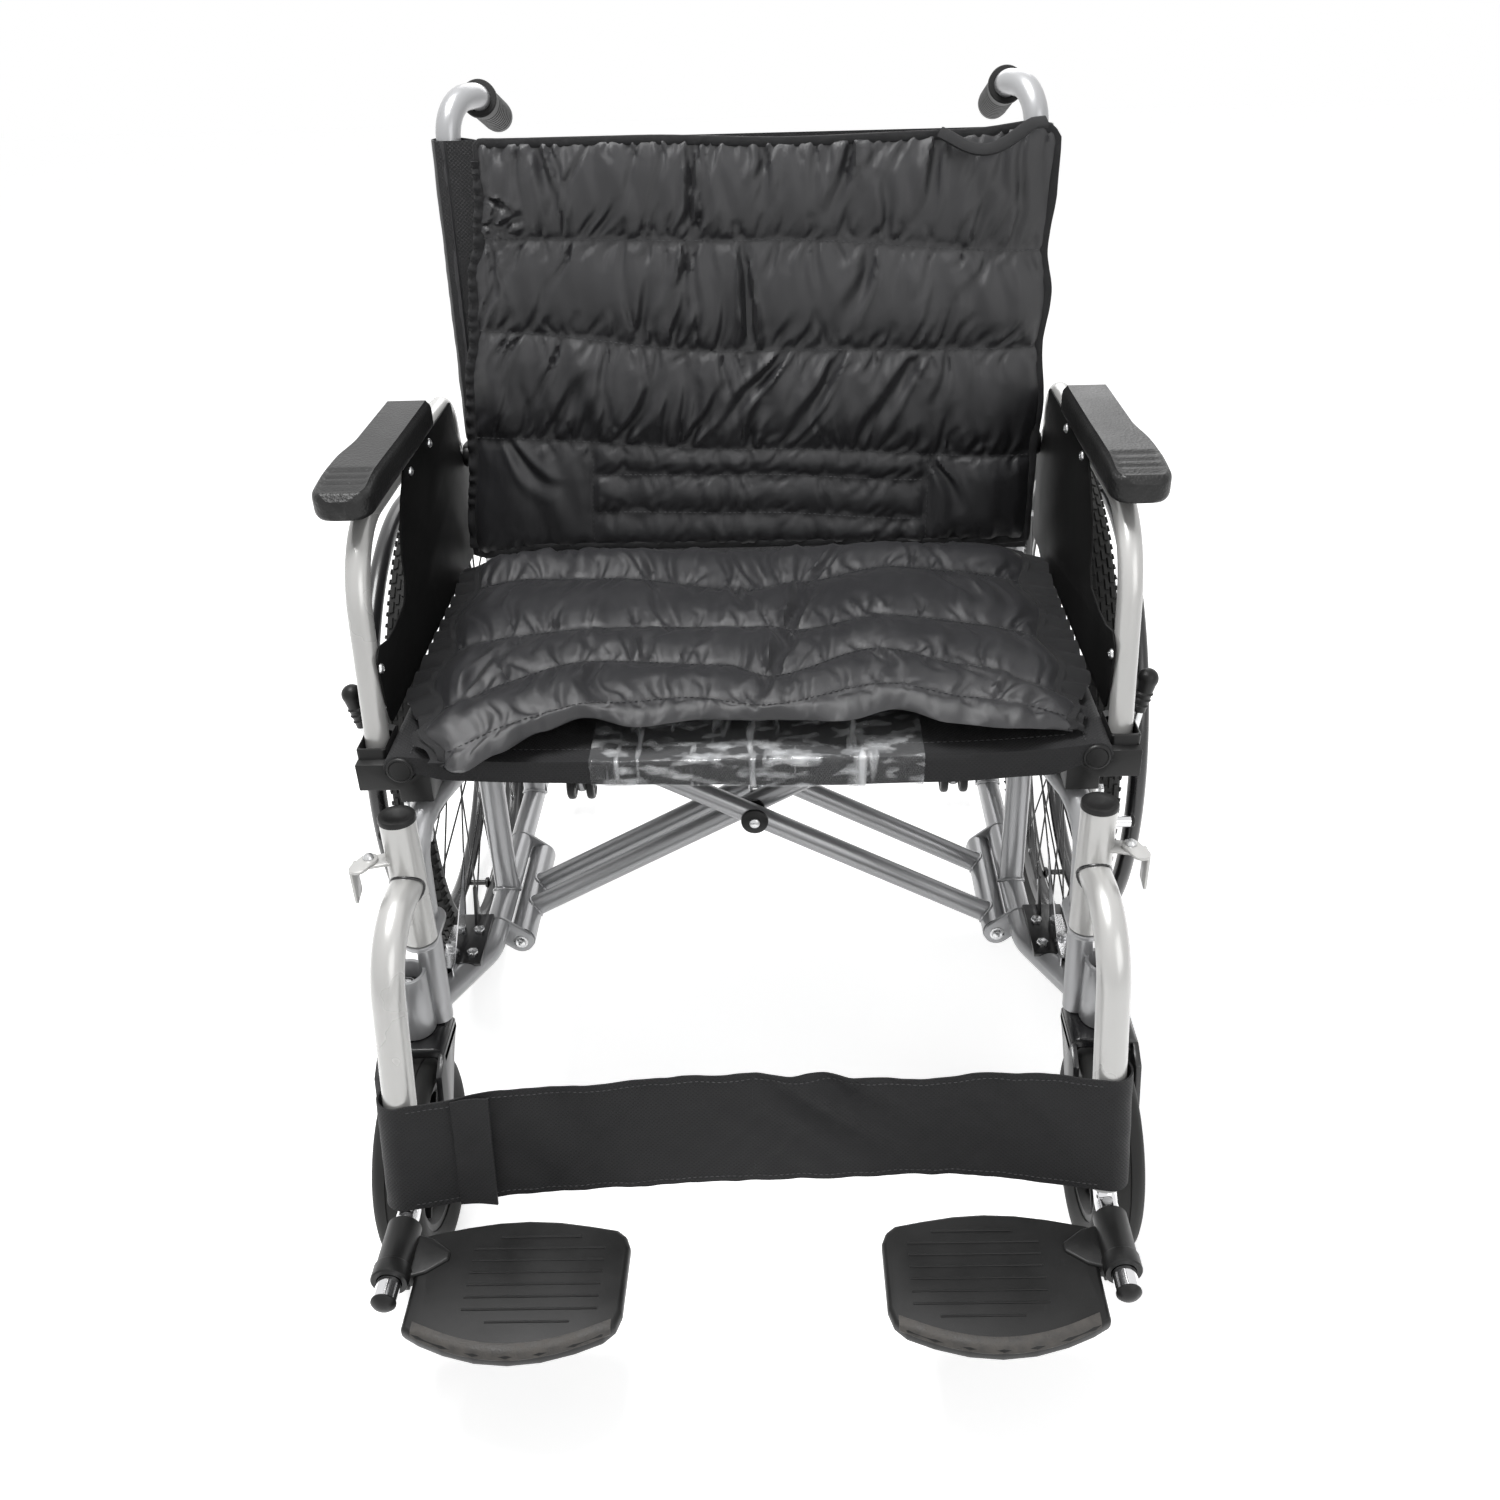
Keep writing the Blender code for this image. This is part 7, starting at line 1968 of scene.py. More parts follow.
@dataclass
class BrakeLock:
    """The wheel lock: bracket, hand lever and shoe."""

    shop: Workshop
    pivot: tuple[float, float, float] = (0.361, -0.366, 0.430)
    knob: tuple[float, float, float] = (0.373, -0.360, 0.519)
    clamp_y: float = -0.325
    plate_x: tuple[float, float] = (0.330, 0.334)
    shoe_pivot: tuple[float, float] = (-0.352, 0.392)
    shoe: tuple[float, float] = (-0.321, 0.333)
    shoe_end: float = 0.389

    def build(self) -> None:
        """Build both locks."""
        shop = self.shop
        shop.fit_pair(self.bracket(), "brake_plate", "{side}_side", ["brake_bracket_{side}"], "black_metal")
        shop.fit_pair(self.lever(), "brake_handle", "brake_lever_{side}", ["brake_lever_{side}"], "plastic")
        shop.fit_pair(self.shoe_bar(), "brake_bar", "brake_shoe_{side}", ["brake_shoe_{side}"], "chrome")

    def bracket(self) -> Shape:
        """Return the clamp, the plate and the pins with their nuts."""
        shop = self.shop
        low, high = self.plate_x
        y, (shoe_y, shoe_z) = self.clamp_y, self.shoe_pivot
        pin_y, pin_z = self.pivot[1:]
        outline = [(y + 0.012, 0.433), (y + 0.012, 0.457), (pin_y + 0.008, pin_z + 0.014),
                   (pin_y - 0.012, pin_z + 0.006), (pin_y - 0.010, pin_z - 0.010),
                   (shoe_y - 0.012, shoe_z - 0.006), (shoe_y, shoe_z - 0.012), (shoe_y + 0.011, shoe_z)]
        plate = slab("plate", soft_outline(outline, 0.005), low, high, "X", 0.0008)
        clamp = block("clamp", (0.2860, y - 0.012, 0.435), (high - 0.001, y + 0.012, 0.455), 0.0015)
        band = [(LINES.tube / 2 + 0.0003, 0.0115), (LINES.tube / 2 + 0.0028, 0.0110),
                (LINES.tube / 2 + 0.0028, -0.0110), (LINES.tube / 2 + 0.0003, -0.0115)]
        metal = shop.painted(merged("bracket", [shop.moved(plate), shop.moved(clamp)]), Surface.HANGER_SILVER)
        ring = shop.turned("band", band, (LINES.frame_x, y, LINES.top_z), (0, 1, 0), Surface.HANGER_SILVER,
                           40, ring=True)
        pins = shop.tube("pins", [[(high - 0.003, pin_y, pin_z), (self.pivot[0] + 0.009, pin_y, pin_z)],
                                  [(high - 0.003, shoe_y, shoe_z), (high + 0.011, shoe_y, shoe_z)]], 0.008,
                         Surface.ZINC, 20)
        nut = slab("nut", hexagon(0.0115), 0.0, 0.0048, "Z", 0.0008)
        places = [((low, pin_y, pin_z), (-1, 0, 0)), ((low, shoe_y, shoe_z), (-1, 0, 0)),
                  ((high, y - 0.004, 0.445), (1, 0, 0)), ((high + 0.0062, shoe_y, shoe_z), (1, 0, 0))]
        nuts = shop.sown("nuts", nut, places, Surface.ZINC)
        return merged("bracket", [metal, ring, pins, nuts])

    def lever(self) -> Shape:
        """Return the hand lever with its ringed ball grip."""
        shop = self.shop
        foot, top = Vector(self.pivot), Vector(self.knob)
        knee = foot + Vector((0.001, 0.001, 0.030))
        up = (top - knee).normalized()
        eye = [(0.0044, 0.0058), (0.0092, 0.0058), (0.0100, 0.0050), (0.0100, -0.0050), (0.0092, -0.0058),
               (0.0044, -0.0058)]
        ball = [(0.0, 0.0100)]
        for step in range(1, 9):
            turn = math.pi / 2 - math.pi * 0.64 * step / 8
            ball.append((0.0100 * math.cos(turn), 0.0100 * math.sin(turn)))
        for index in range(3):
            low = -0.0125 - index * 0.0062
            ball += [(0.0080 - 0.0006 * index, low), (0.0092 - 0.0006 * index, low - 0.0016),
                     (0.0080 - 0.0006 * index, low - 0.0032)]
        ball += [(0.0066, -0.0330), (0.0, -0.0330)]
        return merged("handle", [
            shop.turned("eye", eye, self.pivot, (1, 0, 0), Surface.ZINC, 32, ring=True),
            shop.tube("stem", [rounded([foot, knee, top], [0.02], 6)], 0.0100, Surface.ZINC, 20),
            shop.turned("ball", ball, self.knob, tuple(up), Surface.MOULDED, 36),
        ])

    def shoe_bar(self) -> Shape:
        """Return the short arm and the bar that presses on the tyre."""
        shop = self.shop
        face = self.plate_x[1] + 0.0005
        arm = slab("arm", capsule(self.shoe_pivot, self.shoe, 0.008), face, face + 0.004, "X", 0.0007)
        bar = shop.tube("bar", [[(face + 0.0005, *self.shoe), (self.shoe_end - 0.004, *self.shoe)]], 0.0116,
                        Surface.CHROME, 28)
        cap = [(0.0, 0.0), (0.0062, 0.0), (0.0062, 0.0030), (0.0052, 0.0040), (0.0, 0.0042)]
        end = shop.turned("cap", cap, (self.shoe_end - 0.0042, *self.shoe), (1, 0, 0), Surface.MOULDED, 28)
        return merged("shoe", [shop.painted(shop.moved(arm), Surface.ZINC), bar, end])


@dataclass
class AntiTip:
    """The anti-tip tube with its twin wheels."""

    shop: Workshop
    tube: float = 0.016
    corners: Pairs = ((0.005, 0.232), (0.125, 0.232), (0.235, 0.039))
    bend: float = 0.040
    axle: tuple[float, float] = (0.235, 0.047)
    spread: float = 0.01425
    radius: float = 0.025
    half: float = 0.0055

    def build(self) -> None:
        """Build both bars and all four wheels."""
        shop = self.shop
        path = rounded([(LINES.frame_x, y, z) for y, z in self.corners], [self.bend], 12)
        place = (LINES.frame_x, *self.axle)
        reach = self.spread + self.half + 0.003
        bolt = [(0.0, reach + 0.0010), (0.0042, reach), (0.0062, reach - 0.0012), (0.0062, reach - 0.0022),
                (0.0039, reach - 0.0022), (0.0039, 0.0022 - reach), (0.0062, 0.0022 - reach),
                (0.0062, 0.0012 - reach), (0.0042, -reach), (0.0, -reach - 0.0010)]
        bar = merged("bar", [shop.tube("pipe", [path], self.tube, Surface.FRAME_SILVER, 28),
                             shop.turned("axle", bolt, place, (1, 0, 0), Surface.ZINC, 24)])
        shop.fit_pair(bar, "anti_tip_tube", "{side}_side", ["anti_tip_bar_{side}"], "silver")
        wheels = merged("wheels", [self.wheel(self.spread), self.wheel(-self.spread)])
        shop.fit_pair(wheels, "anti_tip_rollers", "anti_tip_{side}", ["anti_tip_wheel_{side}"], "rubber")

    def wheel(self, offset: float) -> Shape:
        """Return one small wheel with a hollowed side and a rounded tread."""
        half, radius = self.half, self.radius
        side = [(0.0044, half), (0.0085, half), (0.0092, half - 0.0012), (0.0170, half - 0.0014),
                (0.0180, half), (radius - 0.0026, half), (radius - 0.0006, half - 0.0016), (radius, 0.0)]
        profile = side + [(distance, -along) for distance, along in reversed(side[:-1])]
        place = (LINES.frame_x + offset, *self.axle)
        return self.shop.turned("roller", profile, place, (1, 0, 0), Surface.MOULDED, 48, ring=True)


@dataclass(frozen=True)
class Seam:
    """A sewn line in a quilt's flat cut, across it or, where it runs along, at one place across."""

    line: float
    start: float
    end: float
    along: bool = False

    def away(self, x: float, y: float) -> float:
        """Return how far a place in the flat cut is from this line."""
        at, way = (x, y) if self.along else (y, x)
        return math.hypot(at - self.line, max(self.start - way, way - self.end, 0.0))

    def places(self, pitch: float) -> list[tuple[float, float]]:
        """Return places along the line."""
        count = max(2, int((self.end - self.start) / pitch))
        ways = [self.start + (self.end - self.start) * index / count for index in range(count + 1)]
        return [(self.line, way) if self.along else (way, self.line) for way in ways]


@dataclass(frozen=True)
class Fold:
    """A crease in a quilt's face, deepest near its start and fading out to its end."""

    start: tuple[float, float]
    end: tuple[float, float]
    depth: float = 0.007
    width: float = 0.0055

    def dip(self, x: float, y: float) -> float:
        """Return how far the crease sinks a place in the flat cut, below zero on its raised banks."""
        run_x, run_y = self.end[0] - self.start[0], self.end[1] - self.start[1]
        off_x, off_y = x - self.start[0], y - self.start[1]
        long = math.hypot(run_x, run_y)
        share = (off_x * run_x + off_y * run_y) / long ** 2
        if not -0.15 < share < 1.0:
            return 0.0
        aside = (off_y * run_x - off_x * run_y) / long
        aside -= 0.0030 * math.sin(share * 4.5 + self.start[0] * 60.0)
        wide = self.width * (0.55 + 0.75 * share)
        near = aside / wide
        if abs(near) > 3.6:
            return 0.0
        near *= 1.35 if near > 0 else 0.85
        fade = min(1.0, (share + 0.15) / 0.25) * (1.0 - share) ** 0.8
        return self.depth * fade * (math.exp(-near * near) - 0.42 * math.exp(-(abs(near) - 1.75) ** 2 / 0.55))


@dataclass
class Quilt:
    """A stuffed cloth with sewn lines, blown up by a short cloth simulation."""

    size: tuple[float, float]
    seams: tuple[Seam, ...]
    folds: tuple[Fold, ...] = ()
    step: float = 0.0057
    crown: float = 0.008
    web: float = 0.0007
    pressure: float = 6.0
    slack: tuple[float, float] = (0.06, 0.15)
    stiffness: float = 20.0
    bending: float = 0.12
    frames: int = 25
    limit: float = 0.030
    pitch: float = 0.019
    lean: float = 0.2
    seed: float = 0.0
    wave: tuple[float, float] = (0.0030, 0.019)
    pucker: tuple[float, float] = (0.0016, 0.0065)
    seam_ease: float = 0.004
    shelf: float = 0.02
    fold_reach: float = 0.022

    def stops(self, along: bool) -> list[float]:
        """Return the flat cut's grid places across it or along it, with each seam on one."""
        total = self.size[1 if along else 0]
        marks = {0.0, total}
        for seam in self.seams:
            if seam.along != along:
                marks.add(seam.line)
            else:
                marks.update((seam.start, seam.end))
        order = sorted(mark for mark in marks if 0.0 <= mark <= total)
        stops = [0.0]
        for near, far in zip(order, order[1:]):
            parts = max(1, round((far - near) / self.step))
            stops += [near + (far - near) * part / parts for part in range(1, parts + 1)]
        return stops

    def loose(self, x: float, y: float) -> float:
        """Return how far a place in the flat cut is from all that is sewn."""
        width, length = self.size
        border = min(x, y, width - x, length - y)
        return min([border, *(seam.away(x, y) for seam in self.seams)])

    def start_height(self, x: float, y: float, face: float, away: float) -> float:
        """Return a loose place's height before it is blown up."""
        swell = self.crown * min(1.0, away / 0.030) ** 0.6
        crumple = ripple((x + self.lean * y, y * 0.22, face * 9.1), 0.026, self.seed) * 0.006
        return face * (swell + abs(crumple) * 0.5) + crumple * 0.5

    def flat(self, name: str) -> tuple[Shape, list[int]]:
        """Return the two sewn faces before they are blown up, and the points that are held."""
        across, along = self.stops(False), self.stops(True)
        points: list[tuple[float, float, float]] = []
        held: list[int] = []
        number: dict[tuple[int, int, int], int] = {}
        for face in (1, -1):
            for row, y in enumerate(along):
                for column, x in enumerate(across):
                    edge = row in (0, len(along) - 1) or column in (0, len(across) - 1)
                    if edge and face < 0:
                        number[face, row, column] = number[1, row, column]
                        continue
                    away = self.loose(x, y)
                    if edge:
                        height = 0.0
                    elif away < 1e-6:
                        height = face * self.web
                    else:
                        height = self.start_height(x, y, face, away)
                    number[face, row, column] = len(points)
                    if away < 1e-6:
                        held.append(len(points))
                    points.append((x, y, height))
        faces = []
        for face in (1, -1):
            for row in range(len(along) - 1):
                for column in range(len(across) - 1):
                    corners = [number[face, row, column], number[face, row, column + 1],
                               number[face, row + 1, column + 1], number[face, row + 1, column]]
                    faces.append(corners[::face])
        return shaped(name, points, faces), held

    def blown(self, item: Shape, held: list[int]) -> Shape:
        """Blow the quilt up with its seams held, and cap how far each point moves."""
        start = [point.co.copy() for point in item.data.vertices]
        group = item.vertex_groups.new(name="sewn")
        group.add(held, 1.0, "REPLACE")
        cloth = item.modifiers.new("cloth", "CLOTH")
        rules = cloth.settings
        rules.quality = 6
        rules.mass = 0.1
        rules.tension_stiffness = self.stiffness
        rules.compression_stiffness = self.stiffness
        rules.shear_stiffness = 5.0
        rules.bending_stiffness = self.bending
        rules.air_damping = 1.0
        rules.use_pressure = True
        rules.uniform_pressure_force = self.pressure
        item.shape_key_add(name="sewn")
        cut = item.shape_key_add(name="cut")
        for point in cut.data:
            point.co.x *= 1 + self.slack[0]
            point.co.y *= 1 + self.slack[1]
        rules.rest_shape_key = cut
        rules.vertex_group_mass = group.name
        rules.effector_weights.gravity = 0.0
        cloth.collision_settings.use_collision = False
        cloth.collision_settings.use_self_collision = False
        cloth.point_cache.frame_start = 1
        cloth.point_cache.frame_end = self.frames
        scene = bpy.context.scene
        scene.frame_start = 1
        scene.frame_end = self.frames
        for frame in range(1, self.frames + 1):
            scene.frame_set(frame)
        result = settle(item)
        scene.frame_set(1)
        for point, before in zip(result.data.vertices, start):
            move = point.co - before
            if move.length > self.limit:
                point.co = before + move * (self.limit / move.length)
        return result

    def build(self, name: str, lay: Callable[[float, float, float], Vector]) -> Shape:
        """Make the quilt and lay it on the chair.

        Args:
            name: The quilt's name.
            lay: Gives the place on the chair of a place in the flat cut and a height over it.

        Returns:
            The quilt, smoothed once.
        """
        item = self.blown(*self.flat(name))
        item.vertex_groups.clear()
        smooth = item.modifiers.new("smooth", "SUBSURF")
        smooth.levels = 1
        smooth.render_levels = 1
        item = settle(item)
        folds = [*self.folds, *self.gathers()]
        shelves: dict[int, list[Fold]] = {}
        for fold in folds:
            low = min(fold.start[0], fold.end[0]) - self.fold_reach
            high = max(fold.start[0], fold.end[0]) + self.fold_reach
            for shelf in range(int(low // self.shelf), int(high // self.shelf) + 1):
                shelves.setdefault(shelf, []).append(fold)
        for point in item.data.vertices:
            x, y, height = point.co
            if height > self.web:
                away = max(0.0, self.loose(x, y))
                free = min(1.0, away / self.seam_ease)
                depth, size = self.wave
                wave = depth * ripple((x + self.lean * y, y * 0.20, 0.0), size, self.seed + 5.0)
                depth, size = self.pucker
                near = math.exp(-away / 0.014)
                wave += depth * ripple((x, y * 0.18, 0.0), size, self.seed + 20.0) * near
                wave -= sum(fold.dip(x, y) for fold in shelves.get(int(x // self.shelf), ()))
                height = max(self.web, height + free * wave)
            point.co = lay(x, y, height)
        return item

    def gathers(self) -> list[Fold]:
        """Return the many short creases that run off both sides of every sewn line."""
        chance = random.Random(self.seed)
        width, length = self.size
        folds = []
        lines = [seam for seam in self.seams if not seam.along]
        lines += [Seam(0.0, 0.0, width), Seam(length, 0.0, width)]
        for seam in lines:
            for way in (-1, 1):
                room = min([abs(other.line - seam.line) for other in lines
                            if (other.line - seam.line) * way > 0.001], default=0.0)
                if not room:
                    continue
                at = seam.start + chance.uniform(0.004, 0.018)
                while at < seam.end - 0.004:
                    long = room * chance.choice((0.22, 0.3, 0.4, 0.55, 0.8))
                    aside = long * (chance.uniform(-0.35, 0.35) + self.lean * way)
                    start = (at, seam.line + way * 0.002)
                    end = (at + aside, seam.line + way * long)
                    depth = chance.uniform(0.0020, 0.0048) * min(1.0, room / 0.05)
                    folds.append(Fold(start, end, depth, chance.uniform(0.0036, 0.0058)))
                    at += chance.uniform(self.pitch * 0.5, self.pitch * 1.5)
        return folds

    def border(self, inset: float, pitch: float = 0.004) -> list[tuple[float, float]]:
        """Return places round the flat cut, inset from its edge."""
        width, length = self.size
        low, right, top = inset, width - inset, length - inset
        corners = [(low, low), (right, low), (right, top), (low, top), (low, low)]
        places = []
        for near, far in zip(corners, corners[1:]):
            count = int(math.dist(near, far) / pitch)
            places += [tuple(Vector(near).lerp(Vector(far), part / count)) for part in range(count)]
        return places


@dataclass
class SeatCushion:
    """The quilted seat cushion: four rolls, a stitched lip and gathered black sides."""

    shop: Workshop
    half: float = 0.290
    panel_x: float = 0.3215
    thread_lift: float = 0.0022
    rest_z: float = 0.5105
    seam_z: float = 0.5345
    rows: tuple[float, ...] = (0.0, 0.028, 0.095, 0.180, 0.298, 0.373)
    front_line: Pairs = ((-0.28, -0.476), (-0.25, -0.504), (-0.217, -0.486), (-0.18, -0.458),
                         (-0.146, -0.444), (-0.10, -0.458), (-0.04, -0.445), (0.023, -0.446),
                         (0.09, -0.458), (0.134, -0.444), (0.18, -0.464), (0.231, -0.472), (0.29, -0.458))
    front_rise: Pairs = ((-0.25, -0.004), (-0.18, 0.002), (-0.146, 0.005), (-0.09, 0.0), (0.08, 0.0),
                         (0.134, 0.003), (0.19, 0.0))
    lip_line: Pairs = ((-0.28, -0.475), (-0.13, -0.427), (-0.05, -0.414), (0.02, -0.430), (0.12, -0.412),
                       (0.20, -0.428), (0.29, -0.440))
    third_line: Pairs = ((-0.28, -0.405), (-0.15, -0.345), (-0.02, -0.352), (0.022, -0.378), (0.12, -0.346),
                         (0.20, -0.368), (0.28, -0.394))
    second_line: Pairs = ((-0.28, -0.288), (-0.15, -0.272), (0.02, -0.272), (0.045, -0.286), (0.14, -0.266),
                          (0.28, -0.284))
    first_line: Pairs = ((-0.30, -0.142), (-0.15, -0.150), (0.0, -0.184), (0.056, -0.170), (0.15, -0.140),
                         (0.25, -0.154))
    rear_line: Pairs = ((-0.28, -0.064), (0.28, -0.064))
    left_side: Pairs = ((0.0, 0.268), (0.028, 0.266), (0.060, 0.288), (0.095, 0.281), (0.137, 0.300),
                        (0.180, 0.292), (0.240, 0.306), (0.298, 0.296), (0.340, 0.302), (0.373, 0.300))
    right_side: Pairs = ((0.0, 0.290), (0.028, 0.288), (0.060, 0.296), (0.095, 0.284), (0.137, 0.297),
                         (0.180, 0.286), (0.240, 0.298), (0.298, 0.287), (0.340, 0.298), (0.373, 0.298))
    rises: Pairs = ((0.0, 0.0), (0.298, 0.002), (0.340, 0.008), (0.373, 0.0))
    humps: Pairs = ((0.0, 0.004), (0.028, 0.010), (0.095, 0.013), (0.180, 0.008), (0.298, 0.005),
                    (0.373, 0.0))

    def build(self) -> None:
        """Build the cushion with its stitches and its bound sides."""
        shop = self.shop
        width = 2 * self.half
        seams = tuple(Seam(row, 0.0, width) for row in self.rows[1:-1])
        quilt = Quilt((width, self.rows[-1]), seams, self.folds(), pitch=0.026, lean=-0.1, seed=3.0)
        body = shop.painted(quilt.build("quilt", self.lay), Surface.QUILT)
        rows = []
        for seam in seams:
            places = seam.places(0.004)[2:-2]
            rows.append([shop.free(self.lay(x, y, self.thread_lift)) for x, y in places])
        thread = shop.stitched("thread", rows)
        parts = [body, thread, self.edging(quilt), *self.flanges()]
        item = shop.draped(merged("seat_cushion_quilt", parts), ["seat_cushion"], "quilt")
        shop.at(-0.12, -0.25, 0.5)
        shop.at(0.12, -0.25, 0.5)
        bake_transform(item)

    def folds(self) -> tuple[Fold, ...]:
        """Return the deep creases that the rolls show, in the flat cut."""
        _, lip, third, second, first, rear = self.rows
        middle = self.half
        return (
            Fold((middle + 0.043, second + 0.003), (middle + 0.056, first - 0.012), 0.015, 0.0085),
            Fold((middle + 0.022, second - 0.004), (middle + 0.044, third + 0.020), 0.012, 0.0080),
            Fold((middle + 0.026, third + 0.004), (middle + 0.036, second - 0.020), 0.012, 0.0075),
            Fold((middle + 0.118, third - 0.003), (middle + 0.132, lip + 0.008), 0.010, 0.0070),
            Fold((middle - 0.140, third - 0.003), (middle - 0.146, lip - 0.004), 0.010, 0.0065),
            Fold((middle + 0.018, third - 0.004), (middle + 0.010, lip + 0.004), 0.010, 0.0075),
            Fold((middle + 0.130, second + 0.004), (middle + 0.100, second + 0.045), 0.007, 0.0065),
            Fold((middle - 0.105, third + 0.004), (middle - 0.085, second - 0.018), 0.007, 0.0065),
            Fold((middle - 0.078, second + 0.004), (middle - 0.096, first - 0.040), 0.007, 0.0070),
            Fold((middle - 0.014, first - 0.004), (middle - 0.004, second + 0.030), 0.009, 0.0065),
            Fold((middle + 0.048, first - 0.004), (middle + 0.054, second + 0.040), 0.009, 0.0065),
            Fold((middle - 0.112, first + 0.003), (middle - 0.130, rear - 0.016), 0.008, 0.0060),
            Fold((middle + 0.004, first + 0.003), (middle - 0.020, rear - 0.020), 0.010, 0.0065),
            Fold((middle + 0.066, first + 0.003), (middle + 0.100, rear - 0.016), 0.009, 0.0060),
            Fold((middle + 0.196, first - 0.004), (middle + 0.222, second + 0.036), 0.008, 0.0070),
            Fold((middle - 0.235, first - 0.004), (middle - 0.252, second + 0.046), 0.008, 0.0070),
            Fold((middle - 0.262, third + 0.010), (middle - 0.215, second - 0.010), 0.006, 0.0065),
            Fold((middle + 0.222, lip + 0.004), (middle + 0.250, third - 0.010), 0.006, 0.0065),
        )

    def lay(self, x: float, y: float, height: float) -> Vector:
        """Return where a place of the flat cut lies on the sling."""
        share = x / self.half - 1.0
        side = self.left_side if share < 0 else self.right_side
        at = share * between(side, y)
        lines = (self.front_line, self.lip_line, self.third_line, self.second_line, self.first_line,
                 self.rear_line)
        below, part = row_share(self.rows, y)
        part = min(1.3, max(-0.3, part))
        near, far = between(lines[below], at), between(lines[below + 1], at)
        near += 0.010 if below == 0 else 0.0
        hump = math.exp(-((at - 0.125) / 0.075) ** 2) + 0.35 * math.exp(-((at + 0.13) / 0.09) ** 2)
        level = self.seam_z + hump * between(self.humps, y)
        level -= 0.012 * max(0.0, (abs(share) - 0.80) / 0.20) ** 1.5
        level -= 0.010 * max(0.0, 1 - y / 0.05) * max(0.0, -share - 0.5) * 2
        level += between(self.front_rise, at) * max(0.0, 1 - y / 0.06)
        level -= 0.010 * max(0.0, 1 - y / 0.028)
        if height >= 0:
            level += between(self.rises, y)
        lift = height if height > 0 else height * 0.75
        place = max(self.rest_z, level + lift)
        return self.shop.at(at, near + (far - near) * part, place)

    def edging(self, quilt: Quilt) -> Shape:
        """Return the binding that closes the quilt all round."""
        path, ups = [], []
        for x, y in quilt.border(0.0015):
            if y < 0.004:
                continue
            wave = ripple((x, y, 0.0), 0.010, 5.0)
            place = self.lay(x, y, 0.0) + Vector((0.0, 0.0, wave * 0.0012))
            path.append(place)
            ups.append((0.25 * wave, 0.25 * wave, 1.0))
        return self.shop.painted(band("edging", path, ups, 0.010, 0.0036), Surface.BINDING)

    def flanges(self) -> list[Shape]:
        """Return the gathered black strips sewn along both sides."""
        strips = []
        for way in (-1.0, 1.0):
            rows = []
            steps = 110
            for index in range(steps + 1):
                y = 0.012 + (self.rows[-1] - 0.014) * index / steps
                row = []
                for part in range(6):
                    reach = part / 5
                    sway = 2.0 * ripple((index * 0.1, reach, way), 1.0)
                    wave = math.sin(index * 0.9 + sway) * 0.0016 * reach
                    slow = ripple((index * 0.05, 0.0, way), 1.0, 8.0) * 0.006 * reach
                    edge = self.lay(self.half * (1 + way * 0.985), y, 0.0)
                    top = edge.z + 0.001 - 0.008 * reach + wave * 2
                    far = self.panel_x - abs(slow) * 0.1 - abs(wave) * 0.4
                    near = min(far, abs(edge.x) + 0.014)
                    far = near + (far - near) * max(0.0, min(1.0, (y - 0.075) / 0.05))
                    x = abs(edge.x) + (far - abs(edge.x)) * reach
                    out = Vector((way * min(x, self.panel_x), edge.y, max(0.5125, top)))
                    row.append(self.shop.free(out))
                rows.append(row)
            strips.append(self.shop.woven(f"flange{way:.0f}", rows, 0.0016, Surface.BINDING))
        return strips


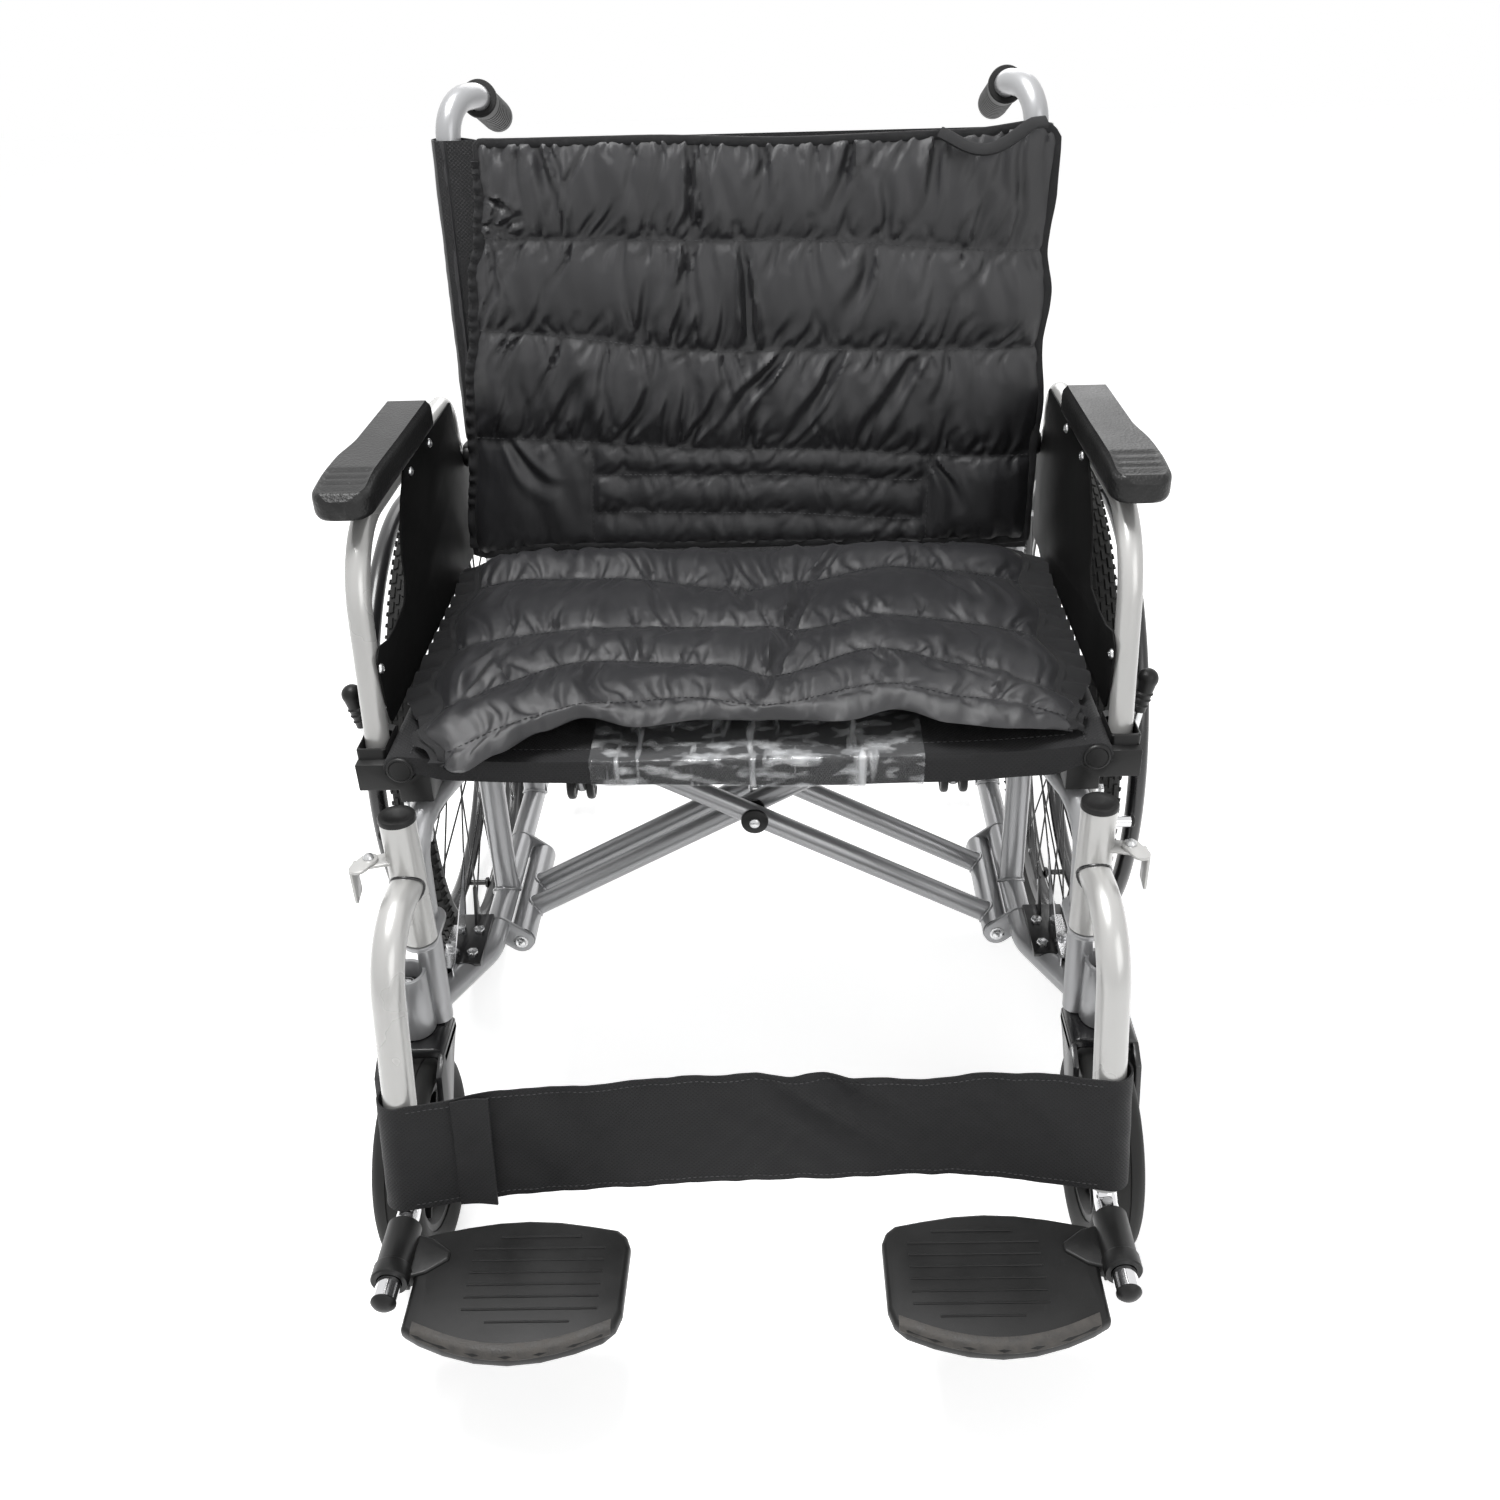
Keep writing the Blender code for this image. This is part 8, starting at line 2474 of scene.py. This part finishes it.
@dataclass
class BackCushion:
    """The quilted back cushion: three full panels over a block of short channels."""

    shop: Workshop
    half: float = 0.302
    thread_lift: float = 0.0022
    sling_face: float = 0.0188
    seam_y: float = -0.0300
    lean: float = math.radians(3.27)
    lean_z: float = 0.7475
    rows: tuple[float, ...] = (0.0, 0.028, 0.070, 0.103, 0.218, 0.312, 0.410)
    block: tuple[float, float] = (0.131, 0.491)
    bottom_line: Pairs = ((-0.30, 0.522), (-0.24, 0.530), (0.30, 0.528))
    short_low_line: Pairs = ((-0.17, 0.573), (0.0, 0.569), (0.19, 0.558))
    short_high_line: Pairs = ((-0.17, 0.615), (0.0, 0.612), (0.19, 0.602))
    third_line: Pairs = ((-0.29, 0.658), (0.01, 0.640), (0.30, 0.626))
    second_line: Pairs = ((-0.28, 0.771), (-0.014, 0.745), (0.31, 0.741))
    first_line: Pairs = ((-0.27, 0.862), (0.018, 0.855), (0.31, 0.838))
    top_line: Pairs = ((-0.25, 0.953), (-0.10, 0.953), (0.05, 0.948), (0.22, 0.951), (0.30, 0.958))
    left_side: Pairs = ((0.0, 0.316), (0.103, 0.304), (0.160, 0.298), (0.218, 0.287), (0.270, 0.282),
                        (0.312, 0.271), (0.360, 0.265), (0.410, 0.264))
    right_side: Pairs = ((0.0, 0.309), (0.103, 0.311), (0.160, 0.315), (0.218, 0.310), (0.270, 0.316),
                         (0.312, 0.309), (0.360, 0.315), (0.410, 0.316))

    def build(self) -> None:
        """Build the cushion with its stitches, its binding and the dark lip."""
        shop = self.shop
        width = 2 * self.half
        low, high = self.block
        _, short_low, short_high, third, second, first, top = self.rows
        full = tuple(Seam(row, 0.0, width) for row in (third, second, first))
        short = tuple(Seam(row, low, high) for row in (short_low, short_high))
        upright = tuple(Seam(mark, 0.0, third, along=True) for mark in self.block)
        quilt = Quilt((width, top), full + short + upright, self.folds(), lean=0.22, seed=1.0)
        body = shop.painted(quilt.build("quilt", self.lay), Surface.QUILT)
        rows = []
        for seam in quilt.seams:
            places = seam.places(0.004)[2:-2]
            rows.append([shop.free(self.lay(x, y, self.thread_lift)) for x, y in places])
        thread = shop.stitched("thread", rows)
        parts = [body, thread, *self.edging(quilt), self.lip()]
        item = shop.draped(merged("back_cushion_quilt", parts), ["back_cushion"], "quilt")
        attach(item, "left_side")
        shop.at(-LINES.cane_x, 0.0, 0.7)
        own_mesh(item)

    def folds(self) -> tuple[Fold, ...]:
        """Return the deep creases that the panels show, in the flat cut."""
        _, _, _, third, second, first, top = self.rows
        middle = self.half - 0.015
        return (
            Fold((middle - 0.043, top - 0.003), (middle - 0.040, first - 0.060), 0.010, 0.0060),
            Fold((middle - 0.036, first + 0.004), (middle - 0.040, top - 0.020), 0.006, 0.0050),
            Fold((middle + 0.122, top - 0.004), (middle + 0.096, first + 0.016), 0.009, 0.0065),
            Fold((middle + 0.208, top - 0.004), (middle + 0.188, first + 0.014), 0.009, 0.0070),
            Fold((middle - 0.212, top - 0.004), (middle - 0.196, first + 0.008), 0.008, 0.0075),
            Fold((middle + 0.034, top - 0.004), (middle + 0.040, first + 0.030), 0.008, 0.0065),
            Fold((middle + 0.160, first + 0.004), (middle + 0.146, top - 0.030), 0.007, 0.0065),
            Fold((middle - 0.268, first + 0.004), (middle - 0.232, first + 0.034), 0.008, 0.0050),
            Fold((middle - 0.276, first + 0.040), (middle - 0.228, first + 0.020), 0.008, 0.0045),
            Fold((middle - 0.280, first + 0.014), (middle - 0.240, first + 0.004), 0.007, 0.0045),
            Fold((middle - 0.274, first - 0.010), (middle - 0.250, second + 0.030), 0.007, 0.0050),
            Fold((middle + 0.016, first - 0.003), (middle + 0.018, second - 0.050), 0.013, 0.0060),
            Fold((middle + 0.020, second + 0.004), (middle + 0.016, first - 0.020), 0.007, 0.0060),
            Fold((middle - 0.054, first - 0.004), (middle - 0.046, second + 0.030), 0.008, 0.0055),
            Fold((middle + 0.142, first - 0.004), (middle + 0.112, second + 0.010), 0.009, 0.0080),
            Fold((middle - 0.110, second + 0.003), (middle - 0.084, first - 0.030), 0.008, 0.0070),
            Fold((middle - 0.066, second + 0.003), (middle - 0.052, second + 0.050), 0.008, 0.0055),
            Fold((middle + 0.256, first - 0.004), (middle + 0.236, second + 0.040), 0.006, 0.0060),
            Fold((middle - 0.130, third + 0.003), (middle - 0.072, second - 0.020), 0.009, 0.0075),
            Fold((middle + 0.050, second - 0.004), (middle - 0.018, third + 0.020), 0.010, 0.0070),
            Fold((middle + 0.116, second - 0.004), (middle + 0.052, third + 0.010), 0.009, 0.0070),
            Fold((middle + 0.196, second - 0.008), (middle + 0.128, third + 0.014), 0.008, 0.0085),
            Fold((middle - 0.052, third + 0.003), (middle - 0.010, second - 0.030), 0.009, 0.0065),
            Fold((middle + 0.010, third + 0.003), (middle + 0.030, third + 0.060), 0.009, 0.0055),
            Fold((middle - 0.210, third + 0.003), (middle - 0.150, second - 0.030), 0.007, 0.0075),
            Fold((middle - 0.245, third - 0.006), (middle - 0.190, third - 0.050), 0.007, 0.0070),
            Fold((middle + 0.212, third - 0.006), (middle + 0.240, third - 0.070), 0.008, 0.0060),
        )

    def rest(self, z: float) -> float:
        """Return how far back the sling's face lies at a height."""
        return LINES.cane_y(z) - self.sling_face

    def lay(self, x: float, y: float, height: float) -> Vector:
        """Return where a place of the flat cut lies on the sling."""
        share = x / self.half - 1.0
        at = share * between(self.left_side if share < 0 else self.right_side, y)
        lines = (self.bottom_line, self.short_low_line, self.short_high_line, self.third_line,
                 self.second_line,
                 self.first_line, self.top_line)
        below, part = row_share(self.rows, y)
        near, far = between(lines[below], at), between(lines[below + 1], at)
        z = near + (far - near) * part
        corner = 0.024 if share > 0 else 0.008
        inward = (1 - abs(share)) * self.half
        if y > self.rows[-1] - 0.06 and inward < corner:
            drop = corner - math.sqrt(max(0.0, corner ** 2 - (corner - inward) ** 2))
            z -= drop * (y - self.rows[-1] + 0.06) / 0.06
        plane = self.seam_y + math.tan(self.lean) * (z - self.lean_z)
        edge = max(0.0, (abs(share) - 0.86) / 0.14)
        plane += 0.007 * edge ** 1.5
        lift = height if height > 0 else height * 0.35
        return self.shop.at(at, min(plane - lift, self.rest(z)), z)

    def edging(self, quilt: Quilt) -> list[Shape]:
        """Return the binding round the cushion and its gathered left side."""
        path, ups = [], []
        for x, y in quilt.border(0.002):
            wave = ripple((x, y, 0.0), 0.011, 2.0)
            path.append(self.lay(x, y, 0.0010) + Vector((0.0, wave * 0.0014, 0.0)))
            ups.append((0.3 * wave, -1.0, 0.3 * wave))
        round_it = self.shop.painted(band("edging", path, ups, 0.0095, 0.0036, closed=True), Surface.BINDING)
        path, ups = [], []
        steps = 149
        for index in range(steps + 1):
            y = 0.006 + (self.rows[-1] - 0.022) * index / steps
            wave = math.sin(index * 1.15 + 3.0 * ripple((index * 0.13, 0.0, 0.0), 1.0))
            path.append(self.lay(0.0010, y, 0.0012) + Vector((0.0, -0.0012 * wave - 0.0012, 0.0)))
            ups.append((0.35 * wave, -1.0, 0.2 * wave))
        gathers = self.shop.painted(band("gathers", path, ups, 0.0125, 0.0030), Surface.BINDING)
        return [round_it, gathers]

    def lip(self) -> Shape:
        """Return the dark edge that curls over the right end of the top."""
        path, ups = [], []
        start, end = 0.196, 0.300
        steps = 39
        for index in range(steps + 1):
            share = index / steps
            at = start + (end - start) * share
            sag = 0.016 * math.sin(math.pi * min(1.0, share * 1.15)) ** 1.2
            z = between(self.top_line, at) + 0.001 - sag
            plane = self.seam_y + math.tan(self.lean) * (z - self.lean_z)
            ahead = 0.010 + 0.014 * math.sin(math.pi * share)
            path.append(self.shop.at(at, plane - ahead, z))
            ups.append((0.0, -0.7, 0.7))
        return self.shop.painted(band("lip", path, ups, 0.013, 0.0045), Surface.BINDING)


@dataclass
class SeatSling:
    """The seat sling over both rails, its drooping front hem and the clear film left on it."""

    shop: Workshop
    front: float = -0.452
    rear: float = -0.058
    over: float = 0.0142
    sag: float = 0.009
    thick: float = 0.0022
    hem: float = 0.034
    edge: float = 0.06
    film_x: tuple[float, float] = (-0.140, 0.157)
    film_back: float = 0.070
    film_thick: float = 0.00025

    def build(self) -> None:
        """Build the sling with its stitches, and the film."""
        shop = self.shop
        rows = []
        steps = 64
        for index in range(steps + 1):
            share = index / steps
            reach = self.front - self.hem + (self.rear - self.front + self.hem) * share
            rows.append([self.place(part / 96, reach) for part in range(97)])
        cloth = shop.woven("sling", rows, self.thick, Surface.OXFORD)
        lines = []
        for reach in (self.front - self.hem + 0.005, self.front + 0.012, self.rear - 0.010):
            lines.append([self.place(0.10 + 0.80 * part / 90, reach, 0.0016) for part in range(91)])
        for side in (0.075, 0.925):
            lines.append([self.place(side, self.front + (self.rear - self.front) * part / 80, 0.0016)
                          for part in range(81)])
        item = shop.draped(merged("seat_sling_cloth", [cloth, shop.stitched("thread", lines)]),
                           ["seat_sling"],
                           "cloth")
        film = shop.draped(self.film(), [], "cloth")
        for piece in (item, film):
            shop.at(-0.12, -0.25, 0.5)
            shop.at(0.12, -0.25, 0.5)
            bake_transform(piece)

    def place(self, share: float, reach: float, lift: float = 0.0) -> tuple[float, float, float]:
        """Return a place on the sling.

        Args:
            share: From the left edge (0) to the right edge (1).
            reach: How far back, with the hem that hangs down counted as cloth ahead of the front.
            lift: How far above the cloth.

        Returns:
            The place, from the axle line.
        """
        bend = self.edge
        over = self.over + lift
        side = -1.0 if share < 0.5 else 1.0
        outer = min(share, 1 - share)
        if outer < bend:
            angle = math.radians(12 + 78 * outer / bend)
            x = LINES.rail_x + over * math.cos(angle)
            z = LINES.rail_z + over * math.sin(angle)
            x *= side
        else:
            run = (share - 0.5) / (0.5 - bend)
            x = LINES.rail_x * run
            z = LINES.rail_z + over - self.sag * (1 - run ** 4)
            z += ripple((x, reach, 0.0), 0.07, 2.0) * 0.0012 * (1 - abs(run))
        y = max(reach, self.front)
        if reach < self.front:
            down = self.front - reach
            free = min(1.0, max(0.0, (outer - 0.03) / 0.08))
            turn = min(1.0, down / 0.010)
            wave = ripple((x, 0.0, down), 0.06, 4.0)
            y = self.front - 0.0055 * math.sin(turn * math.pi / 2) - 0.002 * wave * free * down / self.hem
            drop = 0.0035 * turn * turn + max(0.0, down - 0.010)
            z -= drop * (0.35 + 0.65 * free) * (0.92 + 0.14 * math.sin(x / LINES.rail_x * 2.2 + 0.5))
        return (x, y, z)

    def film(self) -> Shape:
        """Return the thin clear film wound round the front hem."""
        low, high = self.film_x
        whole = self.hem + self.film_back + 0.002
        rows = []
        steps = 120
        around = 44
        for index in range(steps + 1):
            x = low + (high - low) * index / steps
            share = 0.5 + x / LINES.rail_x * (0.5 - self.edge)
            row = []
            for part in range(around + 1):
                turn = part / around
                reach = self.front + self.film_back - whole * turn
                x_at, y, z = self.place(share, reach)
                wrinkle = ripple((x * 0.6, turn * 0.03, 0.0), 0.012, 7.0)
                wrinkle += 0.6 * ripple((x, turn * 0.02, 0.0), 0.005, 3.0)
                out = 0.0026 + 0.0016 * (1 + wrinkle)
                bow = math.sin(math.pi * turn) ** 0.5
                row.append((x_at, y - out * bow - 0.0012, z + out * (1 - turn) + 0.0004))
            for part in range(8):
                turn = part / 7
                x_at, y, z = self.place(share, self.front - self.hem + 0.018 * turn)
                row.append((x_at, y + 0.0030 + 0.001 * turn, z - 0.0020 * (1 - turn)))
            rows.append(row)
        return self.shop.woven("seat_sling_film", rows, self.film_thick, Surface.FILM)


@dataclass
class BackSling:
    """The back sling between the canes and the sleeves that hold it on them."""

    shop: Workshop
    half: float = 0.3115
    rows_z: tuple[float, float] = (0.510, 0.950)
    sleeve_z: float = 0.648
    thick: float = 0.0022
    around: float = 0.0146

    def build(self) -> None:
        """Build the sling and both sleeves."""
        shop = self.shop
        low, high = self.rows_z
        rows = []
        steps = 60
        for index in range(steps + 1):
            z = low + (high - low) * index / steps
            rows.append([self.place(-self.half + 2 * self.half * part / 80, z) for part in range(81)])
        cloth = shop.woven("sling", rows, self.thick, Surface.OXFORD)
        lines = []
        for height in (low + 0.008, high - 0.008):
            for lift in (-0.0013, 0.0013):
                lines.append([self.place(-0.27 + 0.54 * part / 90, height, lift) for part in range(91)])
        item = shop.draped(merged("back_sling_cloth", [cloth, shop.stitched("thread", lines)]),
                           ["back_sling"],
                           "cloth")
        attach(item, "left_side")
        shop.at(-LINES.cane_x, 0.0, 0.7)
        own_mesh(item)
        pieces = shop.fit_pair(self.sleeve(), "back_sling_sleeve", "{side}_side", slot="cloth")

    def place(self, x: float, z: float, lift: float = 0.0) -> tuple[float, float, float]:
        """Return a place on the sling, lift in front of its middle."""
        bow = 0.0006 * ripple((x, z, 0.0), 0.08, 6.0)
        return (x, LINES.cane_y(z) - 0.0150 - lift + bow, z)

    def sleeve(self) -> Shape:
        """Return the right-hand sleeve: round the cane and back to the sling."""
        rows = []
        high = self.rows_z[1]
        steps = 48
        for index in range(steps + 1):
            z = self.sleeve_z + (high - self.sleeve_z) * index / steps
            middle = LINES.cane_y(z)
            ease = 0.0011 * (1 + ripple((z * 0.5, 0.0, 0.0), 0.02, 9.0))
            row = [(LINES.cane_x + 0.002, middle - 0.0172, z)]
            for step in range(15):
                angle = -math.pi / 2 + math.pi * step / 14
                wave = 0.0008 * ripple((angle * 0.02, z, 0.0), 0.018, 1.0)
                radius = self.around + 0.0012 + wave + ease * max(0.0, math.cos(angle))
                row.append((LINES.cane_x + radius * math.cos(angle), middle + radius * math.sin(angle), z))
            for share in (0.15, 0.35, 0.55, 0.75, 0.9, 1.0):
                row.append((LINES.cane_x - 0.030 * share, middle + 0.0155 - 0.0270 * share ** 1.4, z))
            rows.append(row)
        cloth = self.shop.woven("sleeve", rows, 0.0014, Surface.SATIN)
        hem = [[(x, y, z - 0.006) for x, y, z in rows[-1][2:15]]]
        return merged("sleeve", [cloth, self.shop.stitched("thread", hem)])


@dataclass
class CalfStrap:
    """The wide band behind the calves, looped round both hangers and split at its middle."""

    shop: Workshop
    rows_z: tuple[float, float] = (0.160, 0.264)
    ease: float = 0.0017
    outer_ease: float = 0.0022
    thick: float = 0.0018
    parts: int = 16
    top_line: Pairs = ((-0.33, -0.006), (-0.20, 0.006), (0.0, 0.014), (0.14, 0.008), (0.22, 0.016),
                       (0.33, 0.010))
    low_line: Pairs = ((-0.33, -0.004), (-0.20, 0.006), (0.0, 0.012), (0.18, 0.018), (0.33, 0.006))

    def build(self) -> None:
        """Build both halves and the loose end on the left."""
        shop = self.shop
        for way, side in ((-1.0, "left"), (1.0, "right")):
            pieces = [self.half(way), self.hems(way)]
            item = shop.draped(merged(f"calf_strap_band_{side}", pieces), [f"calf_strap_{side}"], "cloth")
            self.hang(item, way, side)
        rows = []
        steps = 24
        for index in range(steps + 1):
            share = index / steps
            lift = 0.0035 + 0.006 * share ** 2
            rows.append([self.face(-0.262 + 0.034 * share, part / self.parts, lift)
                         for part in range(self.parts + 1)])
        end = shop.draped(shop.woven("calf_strap_end", rows, self.thick, Surface.OXFORD), [], "cloth")
        self.hang(end, -1.0, "left")

    def hang(self, item: Shape, way: float, side: str) -> None:
        """Hang a piece on its hanger."""
        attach(item, f"hanger_{side}")
        self.shop.at(way * 0.31, -0.62, 0.21)
        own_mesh(item)

    def centre(self, z: float) -> tuple[float, float]:
        """Return the hanger tube's middle (x, y) on the right side at a height."""
        start, end = LINES.hanger_top, LINES.hanger_low
        share = (start[2] - z) / (start[2] - end[2])
        return tuple(a + (b - a) * share for a, b in zip(start[:2], end[:2]))

    def height(self, x: float, part: float) -> float:
        """Return the strap's height across the chair; part goes from its low edge to its top."""
        low = self.rows_z[0] + between(self.low_line, x)
        high = self.rows_z[1] + between(self.top_line, x)
        return low + (high - low) * part

    def face(self, x: float, part: float, lift: float = 0.0) -> tuple[float, float, float]:
        """Return a place on the strap's straight run between the hangers."""
        z = self.height(x, part)
        x_tube, y_tube = self.centre(z)
        run = min(1.0, abs(x) / x_tube)
        front = LINES.hanger_tube / 2 + self.ease
        bow = 0.012 * (1 - run ** 2.2)
        wave = ripple((x + z * 0.9, z * 0.6, 0.0), 0.035, 4.0) * 0.0030
        wave += ripple((x - z, 0.0, 0.0), 0.014, 1.0) * 0.0010
        near = math.exp(-((x - 0.06) / 0.06) ** 2)
        wave += near * 0.004 * math.sin((x * 1.0 + z * 1.5) * 110.0) * part
        return (x, y_tube - front + bow + wave * (1 - run ** 6) - lift, z)

    def half(self, way: float) -> Shape:
        """Return one half with its loop round the hanger."""
        rows = []
        turns = 26
        for index in range(turns + 1):
            angle = math.pi * 0.62 - math.pi * 1.12 * index / turns
            row = []
            for part in range(self.parts + 1):
                z = self.height(way * LINES.hanger_low[0], part / self.parts)
                x_tube, y_tube = self.centre(z)
                radius = LINES.hanger_tube / 2 + self.ease
                radius += 0.0007 * (1 + ripple((angle * 0.01, z, way), 0.012, 2.0))
                radius += self.outer_ease * max(0.0, math.cos(angle))
                row.append((way * (x_tube + radius * math.cos(angle)), y_tube + radius * math.sin(angle), z))
            rows.append(row)
        steps = 84
        for index in range(1, steps + 1):
            x = way * 0.306 * (1 - index / steps)
            rows.append([self.face(x, part / self.parts) for part in range(self.parts + 1)])
        return self.shop.woven("half", rows, self.thick, Surface.OXFORD)

    def hems(self, way: float) -> Shape:
        """Return the stitched hems along both edges."""
        lines = []
        steps = 90
        for part in (0.05, 0.95):
            lines.append([self.face(way * 0.300 * (1 - index / steps), part, 0.0012)
                          for index in range(steps)])
        return self.shop.stitched("hems", lines, 0.005, 0.0036, 0.0009)


@dataclass
class Studio:
    """The camera at the photograph's viewing angle, the pale floor and the soft lights."""

    eye: tuple[float, float, float] = (0.0434, -1.2665, 1.1336)
    pitch: float = 30.994
    yaw: float = -1.0056
    roll: float = -1.633
    lens: float = 33.42
    shift: tuple[float, float] = (-0.01672, 0.00479)
    ambient: float = 0.34
    floor_lift: float = 0.66

    def build(self) -> None:
        """Build the camera, the floor, the world and the lamps."""
        bpy.context.scene.view_settings.view_transform = "Standard"
        self.camera()
        self.floor()
        self.world()
        self.lamp("key", (-0.4, -0.15, 2.7), 1.0, 60.0)
        self.lamp("fill", (1.5, -2.0, 1.6), 1.6, 14.0)
        self.lamp("rear", (0.2, 2.2, 1.9), 1.6, 14.0)

    def camera(self) -> None:
        """Place the camera."""
        pitch, yaw, roll = (math.radians(angle) for angle in (self.pitch, self.yaw, self.roll))
        forward = Vector((math.sin(yaw) * math.cos(pitch), math.cos(yaw) * math.cos(pitch), -math.sin(pitch)))
        right = Vector((math.cos(yaw), -math.sin(yaw), 0.0))
        up = right.cross(forward)
        turned_right = right * math.cos(roll) + up * math.sin(roll)
        turned_up = up * math.cos(roll) - right * math.sin(roll)
        data = bpy.data.cameras.new("camera")
        data.sensor_width = 36.0
        data.lens = self.lens
        data.shift_x, data.shift_y = self.shift
        data.clip_start = 0.01
        camera = bpy.data.objects.new("camera", data)
        bpy.context.scene.collection.objects.link(camera)
        turn = Matrix((turned_right, turned_up, -forward)).transposed()
        camera.matrix_world = Matrix.Translation(self.eye) @ turn.to_4x4()
        bpy.context.scene.camera = camera

    def floor(self) -> None:
        """Build the pale floor, which shows white and keeps the shadow."""
        material = bpy.data.materials.new("pale_floor")
        material.use_nodes = True
        sheet = NodeSheet(material.node_tree)
        shader = material.node_tree.nodes["Principled BSDF"]
        shader.inputs["Base Color"].default_value = (0.93, 0.93, 0.93, 1.0)
        shader.inputs["Roughness"].default_value = 0.9
        shader.inputs["Specular IOR Level"].default_value = 0.1
        path = sheet.add("ShaderNodeLightPath")
        shader.inputs["Emission Color"].default_value = (1.0, 1.0, 1.0, 1.0)
        seen = sheet.sum("MAXIMUM", path.outputs["Is Camera Ray"], path.outputs["Is Glossy Ray"])
        seen = sheet.sum("MAXIMUM", seen, path.outputs["Is Transmission Ray"])
        lift = sheet.sum("MULTIPLY", seen, self.floor_lift)
        sheet.tree.links.new(lift, shader.inputs["Emission Strength"])
        reach = 9.0
        item = shaped("floor",
                      [(-reach, -reach, 0), (reach, -reach, 0), (reach, reach, 0), (-reach, reach, 0)],
                      [(0, 1, 2, 3)])
        item.data.materials.append(material)
        item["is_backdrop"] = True

    def world(self) -> None:
        """Make a world that lights plainly and shows white to the camera and in reflections."""
        world = bpy.data.worlds.new("studio")
        world.use_nodes = True
        bpy.context.scene.world = world
        sheet = NodeSheet(world.node_tree)
        back = next(node for node in world.node_tree.nodes if node.type == "BACKGROUND")
        back.inputs["Color"].default_value = (1.0, 1.0, 1.0, 1.0)
        path = sheet.add("ShaderNodeLightPath")
        seen = sheet.sum("MAXIMUM", path.outputs["Is Camera Ray"], path.outputs["Is Transmission Ray"])
        seen = sheet.sum("MAXIMUM", seen, path.outputs["Is Glossy Ray"])
        strength = sheet.add("ShaderNodeMapRange", {"Value": seen, "To Min": self.ambient, "To Max": 1.0})
        sheet.tree.links.new(strength.outputs["Result"], back.inputs["Strength"])

    def lamp(self, name: str, place: tuple[float, float, float], size: float, power: float) -> None:
        """Hang a soft square lamp aimed at the seat."""
        data = bpy.data.lights.new(name, "AREA")
        data.size = size
        data.energy = power
        lamp = bpy.data.objects.new(name, data)
        bpy.context.scene.collection.objects.link(lamp)
        aim = Vector((0.0, -0.1, 0.4)) - Vector(place)
        lamp.matrix_world = Matrix.Translation(place) @ aim.to_track_quat("-Z", "Y").to_matrix().to_4x4()


def main() -> None:
    """Build the studio and every sub-assembly in order."""
    logging.basicConfig(level=logging.INFO, format="%(message)s")
    shop = Workshop()
    Studio().build()
    for kind in (SideFrame, BackCane, SeatGuide, CrossBrace, Arm, RearWheel, Caster, Hanger, Footplate,
                 BrakeLock, AntiTip, SeatSling, BackSling, CalfStrap, SeatCushion, BackCushion):
        kind(shop).build()


if __name__ == "__main__":
    main()
